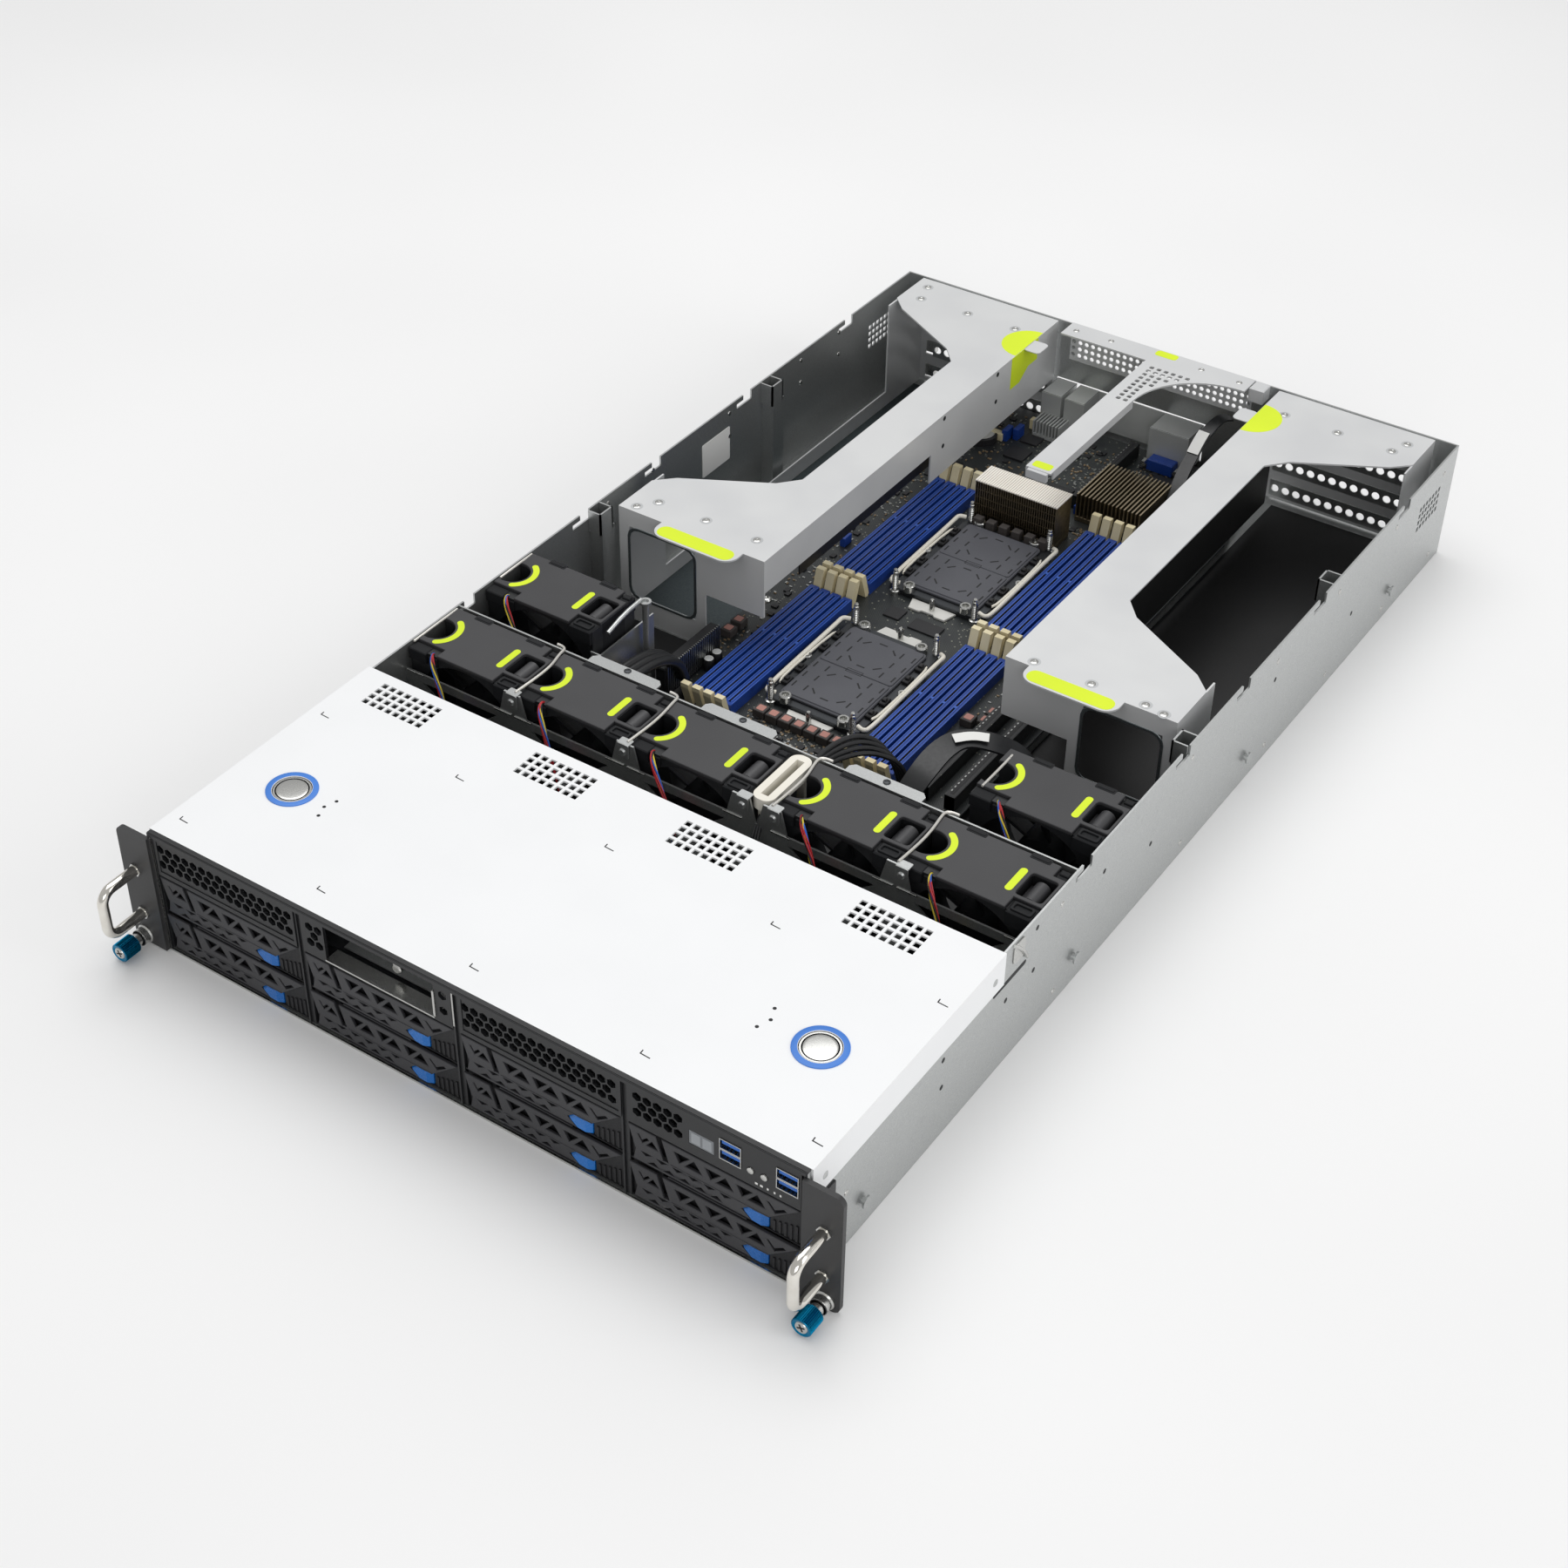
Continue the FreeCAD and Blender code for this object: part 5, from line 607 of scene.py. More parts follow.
def makeControls():
    # two stacked port pairs: a rolled shell round each, blue tongue, gold contacts underneath
    shells, tongues, contacts, inside, window, ticks = (bmesh.new() for _ in range(6))
    half = control["portHigh"] / 2
    for left in control["ports"]:
        right = left + control["portWide"]
        for low in (control["portLow"], control["portLow"] + half):
            plate(shells, "front", boxed(left + 0.05, low + 0.1, right - 0.05, low + half - 0.1), -0.5, 11, 0,
                  [boxed(left + 0.5, low + 0.75, right - 0.5, low + half - 0.6)])
            block(tongues, (left + 1.0, 0.6, low + 2.9), (right - 1.0, 10.5, low + 5.2), 0, 0.15)
            for pin in range(4):
                x = left + 2.4 + pin * 2.5
                block(contacts, (x, 0.9, low + 2.65), (x + 1.1, 10, low + 2.9))
            block(inside, (left + 0.5, 10.4, low + 0.7), (right - 0.5, 10.9, low + half - 0.6))
    finishPiece("port_shells", shells, "steel")
    finishPiece("port_tongues", tongues, "portBlue")
    finishPiece("port_contacts", contacts, "gold")
    # the backs of the ports are near-black, painted shade inside the ports
    finishPiece("port_backs", inside, "trayInner")

    x, z, wide, high = control["display"]
    block(window, (x + 0.1, 0.15, z + 0.1), (x + wide - 0.1, 1, z + high - 0.1), 0, 0.1)
    for start in (x + 1.4, x + 8.2):
        block(window, (start, 0.05, z + 1.3), (start + 5.4, 0.2, z + high - 1.3), 1)
    finishPiece("status_display", window, "displayGlass displaySegment")
    for x, wide in control["ticks"]:      # plain ticks beside the keys
        block(ticks, (x, -0.03, 60.4), (x + wide, 0.05, 61.8))
    finishPiece("key_ticks", ticks, "white")
    for name, x in control["keys"]:
        key = bmesh.new()
        turned(key, "y", (x, 0, control["keyZ"]), [
            (0, -1.0), (1.2, -0.95), (1.9, -0.7), (2.1, -0.2),
            (2.1, 2.2), (3.1, 2.2), (3.1, 3.2), (0, 3.2)], 0, 28)
        finishPiece("face_of_" + name, key, "steel", name, name)
    print("controls ready")


# upper part of the front: panel frames, seams and the open slot
strip = {"half": 218.8, "low": 84.6, "high": 87.4, "grilles": ((-213.2, -112.2), (4.6, 106.4)),
         "seams": (-217.4, -110.7, -1.9, 106.9), "slot": (-90, -14), "ventPitch": 7.2, "bayPitch": 15}


def makeStrip():
    # dark rim of the lid's front edge, the frames round the panels and what stands in the open slot
    rims, edges, bracket, knob = (bmesh.new() for _ in range(4))
    plate(rims, "front", boxed(-strip["half"], strip["low"], strip["half"], strip["high"]), -0.9, 0, ease=0.3)
    for left, right in strip["grilles"]:
        plate(rims, "front", boxed(left - 1.2, 58.4, right + 1.2, strip["low"]), -0.5, 0, 0,
              [boxed(left + 0.6, 61.6, right - 0.6, 83.6)], 0.15)
    for low in strip["seams"]:
        plate(rims, "front", boxed(low, 1.4, low + 1.1, strip["low"]), 0.3, 1.6)
    finishPiece("front_rims", rims, "panelBlack")

    left, right = strip["slot"]
    plate(edges, "front", boxed(left, 59.6, right, 60.6), -0.8, 9)              # polished sill
    plate(edges, "front", boxed(right - 0.6, 61, right + 0.8, 79), -0.7, 0.2)   # polished right jamb
    plate(edges, "front", boxed(-1.9, 60, -0.9, 84), 0.1, 1.45)
    finishPiece("slot_edges", edges, "steel")
    holes = [boxed(x, 81.2, x + 2.6, 83.2) for x in [left + 4 + strip["ventPitch"] * i for i in range(10)]]
    plate(bracket, "front", boxed(-89.6, 80, -14.4, 84.2), 13, 14, 0, holes)
    holes = [boxed(-80 + strip["bayPitch"] * i, 20, -71 + strip["bayPitch"] * i, 52, 3) for i in range(5)]
    plate(bracket, "top", boxed(-89, 13, right, 62), 59.4, 60.2, 0, holes)
    finishPiece("slot_bracket", bracket, "galvanised")
    turned(knob, "y", (-48, 12, 68.5),
           [(0, -3.2), (2.4, -3.1), (3.2, -2.4), (3.2, 0), (1.8, 0.2), (1.8, 2.0)])
    finishPiece("slot_screw", knob, "steel")
    print("front strip ready")


# one drive tray, from its middle and its foot
tray = {"leverLow": 10.9, "leverHigh": 26.3, "leverLeft": -31.5, "lean": 4.5, "tip": 51.5, "slope": 18.0,
        "windowLow": 15.6, "windowHigh": 22.4, "pitch": 19.0, "bandLow": 1.0, "bandTop": 10.5,
        "slotPitch": 9.7, "hinge": (-27.2, 3.4), "railIn": 50.8, "railOut": 51.95,
        "keyHole": (15.8, 0.5, 32.2, 10.6)}


# a bent stroke, cut out of the panel beside the lever and out of the lever's tip
def checkMark(x, low, wide, high, stroke=1.3):
    return [(x, low + high), (x + stroke, low + high), (x + wide * 0.42, low + stroke * 1.5),
            (x + wide - stroke, low + high * 0.95), (x + wide, low + high * 0.8), (x + wide * 0.42, low)]


def trayBody():
    t = tray
    mesh = bmesh.new()
    panel = [(-48, t["leverLow"]), (-30.5, t["leverLow"]), (-35, t["leverHigh"]), (-52, t["leverHigh"])]
    cuts = [checkMark(-46.5, 16.6, 7.5, 5.4), [(-40.6, 16.4), (-33.4, 16.4), (-37.2, 21.0)]]
    plate(mesh, "front", panel, -0.1, 1.6, 0, cuts, 0.35)
    # the perforated band: two rows of flat triangles, set over by half a pitch
    band = [(-50, t["bandLow"]), (22.2, t["bandLow"]), (16.4, 5.6), (22.2, t["bandTop"]), (-48, t["bandTop"])]
    holes = []
    for start in [-45.5 + t["slotPitch"] * i for i in range(6)]:
        holes.append([(start, 9.0), (start + 7.6, 9.0), (start + 3.2, 6.6)])
        if start < 3:
            holes.append([(start + 4.4, 2.4), (start + 12, 2.4), (start + 8.6, 5.0)])
    plate(mesh, "front", band, 0.9, 2.4, 0, holes, 0.2)
    # thin ledges that catch the light over and under the band
    block(mesh, (-26, 0.1, 10.45), (30, 1.2, 10.75), 0, 0.1)
    block(mesh, (-28, 0.3, 0.15), (20, 1.4, 0.6), 0, 0.1)
    # the block, the strip under it, the bezel back and the rails take the near-black copy of the tray
    # plastic: black plastic with painted shade for their depth
    # ribbed block at the right, cut back under the lever's tip
    plate(mesh, "front", [(33, 0.2), (51.8, 0.2), (51.8, 26.4), (44, 20), (33, 10.6)], 2.4, 3.4, 1, (), 0.2)
    for i in range(5):
        block(mesh, (35 + 3.3 * i, 1.7, 1), (36.4 + 3.3 * i, 2.6, 8.5 + i), 1, 0.2)
    block(mesh, (-51.6, 1.6, 0.1), (51.6, 3.2, 0.6), 1)
    # bezel back with its hinge seat and key hole
    seat = [(-51.9, 0.1), (51.9, 0.1), (51.9, 26.7), (-28.2, 26.7), (-28.2, 25.3),
            (-23.3, 25.3), (-23.3, 10.9), (-33.1, 10.9), (-33.1, 26.7), (-51.9, 26.7)]
    whole, keyHole = boxed(-51.9, 0.1, 51.9, 26.7), [boxed(*t["keyHole"])]
    for outline, front, back, holes in ((seat, 3.4, 7.8, keyHole), (whole, 7.8, 10.7, keyHole),
                                        (whole, 10.7, 12, ())):
        plate(mesh, "front", outline, front, back, 1, holes)
    # rails with a lead-in, and the drive between them
    rail = [(12, 1), (163, 1), (168, 4), (168, 19), (163, 22), (12, 22)]
    windows = [boxed(30 + 34 * i, 6, 56 + 34 * i, 17, 2) for i in range(4)]
    for _, side in sides:
        plate(mesh, "side", rail, side * t["railIn"], side * t["railOut"], 1, windows, 0.2)
    block(mesh, (-50.7, 14.1, 0.8), (50.7, 160.9, 23), 2, 0.8)
    plate(mesh, "top", boxed(-46, 20, 46, 156, 6), 22.9, 26.7, 2, (), 0.5)
    turned(mesh, "z", (*t["hinge"], 10), [(0, 0), (0.8, 0), (0.8, 16.5), (0, 16.5)], 0, 12)
    return mesh


def trayLever():
    t = tray
    mesh = bmesh.new()
    low, high, foot = t["windowLow"], t["windowHigh"], t["leverLeft"] + t["lean"]
    corners = [(foot, t["leverLow"]), (t["tip"] - t["slope"], t["leverLow"]), (t["tip"], t["leverHigh"]),
               (t["leverLeft"], t["leverHigh"])]
    windows = []
    for k in range(3):
        start = foot + 4 + t["pitch"] * k
        windows += [[(start - 1, high), (start + 9.0, high), (start + 2.4, low)],
                    [(start + 6.0, low), (start + 16.4, low), (start + 11.6, high)]]
    windows.append(checkMark(32.0, 15.8, 12.0, 6.4, 1.6))
    plate(mesh, "front", corners, 0, 2, 0, windows, 0.35)
    block(mesh, (-26, -0.25, 11.0), (33.6, 0.3, 11.5), 0, 0.12)
    turned(mesh, "z", (*t["hinge"], 11.6), [(0.86, 0), (1.7, 0), (1.7, 13.3), (0.86, 13.3)], 0, 16)
    return mesh


def trayRelease():
    mesh = bmesh.new()
    low, high, middle = 0.75, 10.35, 5.55
    outline = [(16.0, middle), (22.4, low), (32.0, low), (32.0, high), (22.4, high)]
    front = [(19.0, middle), (23.2, low + 1.0), (28.6, low + 0.6), (28.6, high - 0.6), (23.2, high - 1.0)]
    rows = [(outline, (8.0,) * 5), (outline, (2.6, 1.6, 2.6, 2.6, 1.6)), (front, (0.6,) * 5)]
    rings = [[mesh.verts.new((u, depth, v)) for (u, v), depth in zip(row, depths)] for row, depths in rows]
    joinRings(mesh, rings)
    addFace(mesh, rings[-1])
    addFace(mesh, rings[0][::-1])
    bmesh.ops.recalc_face_normals(mesh, faces=mesh.faces)
    return mesh


def makeTrays():
    kinds = (("tray", "drive_tray", trayBody(), "trayBlack trayInner drive", 32),
             ("lever", "tray_lever", trayLever(), "trayBlack", 32),
             ("release", "tray_release", trayRelease(), "releaseBlue", 20))
    for i in range(1, 9):
        low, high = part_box(f"drive_tray_{i}")
        at = ((low[0] + high[0]) / 2 * perMetre, 0, low[2] * perMetre)
        for piece, node, shape, materials, angle in kinds:
            mover = f"{node}_{i}"
            finishPiece(f"{piece}_{i}", shape.copy(), materials, mover, mover, angle, at)
    print("drive trays ready")


# ears: a bow handle and a captive thumbscrew with a knurled sleeve on each side
ear = {"screwX": 232.55, "screwZ": 7.0, "handleX": 231.0, "low": 24.0, "high": 56.0, "reach": 33.0,
       "bar": 3.2, "bend": 8.0, "ridges": 36, "ridgeAt": 5.45}


def makeEars():
    handles, trims = bmesh.new(), bmesh.new()
    low, high, bend, z = ear["low"], ear["high"], ear["bend"], ear["screwZ"]
    corner = ear["bar"] - ear["reach"] + bend
    for _, side in sides:
        x = side * ear["handleX"]
        curve = [*arcPoints(corner, low + bend, bend, -90, -180, 8),
                 *arcPoints(corner, high - bend, bend, 180, 90, 8)]
        tube(handles, [(x, y, v) for y, v in [(-3, low), *curve, (-3, high)]], ear["bar"], 0, 20)
        for foot in (low, high):
            turned(trims, "y", (x, 0, foot), [(4.3, -4.1), (4.3, -3.0)], 0, 6)
        turned(trims, "y", (side * ear["screwX"], 0, z), [
            (2.75, -9.0), (4.6, -9.0), (5.1, -8.4), (5.1, -4.6), (5.9, -3.8), (5.9, -3.0)], 0, 28)
    finishPiece("handle_bars", handles, "chrome", replaced="ear_handles", angle=50)
    finishPiece("ear_ferrules", trims, "steel")

    for label, side in sides:
        name, x = "thumbscrew_" + label, side * ear["screwX"]
        core, ridge = bmesh.new(), bmesh.new()
        turned(core, "y", (x, 0, z), [
            (0, -24.5), (3.4, -24.5), (3.7, -24.1), (5.2, -24.5), (5.5, -24.2), (5.5, -13.0), (4.6, -12.6),
            (3.8, -12.6), (3.8, -9.2), (2.65, -9.2), (2.65, 0.2), (2.35, 0.4), (2.35, 7.6), (1.8, 8.2),
            (0, 8.2)], 0, 36)
        for face in core.faces:
            middle = face.calc_center_median()
            inner = middle.y < -24 and math.hypot(middle.x - x, middle.z - z) < 3.6
            face.material_index = 1 if middle.y > -12.7 or inner else 0
        # the cross slots in the end are near-black, painted shade in the slots
        for k in range(2):
            plate(core, "front", spun(boxed(-2.4, -0.45, 2.4, 0.45), k * math.pi / 2 + 0.4, x, z),
                  -24.62, -24.45, 2)
        finishPiece("knob_of_" + name, core, "teal steel trayInner", name, name)
        plate(ridge, "front", [(-0.42, 0), (0.42, 0), (0, 0.5)], -0.2, 10.9)
        turns = [math.tau * k / ear["ridges"] for k in range(ear["ridges"])]
        reach = ear["ridgeAt"]
        places = [(x + reach * math.sin(a), -24.0, z + reach * math.cos(a), 0, math.degrees(a), 0)
                  for a in turns]
        repeated("knurl_of_" + name, ridge, places, "teal", name)
    print("ears ready")


# a fan module: a moulded housing with a round passage, a cover plate, a latch and a finger notch
fan = {"places": [(-175.8, 216, 0), (-92.2, 216, 0), (-8.6, 216, 0), (92.2, 216, 0), (175.8, 216, 0),
                  (-175.8, 290, 0), (175.8, 290, 0)],
       "half": 41.3, "floor": 1.3, "top": 86.0, "cover": 2.4, "axis": 43.0, "bore": 38.0, "front": 4.0,
       "back": 46.8, "core": (14.2, 36.6), "motor": (42.9, 46.7), "notchX": -37.3, "notchR": 10.8,
       "middle": 25.4, "arc": (12.4, 16.4, 56), "stripe": (16.0, 14.9, 20.4, 35.9), "paint": 0.12}
lead = {"colours": "wireRed wireBlue wireYellow wireBlack wireRed",
        "radius": 0.52, "twist": 1.257, "pitch": 1.15,
        "run": [(-25, 7, 82.5), (-23, 2, 86.2), (-19.5, -3, 84.5), (-14, -6.5, 77), (-8.5, -9, 67),
                (-3, -12, 56), (1, -14, 42), (2, -15, 28)]}


def makeFans():
    f = fan
    half, floor, top, under, axis = f["half"], f["floor"], f["top"], f["top"] - f["cover"], f["axis"]
    passage = [disc(0, axis, f["bore"], 48)]
    housing, cover, core, grip, marks, leads = (bmesh.new() for _ in range(6))
    walls = [(-half, floor), (half, floor), (half, under), (-half, under)]
    for low, high in ((f["front"], f["core"][0]), (f["core"][1], f["back"])):
        plate(housing, "front", walls, low, high, 0, passage)
    repeated("fan_housings", housing, f["places"], "fanBlack", replaced="fan_frames")

    edge = math.degrees(math.asin((half + f["notchX"]) / f["notchR"])) + 90
    notch = arcPoints(f["notchX"], f["middle"], f["notchR"], edge, -edge, 20)
    outline = [(-19, 2.6), (24, 2.6), (24, 12.6), (half, 12.6), (half, 39.2), (33.2, 39.2), (33.2, 48.8),
               (-half, 48.8)] + notch + [(-half, 10.4), (-19, 10.4)]
    plate(cover, "top", outline, under, top, 0, [boxed(22.8, 15.2, 39.4, 35.6, 2.2)], 0.35)
    repeated("fan_covers", cover, f["places"], "fanCover")

    middle = [(-half, floor), (half, floor), (half, under), (39.6, under), (39.6, 68), (31, 71.5), (22.8, 76),
              (22.8, under), (-24, under), (-25.5, 74.5), (-33, 66), (-half, 62)]
    plate(core, "front", middle, *f["core"], 0, passage)
    # the corner boxes that hold the plug, the latch and the rear hook
    plate(core, "top", boxed(26.5, 3.2, 39.5, 10.2, 1.5), 84.5, 85.8, 0, [boxed(28, 4.6, 38, 8.8, 1)], 0.2)
    for low, high, ease in (((25, 1.6, 74), (41, 12.2, 84.6), 0.8), ((33.8, 39.8, 74), (41, 48.6, 84.4), 0.6),
                            ((35, 43, 84.2), (40.6, 46.4, 85.6), 0.4),
                            ((-41, 1.8, 76), (-27.5, 9.8, 84.2), 0.6),
                            ((-26.6, 3, 76), (-19.6, 9.8, 82.2), 0.4)):
        block(core, low, high, 0, ease)
    for left in (-25.5, 14.8):
        plate(core, "top", boxed(left, 45.2, left + 13, 50.2, 1), 78, 86.25, ease=0.35)
        plate(core, "top", boxed(left + 1.2, 46.4, left + 11.8, 49.0, 0.6), 86.2, 86.6, ease=0.15)
    # the motor base on four arms
    near, far = f["motor"]
    turned(core, "y", (0, 0, axis), [(0, near), (15, near), (15, far), (0, far)], 0, 28)
    for k in range(4):
        plate(core, "front", spun(boxed(14, -2.5, 38.4, 2.5), math.radians(90 * k), 0, axis), near, far)
    repeated("fan_cores", core, f["places"], "rotorBlack")

    arch = [(26.2, 76.5)] + arcPoints(31, 79.0, 5.0, 165, 15, 8) + [(35.8, 76.5)]
    plate(grip, "front", arch, 17.2, 33.6, ease=0.4)
    plate(grip, "front", [(23.2, 73), (39.2, 73), (39.2, 75.5), (23.2, 77)], 15.5, 35.2)
    repeated("fan_grips", grip, f["places"], "fanGrip")

    # a band with round ends along the notch, and a straight stripe
    inner, outer, reach = f["arc"]
    band = []
    for radius, start, turn in ((outer, -reach, reach), (inner, reach, 180 - reach)):
        band += arcPoints(f["notchX"], f["middle"], radius, start, -start, 16)
        a = math.radians(-start)
        endX = f["notchX"] + (inner + outer) / 2 * math.cos(a)
        endY = f["middle"] + (inner + outer) / 2 * math.sin(a)
        band += arcPoints(endX, endY, (outer - inner) / 2, turn, turn + 180, 6)[1:-1]
    plate(marks, "top", band, top, top + f["paint"])
    plate(marks, "top", boxed(*f["stripe"], 2.15, 5), top, top + f["paint"])
    repeated("fan_marks", marks, f["places"], "lime")

    # five wires twisted round a run that differs a little from fan to fan
    for k, (x, y, _) in enumerate(f["places"]):
        for wire in range(5):
            path = []
            for i, (dx, dy, z) in enumerate(lead["run"]):
                spin = wire * lead["twist"] + i * lead["pitch"] + k
                spread = 0.5 if i < 2 else 1.35
                path.append((x + dx + spread * math.cos(spin) + 1.6 * math.sin(k * 2.1 + i * 0.5),
                             y + dy + spread * math.sin(spin) * 0.7, z + spread * math.sin(spin) * 0.6))
            tube(leads, path, lead["radius"], wire, 6, 2)
    finishPiece("fan_leads", leads, lead["colours"])
    print("fans ready")


# holding wires from the grille to the flange: front x, rear x and the way that the end bends
hold = {"wires": [(-132.5, -134.5, -1), (-49.5, -50.0, -1), (51.5, 50.0, 1), (134.5, 134.0, 1)],
        "radius": 0.85, "tabs": (-133.5, -51, 33, 54, 138.5),
        "bows": ((-216.6, 223, 264), (-216.4, 306, 338), (138.3, 300, 334)),
        "screws": [(-91, 272.2, 86.0), (-7, 272.2, 86.0), (92.5, 271.6, 86.0)]}


def screwHead(radius, rise):
    shape = bmesh.new()
    turned(shape, "z", (0, 0, 0), [(radius, 0), (radius, rise * 0.45), (radius * 0.8, rise * 0.85),
                                   (radius * 0.45, rise), (radius * 0.3, rise * 0.55), (0, rise * 0.5)],
           0, 20)
    return shape


def makeFanCage():
    wires, tabs, lips, bundle = (bmesh.new() for _ in range(4))
    for front, back, side in hold["wires"]:
        tube(wires, [(front, 216.5, 86.8), (front + 0.5, 222, 86.9), (front + 1.6, 238, 87.1),
                     (front + 1.2, 250, 87.1), (back, 262, 86.9), (back - 0.3, 267.5, 86.8),
                     (back + side * 3.2, 269.3, 86.6), (back + side * 7.5, 269.6, 86.4)],
             hold["radius"], 0, 8, 2)
    for x, start, end in hold["bows"]:
        tube(wires, [(x, start, 85.6), (x + 0.6, (start + end) / 2, 86.4), (x, end, 85.6)], 0.8, 0, 8, 1)
    finishPiece("cage_wires", wires, "wireSteel")

    for x in hold["tabs"]:
        plate(tabs, "top", boxed(x - 4.2, 213.6, x + 4.2, 219.4, 0.8), 86.02, 86.7, ease=0.15)
        plate(tabs, "front", boxed(x - 4.2, 77, x + 4.2, 86.6, 0.8), 213.2, 213.9, ease=0.15)
        turned(tabs, "y", (x, 0, 81), [(0, 212.1), (1.6, 212.2), (2.4, 212.9), (2.4, 213.3)], 0, 16)
    # the wall beside the rear left fan, with its post and ring
    block(tabs, (-131.8, 288, 1.3), (-130.8, 352, 66))
    block(tabs, (-131.8, 288, 66), (-124, 289, 74))
    tube(tabs, [(-129.5, 303, 80), (-129.3, 320, 84.6), (-129, 337, 85.6)], 1.5, 0, 12, 1)
    turned(tabs, "z", (-126.8, 338.5, 83.2), [(2.2, 0), (3.9, 0), (3.9, 1.6), (2.2, 1.6), (2.2, 0)], 0, 20)
    turned(tabs, "z", (-126.8, 338.5, 1.3), [(2.2, 0), (2.2, 82)], 0, 12)
    finishPiece("cage_tabs", tabs, "galvanised")

    for x, *_ in fan["places"][:5]:
        for _, side in sides:      # bright raw edges round the openings of each grille
            block(lips, (x + side * 27.5, 214.1, 69.2), (x + side * 40.5, 214.9, 70.4), 0, 0.15)
    finishPiece("cage_lips", lips, "steel")
    repeated("flange_screws", screwHead(2.3, 0.9), hold["screws"], "darkSteel")

    # six leads through the pale guide, fanned out at their front ends
    for k in range(6):
        dx, dz = -1.3 + 1.3 * (k % 3), -1.4 * (k // 3)
        tube(bundle, [(36 + dx, 300, 26 + dz), (39 + dx, 275, 60 + dz), (40.8 + dx, 258, 75 + dz),
                      (40.8 + dx, 236, 76 + dz), (41.6 + dx, 220, 73 + dz), (44.5 + dx * 1.5, 208, 62 + dz),
                      (49 + dx * 2, 196, 44), (53 + dx * 3, 190, 26)], 0.85, 0, 8, 2)
    # sleeved cables from the guide and the left wall towards the front corners of the board
    for k in range(4):
        tube(bundle, [(33 + 1.5 * k, 276, 62), (34 + 2 * k, 300, 66 - 2 * k), (40 + 3 * k, 320, 66 - 3 * k),
                      (52 + 3 * k, 330, 60 - 3 * k), (62 + 2 * k, 334, 42), (66 + 2 * k, 336, 18)],
             1.7, 0, 10, 2)
    for k in range(3):
        tube(bundle, [(-123 + 4 * k, 276, 52), (-121 + 4 * k, 306, 56 - 2 * k),
                      (-118.5 + 3 * k, 334, 52 - 2 * k), (-117.5 + 3 * k, 352, 36),
                      (-117 + 3 * k, 358, 20)], 3.2, 0, 12, 2)
    finishPiece("cable_bundle", bundle, "wireBlack")
    print("fan cage ready")


# a processor socket, from its middle: frame, cap, studs, nuts and retention wires
socket = {"x": -28.0, "middles": (429.0, 579.0), "board": 9.0, "frame": (35.0, 50.0, 4),
          "opening": (26, 41, 2), "rise": 4.5, "cap": (29.0, 44.0, 3), "capRise": 3.0,
          "stud": (31.0, 50.5, 20.0), "nut": (22.0, 47.0), "wire": 39.0, "dash": (3, 0.55)}


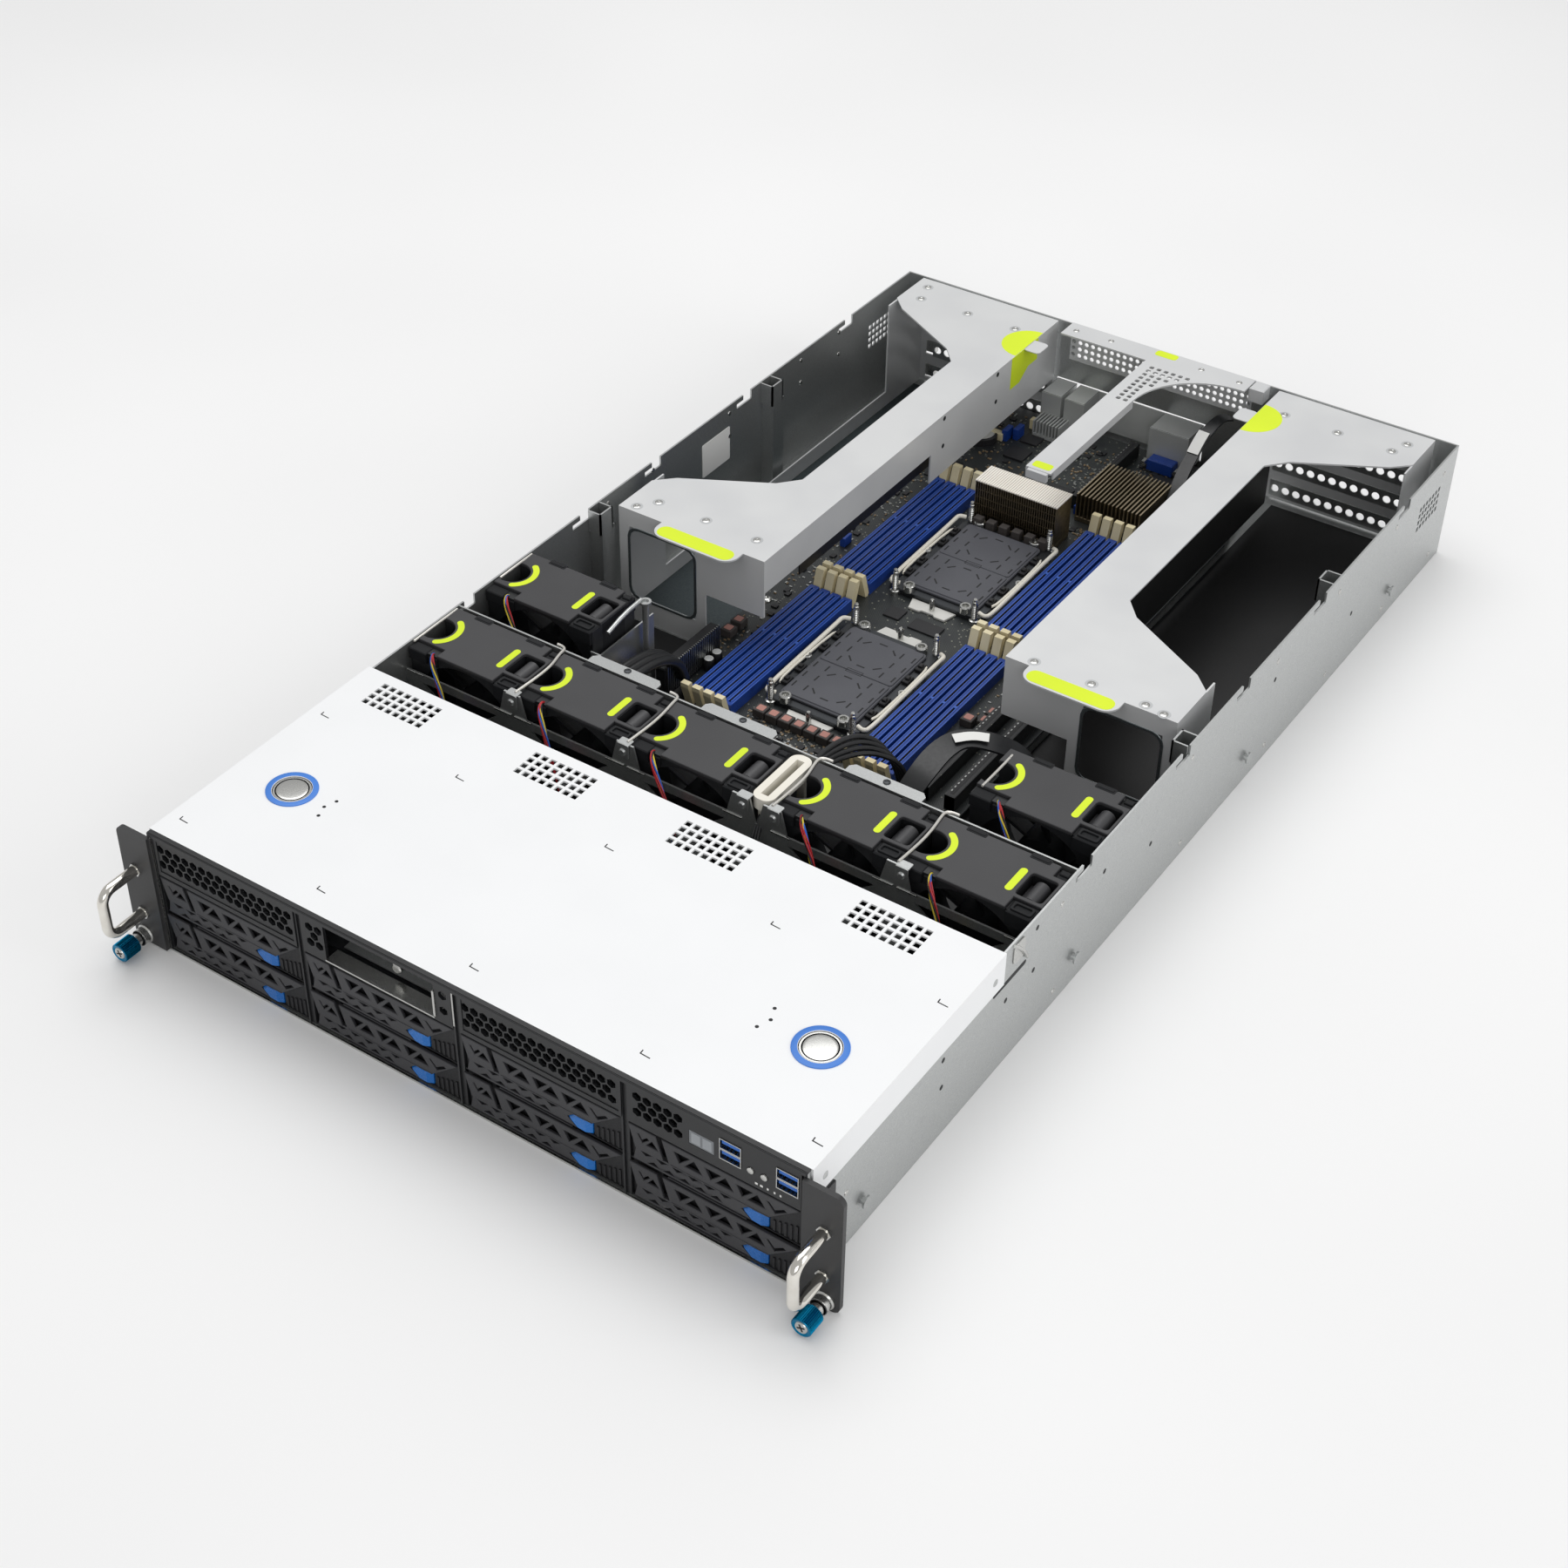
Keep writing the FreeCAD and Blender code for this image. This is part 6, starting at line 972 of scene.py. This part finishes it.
def makeSockets():
    s = socket
    frames, wires, clips, shield, caps, dashes = (bmesh.new() for _ in range(6))
    x, foot, top = s["x"], s["board"], s["board"] + s["rise"]
    rise, (long, thin) = top + s["capRise"], s["dash"]
    for middle in s["middles"]:
        plate(frames, "top", around(x, middle, *s["frame"]), foot, top, 0,
              [around(x, middle, *s["opening"])], 0.4)
        for _, sx in sides:
            for _, sy in sides:
                turned(wires, "z", (x + sx * s["nut"][0], middle + sy * s["nut"][1], top - 0.5), [
                    (4.2, 0), (4.2, 4.6), (3.7, 5.2), (2.4, 5.2), (2.2, 4.2), (2.2, 3.0), (0, 3.0)], 0, 20)
                high = s["stud"][2]
                thread = [step for k in range(9)
                          for step in ((2.3, 4.2 + 1.4 * k), (1.9, 4.2 + 1.4 * k + 0.7))]
                turned(wires, "z", (x + sx * s["stud"][0], middle + sy * s["stud"][1], foot), [
                    (0, 0), (3.4, 0), (3.4, 3.2), (2.3, 3.6), *thread, (1.9, high - 2.4), (1.5, high - 1.8),
                    (1.5, high - 0.4), (1.1, high), (0, high)], 0, 16)
            # retention wire: a long bar with a hooked end that pivots in the frame, and a thinner one inside
            w = x + sx * s["wire"]
            for radius, count, bends in (
                    (1.5, 10, ((-8, -44, 14), (-3, -46, 14), (0, -43, 14.4), (0, -10, 15.4), (0, 40, 16.4),
                               (0.5, 47, 16.4), (-4, 50, 15.2))),
                    (0.9, 8, ((-4.4, -34, 14.6), (-2.2, -28, 15), (-2.6, 28, 15), (-4.8, 33, 14.6)))):
                tube(wires, [(w + sx * u, middle + v, z) for u, v, z in bends], radius, 1, count, 2)
            turned(wires, "z", (x + sx * 36.6, middle, top - 2), [
                (3.4, 0), (3.4, 3.6), (2.8, 4.2), (1.6, 4.2), (1.4, 3.2), (0, 3.2)], 0, 18)
            for v in (-30, -14, 14, 30):
                for left, right, reach, low, high, ease in ((29.6, 34.4, 4, 0, 2.6, 0.5),
                                                            (30.6, 33.4, 1.6, 2.4, 4.2, 0.4)):
                    block(clips, (x + sx * left, middle + v - reach, top + low),
                          (x + sx * right, middle + v + reach, top + high), 0, ease)
        for _, sy in sides:
            if (middle, sy) == (s["middles"][1], 1):
                continue       # the regulator heatsink stands there
            lug = [(-17, 50.5), (17, 50.5), (14, 61), (6, 61), (4.5, 59.4), (-4.5, 59.4), (-6, 61), (-14, 61)]
            plate(shield, "top", [(x + u, middle + sy * v) for u, v in lug], foot + 0.1, foot + 1.9, ease=0.3)
            turned(wires, "z", (x + 1, middle + sy * 55, foot), [
                (0, 0), (1.9, 0), (1.9, 9), (1.2, 10.2), (0, 10.2)], 0, 14)
    finishPiece("socket_frames", frames, "darkSteel", replaced="cpu_sockets")
    finishPiece("socket_wires", wires, "steel guideCream")
    finishPiece("socket_clips", clips, "socketBlack")
    finishPiece("socket_plates", shield, "satinPlate")

    # the covers: two raised fields, each with dashes along its rims and across its corners
    for middle in s["middles"]:
        plate(caps, "top", around(x, middle, *s["cap"]), top, rise - 0.8, ease=0.5)
        for _, sy in sides:
            low, high = sorted((sy * 0.25, sy * 42.6))
            plate(caps, "top", moved(boxed(-27.6, low, 27.6, high, 2.2), x, middle),
                  rise - 0.9, rise, ease=0.35)
            centre = middle + sy * 21.5
            for u in (-25.2, -16.2, 16.2, 25.2):
                for v in (-14.5, -2, 10.5):
                    block(dashes, (x + u - thin, centre + v * sy - long, rise - 0.05),
                          (x + u + thin, centre + v * sy + long, rise + 0.1))
            for v in (-14.2, 14.2):
                block(dashes, (x - long, centre + v - thin, rise - 0.05),
                      (x + long, centre + v + thin, rise + 0.1))
            for _, sx in sides:
                for _, tilt in sides:
                    plate(dashes, "top", spun(boxed(-long, -thin, long, thin), math.radians(-45 * sx * tilt),
                                              x + sx * 10.4, centre + tilt * 10.4), rise - 0.05, rise + 0.1)
        plate(dashes, "top", around(x, middle, 6, 2), rise - 0.05, rise + 0.06, 0,
              [around(x, middle, 5.5, 1.5)])
    finishPiece("socket_caps", caps, "capGrey", replaced="socket_covers")
    finishPiece("cap_dashes", dashes, "trayInner")
    print("sockets ready")


# memory banks: ribs in a paler blue, a painted highlight along the slot tops, and gold contacts in each of
# four slots
bank = {"xs": (-88.5, 32.5), "ys": (424.0, 588.0), "pitch": 8.7, "first": -13.05, "top": 17.5}


def makeBanks():
    rib, pins = bmesh.new(), bmesh.new()
    for _, side in sides:
        block(rib, (side * 1.05 - 0.3, -67.5, 0), (side * 1.05 + 0.3, 67.5, 0.28))
        block(rib, (side * 3.0 - 0.22, -69.5, 0), (side * 3.0 + 0.22, 69.5, 0.16))
        block(pins, (side * 0.78 - 0.1, -66, -4.4), (side * 0.78 + 0.1, 66, -0.5))
    block(rib, (-0.85, 8, -4.6), (0.85, 10, 0.2))
    places = [(x + bank["first"] + bank["pitch"] * k, y, bank["top"])
              for x in bank["xs"] for y in bank["ys"] for k in range(4)]
    # the ribs on the slot tops are a paler blue, a painted highlight
    repeated("slot_ribs", rib, places, "dimmHighlight")
    repeated("slot_contacts", pins, places, "gold")
    print("memory banks ready")


# heatsinks: left, right, front, back, top; count of fins, first fin, half a fin, half a crest, crest's depth
# the crests take a pale finish, painted light on the lit fin tops, over bronze fins and bases that are
# painted shade
sinks = {"regulator": ((-60.0, 4.0, 634.0, 656.0, 44.5), (36, 0.3, 0.3, 0.69, 0.9), "finTopHighlight"),
         "chipset": ((-3.0, 47.0, 677.5, 726.5, 31.0), (17, 0.6, 0.55, 0.55, 0.4), "finEdgeHighlight")}
sinkBase = (9.05, 13.0)


def makeHeatsinks():
    base = bmesh.new()
    foot, floor = sinkBase
    for name, ((left, right, front, back, _), _, _) in sinks.items():
        block(base, (left, front, foot), (right, back, floor), 0, 0.3)
        if name == "regulator":
            for z in (19, 25, 31, 37):      # the cross cuts show as thin shelves between the fins
                block(base, (left + 0.3, front + 0.6, z), (right - 0.3, back - 0.6, z + 0.5))
    finishPiece("sink_bases", base, "finBronze", replaced="heatsinks")
    for name, (room, fins, finish) in sinks.items():
        left, right, front, back, top = room
        count, first, half, halfCrest, depth = fins
        step = (right - left - 2 * first) / (count - 1)
        rows = [(left + first + step * i, 0, 0) for i in range(count)]
        fin, crest = bmesh.new(), bmesh.new()
        block(fin, (-half, front, floor - 0.1), (half, back, top - depth))
        repeated(name + "_fins", fin, rows, "finBronze")
        # the crest is a lighter copy of the fin metal, painted light on the top of each fin
        block(crest, (-halfCrest, front, top - depth), (halfCrest, back, top))
        repeated(name + "_crests", crest, rows, finish)
    print("heatsinks ready")


# small parts on the board; nothing is scattered inside the kept-out boxes (left, low, right, high)
board = {"top": 9.0, "counts": (620, 760, 110), "shieldTop": 39.2}
keepOut = [(-108, 340, -68, 680), (-70, 370, 12, 640), (14, 340, 52, 680), (-62, 630, 6, 660),
           (-5, 670, 50, 730), (-132, 337, -92, 378), (62, 350, 96, 474), (-128, 722, -98, 750),
           (-90, 720, -60, 790), (-90, 774, 36, 800), (-14, 680, -4, 780), (53, 688, 62, 780),
           (30, 732, 43, 742), (78, 770, 98, 790)]
busy = (-66, 480, 10, 528)      # the busiest zone, between the sockets, is drawn three times as often
zones = [(-130, 380, -108, 780), busy, busy, busy, (52, 345, 96, 690), (-130, 660, -60, 780),
         (-20, 655, 55, 672), (-66, 345, 12, 372), (0, 728, 70, 772), (62, 480, 96, 770), (-60, 658, -6, 775)]
# x, y, width, depth, height, finish
chips = [(-79, 730, 16, 16, 2.0, 0), (-80, 753, 14, 12, 1.6, 0), (30, 752, 26, 20, 1.8, 0),
         (-20, 505, 22, 12, 1.4, 0), (-46, 508, 12, 12, 1.4, 0), (84, 500, 12, 14, 1.6, 0),
         (84, 600, 14, 14, 1.6, 0), (-30, 700, 20, 18, 2.0, 0), (-97, 746, 4, 10, 9, 3),
         (-91, 752, 4, 10, 9, 3), (-103, 742, 10, 5, 6, 4), (-88, 770, 5, 5, 8, 4),
         (58, 505, 4, 14, 8, 3), (-119, 560, 4, 9, 7, 3), (-6, 690, 3, 12, 7, 3)]
coils = [*((-28 + 9.6 * (i - 3), 365) for i in range(7)),
         (-124, 425), (-124, 437), (56, 432), (66, 436), (66, 446)]
# x, y, radius, height
cans = [(33, 672.6, 3.1, 9.5), (43.5, 672.6, 3.1, 9.5), (-121, 395, 3.6, 9), (-112.5, 395, 3.6, 9),
        (27, 736, 4.05, 9.1), (37, 736, 4.05, 9.1), (-121, 386, 3.6, 9), (-112.5, 386, 3.6, 9)]
cardSlots = ((67.9, 352, 120), (86.1, 352, 120), (-12.5, 690, 89), (54, 690, 89))
boardScrews = [(-115, 705, 9), (-126, 472, 9), (65, 473, 9), (-20, 668, 9), (90, 745, 9)]
# points, width, thickness, finish, lift
ribbons = [([(76, 298, 24), (84, 322, 52), (86, 345, 60), (93, 360, 62), (110, 368, 60), (127, 376, 52),
             (136, 384, 34), (140, 392, 20)], 17, 1.4, 0, 0.0),
           ([(89, 353, 62.6), (97, 361.5, 63), (106, 366, 62.2)], 8, 0.3, 1, 1.0),
           ([(58, 786, 60), (54, 778, 62), (50, 765, 55), (49, 752, 46), (49, 738, 38), (51, 724, 30),
             (53, 712, 18)], 9, 1.3, 0, 0.0),
           ([(49.4, 764, 55.4), (48.8, 756, 50), (48.8, 749, 45)], 8.6, 0.3, 1, 1.0)]


def scatter(count, room):
    # random places in the zones, at least this far from every kept-out box
    places = []
    while len(places) < count:
        left, low, right, high = random.choice(zones)
        x, y = random.uniform(left, right), random.uniform(low, high)
        if not any(west - room < x < east + room and south - room < y < north + room
                   for west, south, east, north in keepOut):
            places.append((x, y, board["top"], 0, 0, random.choice((0, 90))))
    return places


def flatCable(mesh, points, width, thick, finish, lift):
    # a ribbon along the points, lying across its own heading
    path = rounded(points, 2)
    rings = []
    for i, point in enumerate(path):
        heading = (path[min(i + 1, len(path) - 1)] - path[max(i - 1, 0)]).normalized()
        across = Vector((heading.y, -heading.x, 0)).normalized() * width / 2
        up = across.cross(heading).normalized() * thick / 2
        if up.z < 0:
            up = -up
        centre = point + Vector((0, 0, lift))
        rings.append([mesh.verts.new(centre + across * a + up * b)
                      for a, b in ((-1, -1), (1, -1), (1, 1), (-1, 1))])
    before = len(mesh.faces)
    joinRings(mesh, rings, finish)
    addFace(mesh, rings[0][::-1], finish)
    addFace(mesh, rings[-1], finish)
    bmesh.ops.recalc_face_normals(mesh, faces=list(mesh.faces)[before:])


def makeBoard():
    top = board["top"]
    for name, low, high, ease, count, room, finish in (
            ("chip_capacitors", (-0.9, -0.5, 0), (0.9, 0.5, 0.7), 0, board["counts"][0], 1, "ceramicTan"),
            ("chip_resistors", (-1.0, -0.55, 0), (1.0, 0.55, 0.5), 0, board["counts"][1], 1, "tinned"),
            ("small_chips", (-2.2, -1.8, 0), (2.2, 1.8, 1.2), 0.15, board["counts"][2], 2.5, "epoxy")):
        part = bmesh.new()
        block(part, low, high, 0, ease)
        repeated(name, part, scatter(count, room), finish)

    parts, wound, tins, cooler, shells, mouths, video, slots, flat = (bmesh.new() for _ in range(9))
    for x, y, wide, deep, high, finish in chips:
        block(parts, (x - wide / 2, y - deep / 2, top), (x + wide / 2, y + deep / 2, top + high), finish, 0.2)
    for i in range(6):
        block(parts, (-55 + 10.2 * i, 624.5, top), (-48.6 + 10.2 * i, 630, 20.5), 1, 0.4)
    # coin cell holder with its cell
    turned(parts, "z", (-113, 735, top),
           [(12.2, 0), (12.2, 5.0), (11.4, 5.8), (10.4, 5.8), (10.2, 5.0)], 0, 32)
    turned(parts, "z", (-113, 735, top), [(10.2, 4.6), (10.0, 5.4), (8.6, 5.7), (0, 5.7)], 2, 32)
    finishPiece("board_chips", parts, "epoxy chokeGrey satinPlate dimmBlue cream")
    for x, y in coils:
        block(wound, (x - 4.15, y - 4.15, top), (x + 4.15, y + 4.15, 15.1), 0, 0.4)
        plate(wound, "top", around(x, y, 2.7, 2.7, 0.8), 15.05, 15.35, 1, (), 0.1)
    finishPiece("regulator_coils", wound, "chokeGrey copper")
    for x, y, radius, high in cans:
        turned(tins, "z", (x, y, top), [(radius, 0), (radius, high - 0.8), (radius - 0.5, high)], 0, 20)
        turned(tins, "z", (x, y, top),
               [(radius - 0.5, high), (radius - 0.7, high + 0.15), (0, high + 0.15)], 1, 20)
    finishPiece("capacitor_cans", tins, "socketBlack canTop")
    block(cooler, (-84, 760, 9.2), (-62, 776, 11.5))
    for i in range(9):
        block(cooler, (-84 + 2.6 * i, 760, 11.4), (-82.9 + 2.6 * i, 776, 22))
    finishPiece("network_cooler", cooler, "silverFin")

    for left, wide in ((-86, 16), (-67, 16), (3, 31)):
        block(shells, (left - 0.15, 774.6, top), (left + wide + 0.15, 798.6, board["shieldTop"]), 0, 0.6)
        # the mouths of the ports are thin near-black plates, painted shade inside the ports
        for low in (12, 26):
            block(mouths, (left + 1.6, 798.5, low), (left + wide - 1.6, 798.75, low + 11))
    # port shield between the shells
    block(shells, (-50.8, 797.4, 9.1), (2.8, 798.4, board["shieldTop"]))
    finishPiece("rear_shells", shells, "silverFin")
    finishPiece("rear_mouths", mouths, "trayInner")
    block(video, (8, 765, 9.2), (28, 774.5, 19), 0, 0.8)
    for x in (5, 31):
        turned(video, "y", (x, 0, 14), [(0, 764), (2.3, 764.4), (2.3, 770)], 1, 6)
    finishPiece("display_port", video, "dimmBlue steel")

    for x, y, length in cardSlots:
        block(slots, (x - 0.1, y, top), (x + 7.1, y + length, 20.1), 0, 0.5)
        # the opening along the top is a near-black strip, painted shade in the slot
        block(slots, (x + 2.4, y + 3, 20.05), (x + 4.6, y + length - 3, 20.25), 1)
        for k in range(int(length / 4) - 2):
            block(slots, (x + 1.4, y + 5 + 4 * k, 20.05), (x + 2.2, y + 6.6 + 4 * k, 20.3), 2)
    # tall edge connector with its comb of pins beside the rear left fan
    block(slots, (-124, 344, top), (-117, 404, 32), 0, 0.6)
    for k in range(28):
        block(slots, (-116.9, 345.5 + 2.1 * k, 12), (-115.6, 346.4 + 2.1 * k, 33), 2)
    finishPiece("card_slots", slots, "socketBlack trayInner tinned")
    repeated("board_screws", screwHead(3.6, 2.2), boardScrews, "steel")
    for ribbon in ribbons:
        flatCable(flat, *ribbon)
    finishPiece("flat_cables", flat, "wireBlack white")
    print("board ready")


# accelerator cages: x values are for the right one, apart from the screws
cage = {"top": 87.5, "paint": 0.12, "tabX": 136.5, "tabHalf": 29.0, "tabY": (399.6, 411.4), "skirt": 88.0,
        "bow": (88.2, 752, 20), "screws": {
            -1: [(-193, 419), (-184, 431), (-146, 431), (-106, 431),
                 (-193, 784), (-188, 766), (-148, 766), (-108, 766)],
            1: [(105, 418), (144, 418), (180, 418), (193, 416),
                (105, 767), (145, 766), (185, 765), (190, 779)]},
        "holes": [(634, 84), (634, 62), (707, 84), (707, 62)], "card": 20.32, "ribs": (440, 520, 600, 680)}


def makeCages():
    # screws, lime touch points, card brackets and pressed ribs, all riding on their cage
    c = cage
    for label, side in sides:
        name = "gpu_cage_" + label
        rings, marks, tab, holes, cell, bars, ribs = (bmesh.new() for _ in range(7))
        spots = [(x, y, c["top"] - 0.05) for x, y in c["screws"][side]]
        repeated("screws_of_" + name, screwHead(2.6, 0.6), spots, "steel", name)
        # a flat ring in the darker copy round each screw is painted shade in its dimple
        turned(rings, "z", (0, 0, 0), [(4.2, 0), (4.1, 0.12), (2.9, 0.12), (2.8, 0)])
        repeated("dimples_of_" + name, rings, spots, "coverShade", name)

        x, (low, high) = side * c["tabX"], c["tabY"]
        plate(marks, "top", boxed(x - c["tabHalf"], low, x + c["tabHalf"], high, 5.6, 6),
              c["top"], c["top"] + c["paint"])
        x, y, radius = c["bow"]
        start = 90 if side < 0 else -90
        plate(marks, "top", arcPoints(side * x, y, radius, start, start + 180, 20),
              c["top"], c["top"] + c["paint"])
        if side < 0:
            plate(marks, "side", [(727, 87.4), (765, 87.4), (765, 70), (752, 70), (740, 62), (727, 62)],
                  -87.98, -87.8)
        finishPiece("touch_marks_of_" + name, marks, "lime", name)
        # the holes in the skirt are flat near-black discs, painted shade in the holes
        for y, z in c["holes"]:
            turned(holes, "x", (side * (c["skirt"] - 0.05), y, z),
                   [(1.8, -0.06 * side), (1.8, 0.0), (0, 0.0)], 0, 12)
        finishPiece("skirt_holes_of_" + name, holes, "trayInner", name)
        plate(tab, "top", boxed(side * (c["skirt"] + 1), 744, side * (c["skirt"] - 12), 760, 3),
              86.4, 87.4, ease=0.2)
        finishPiece("latch_of_" + name, tab, "coverGrey", name)

        # four card brackets behind, each with a row of round holes
        plate(cell, "front", boxed(-4.1, -6.2, 4.1, 6.2), 0, 0.8, 0, [disc(0, 0, 2.9, 14)])
        spots = [(side * (96.5 + 8.2 * i), 792.9, 11.5 + c["card"] * row)
                 for i in range(12) for row in range(4)]
        repeated("brackets_of_" + name, cell, spots, "galvanised", name)
        for row in range(4):
            z = 5.5 + c["card"] * row
            block(bars, (side * 94.5, 795.0, z + 12.6), (side * 197, 796.2, z + 14.2))
            block(bars, (side * 190, 795, z + 1), (side * 198, 799.4, z + 11), 0, 0.6)
        finishPiece("bracket_lugs_of_" + name, bars, "steel", name)

        # ribs pressed into the walls and the bright bent edge of the front wall
        # the ribs and the bent edge are a darker galvanised, painted shade on the cage walls
        for low in c["ribs"]:
            plate(ribs, "side", boxed(low, 8, low + 60, 11.5, 1.5), side * 203.5, side * 204.0)
        plate(ribs, "front", boxed(side * 141.2, 18.8, side * 196.5, 75.2, 8), 412.4, 413.05, 0,
              [boxed(side * 143.2, 20.8, side * 194.5, 73.2, 7)], 0.2)
        finishPiece("wall_ribs_of_" + name, ribs, "cageShadeSteel", name)
    print("cages ready")


# riser bracket: bar, stem and flare with square holes
riser = {"left": -78.0, "right": 68.0, "bar": 780.0, "back": 798.8, "stemLeft": -9.0, "stemRight": 10.0,
         "front": 608.0, "flare": 55.0, "top": 87.5, "sheet": 1.2, "low": 58.0, "hole": 3.4, "holePitch": 5.6,
         "vent": (1.75, 5.2), "paint": 0.12, "marks": ((-6.5, 610.5, 7.5, 618, 2), (-8, 790.5, 9, 798, 2.5)),
         "screws": [(-70, 789, 87.45), (-42, 790, 87.45), (30, 790, 87.45), (60, 789, 87.45)]}


def makeRiser():
    r = riser
    left, right, bar, back, front, top = r["left"], r["right"], r["bar"], r["back"], r["front"], r["top"]
    stemLeft, stemRight, flare, hole = r["stemLeft"], r["stemRight"], r["flare"], r["hole"]
    under = top - r["sheet"]
    edge, cell, marks, corner = (bmesh.new() for _ in range(4))
    centre = (stemRight + flare, bar - flare)
    outline = [(stemLeft, front), (stemRight, front), *arcPoints(*centre, flare, 180, 90, 14), (right, bar),
               (right, back), (left, back), (left, bar), (stemLeft, bar)]
    holes = []
    for row in range(10):
        for column in range(9):
            x, y = -2 + r["holePitch"] * column, 771 - r["holePitch"] * row
            far = math.hypot(x + hole / 2 - centre[0], y + hole / 2 - centre[1])
            if y > 720 and far > flare + 4.2 and x + hole < centre[0]:
                holes.append(boxed(x, y, x + hole, y + hole, 0.6, 1))
    plate(edge, "top", outline, under, top, 0, holes)
    for low, high in (((stemLeft, front, 79), (stemLeft + 1.2, bar, under)),
                      ((stemRight - 1.2, front + 4, 81), (stemRight, bar - flare, under)),
                      ((left, back - 1.2, 76), (right, back, under)),
                      ((left, back - 1.2, r["low"]), (right, back, 60.2))):
        block(edge, low, high)
    block(edge, (stemLeft + 2, front - 2.6, 80.4), (stemRight - 2, front + 0.4, top - 0.6), 0, 0.3)
    finishPiece("riser_bracket", edge, "coverGrey", "center_riser", "center_riser")
    radius, pitch = r["vent"]
    plate(cell, "front", around(0, 0, pitch / 2, pitch / 2), 0, 1.0, 0, [disc(0, 0, radius, 8)])
    spots = [(left + pitch / 2 + pitch * i, back - 1.1, r["low"] + 4.8 + pitch * row)
             for i in range(28) for row in range(3)]
    repeated("riser_vents", cell, spots, "coverGrey", "center_riser")
    for mark in r["marks"]:
        plate(marks, "top", boxed(*mark), top, top + r["paint"])
    finishPiece("riser_marks", marks, "lime", "center_riser")
    repeated("riser_screws", screwHead(2.2, 0.55), r["screws"], "steel", "center_riser")
    block(corner, (68.4, 787.6, 76), (79.6, 799.4, 87.3), 0, 0.8)
    finishPiece("corner_block", corner, "coverGrey")
    print("riser ready")


# side walls: rivets, holes, the sliding latch and bright cut edges
wall = {"outer": 218.8, "inner": 217.55,
        "holes": [(127, 57), (127, 37), (192, 48), (222, 78), (222, 47),
                  (300, 62), (360, 40), (520, 60), (640, 40)],
        "rivets": (36, 250, 405, 520, 610, 700, 780), "innerRivets": (226, 262, 300, 420, 470, 560, 650, 700),
        "channels": (398.2, 598.2)}


def makeWalls():
    w = wall
    dark, rivet, trims, tags, rims, shadeFilms = (bmesh.new() for _ in range(6))
    places = []
    for _, side in sides:
        outer = side * w["outer"]
        # the holes and the slot are flat near-black discs and plates, painted shade in the holes
        for y, z in w["holes"]:
            turned(dark, "x", (outer, y, z), [(1.7, 0), (1.7, side * 0.06), (0, side * 0.06)], 0, 14)
        plate(dark, "side", boxed(177, 60.2, 212, 63.4, 1.5), outer, side * (w["outer"] + 0.06))
        places += [(outer, y, z, 0, 0, 90 - 90 * side)
                   for y in w["rivets"] for z in (9, 74 if y > 200 else 40)]
        places += [(side * w["inner"], y, z, 0, 0, 90 + 90 * side)
                   for y in w["innerRivets"] for z in (62, 80)]
        bend = ((219.2, 196, 84.5), (219.9, 200, 81), (220.4, 206, 74), (219.6, 211, 66))
        tube(trims, [(side * x, y, z) for x, y, z in bend], 1.1, 0, 8, 2)
        plate(trims, "side", boxed(196, 70, 208, 84, 3), outer, side * (w["outer"] + 0.8), ease=0.2)
        # upper ends of the guide channels, above the ones that the tray carries
        for front in w["channels"]:
            for low in (front, front + 12.0):
                block(rims, (side * 217.5, low, 70), (side * 207.3, low + 1.2, 86))
            block(rims, (side * 208.5, front, 70), (side * 207.3, front + 13.2, 86))
    turned(rivet, "x", (0, 0, 0), [(1.9, 0), (1.7, 0.35), (0.9, 0.6), (0, 0.65)], 0, 14)
    block(trims, (-217.5, -0.5, 0.05), (217.5, 0.9, 1.25), 0, 0.15)
    block(trims, (-217.6, -0.45, 1.2), (-216.7, 0.6, 84), 0, 0.1)
    plate(tags, "side", boxed(527, 44, 560, 70, 1), -217.6, -217.3)
    # black sheets on the floor between the fans and inside both cages are painted shade; the left cage's
    # sheet is a dark copy of the galvanised floor
    block(shadeFilms, (-216, 206, 1.21), (216, 412, 1.28))
    block(shadeFilms, (-133, 414, 1.32), (-203, 786, 1.62), 1)
    block(shadeFilms, (98.6, 414, 1.32), (203, 786, 1.62))
    finishPiece("wall_holes", dark, "trayInner")
    repeated("wall_rivets", rivet, places, "steel")
    finishPiece("bright_edges", trims, "steel")
    finishPiece("bare_label", tags, "white")
    finishPiece("channel_rims", rims, "galvanised")
    finishPiece("floor_films", shadeFilms, "filmBlack shadeSteel")
    for label, side in sides:
        panel = bmesh.new()
        block(panel, (side * 98.2, 470, 12 if side > 0 else 42), (side * 99.2, 770, 80))
        finishPiece("card_panel_of_gpu_cage_" + label, panel, "filmBlack", "gpu_cage_" + label)
    print("walls ready")


makeStudio()
dressNodes()
makeLid()
makeControls()
makeStrip()
makeTrays()
makeEars()
makeFans()
makeFanCage()
makeSockets()
makeBanks()
makeHeatsinks()
makeBoard()
makeCages()
makeRiser()
makeWalls()
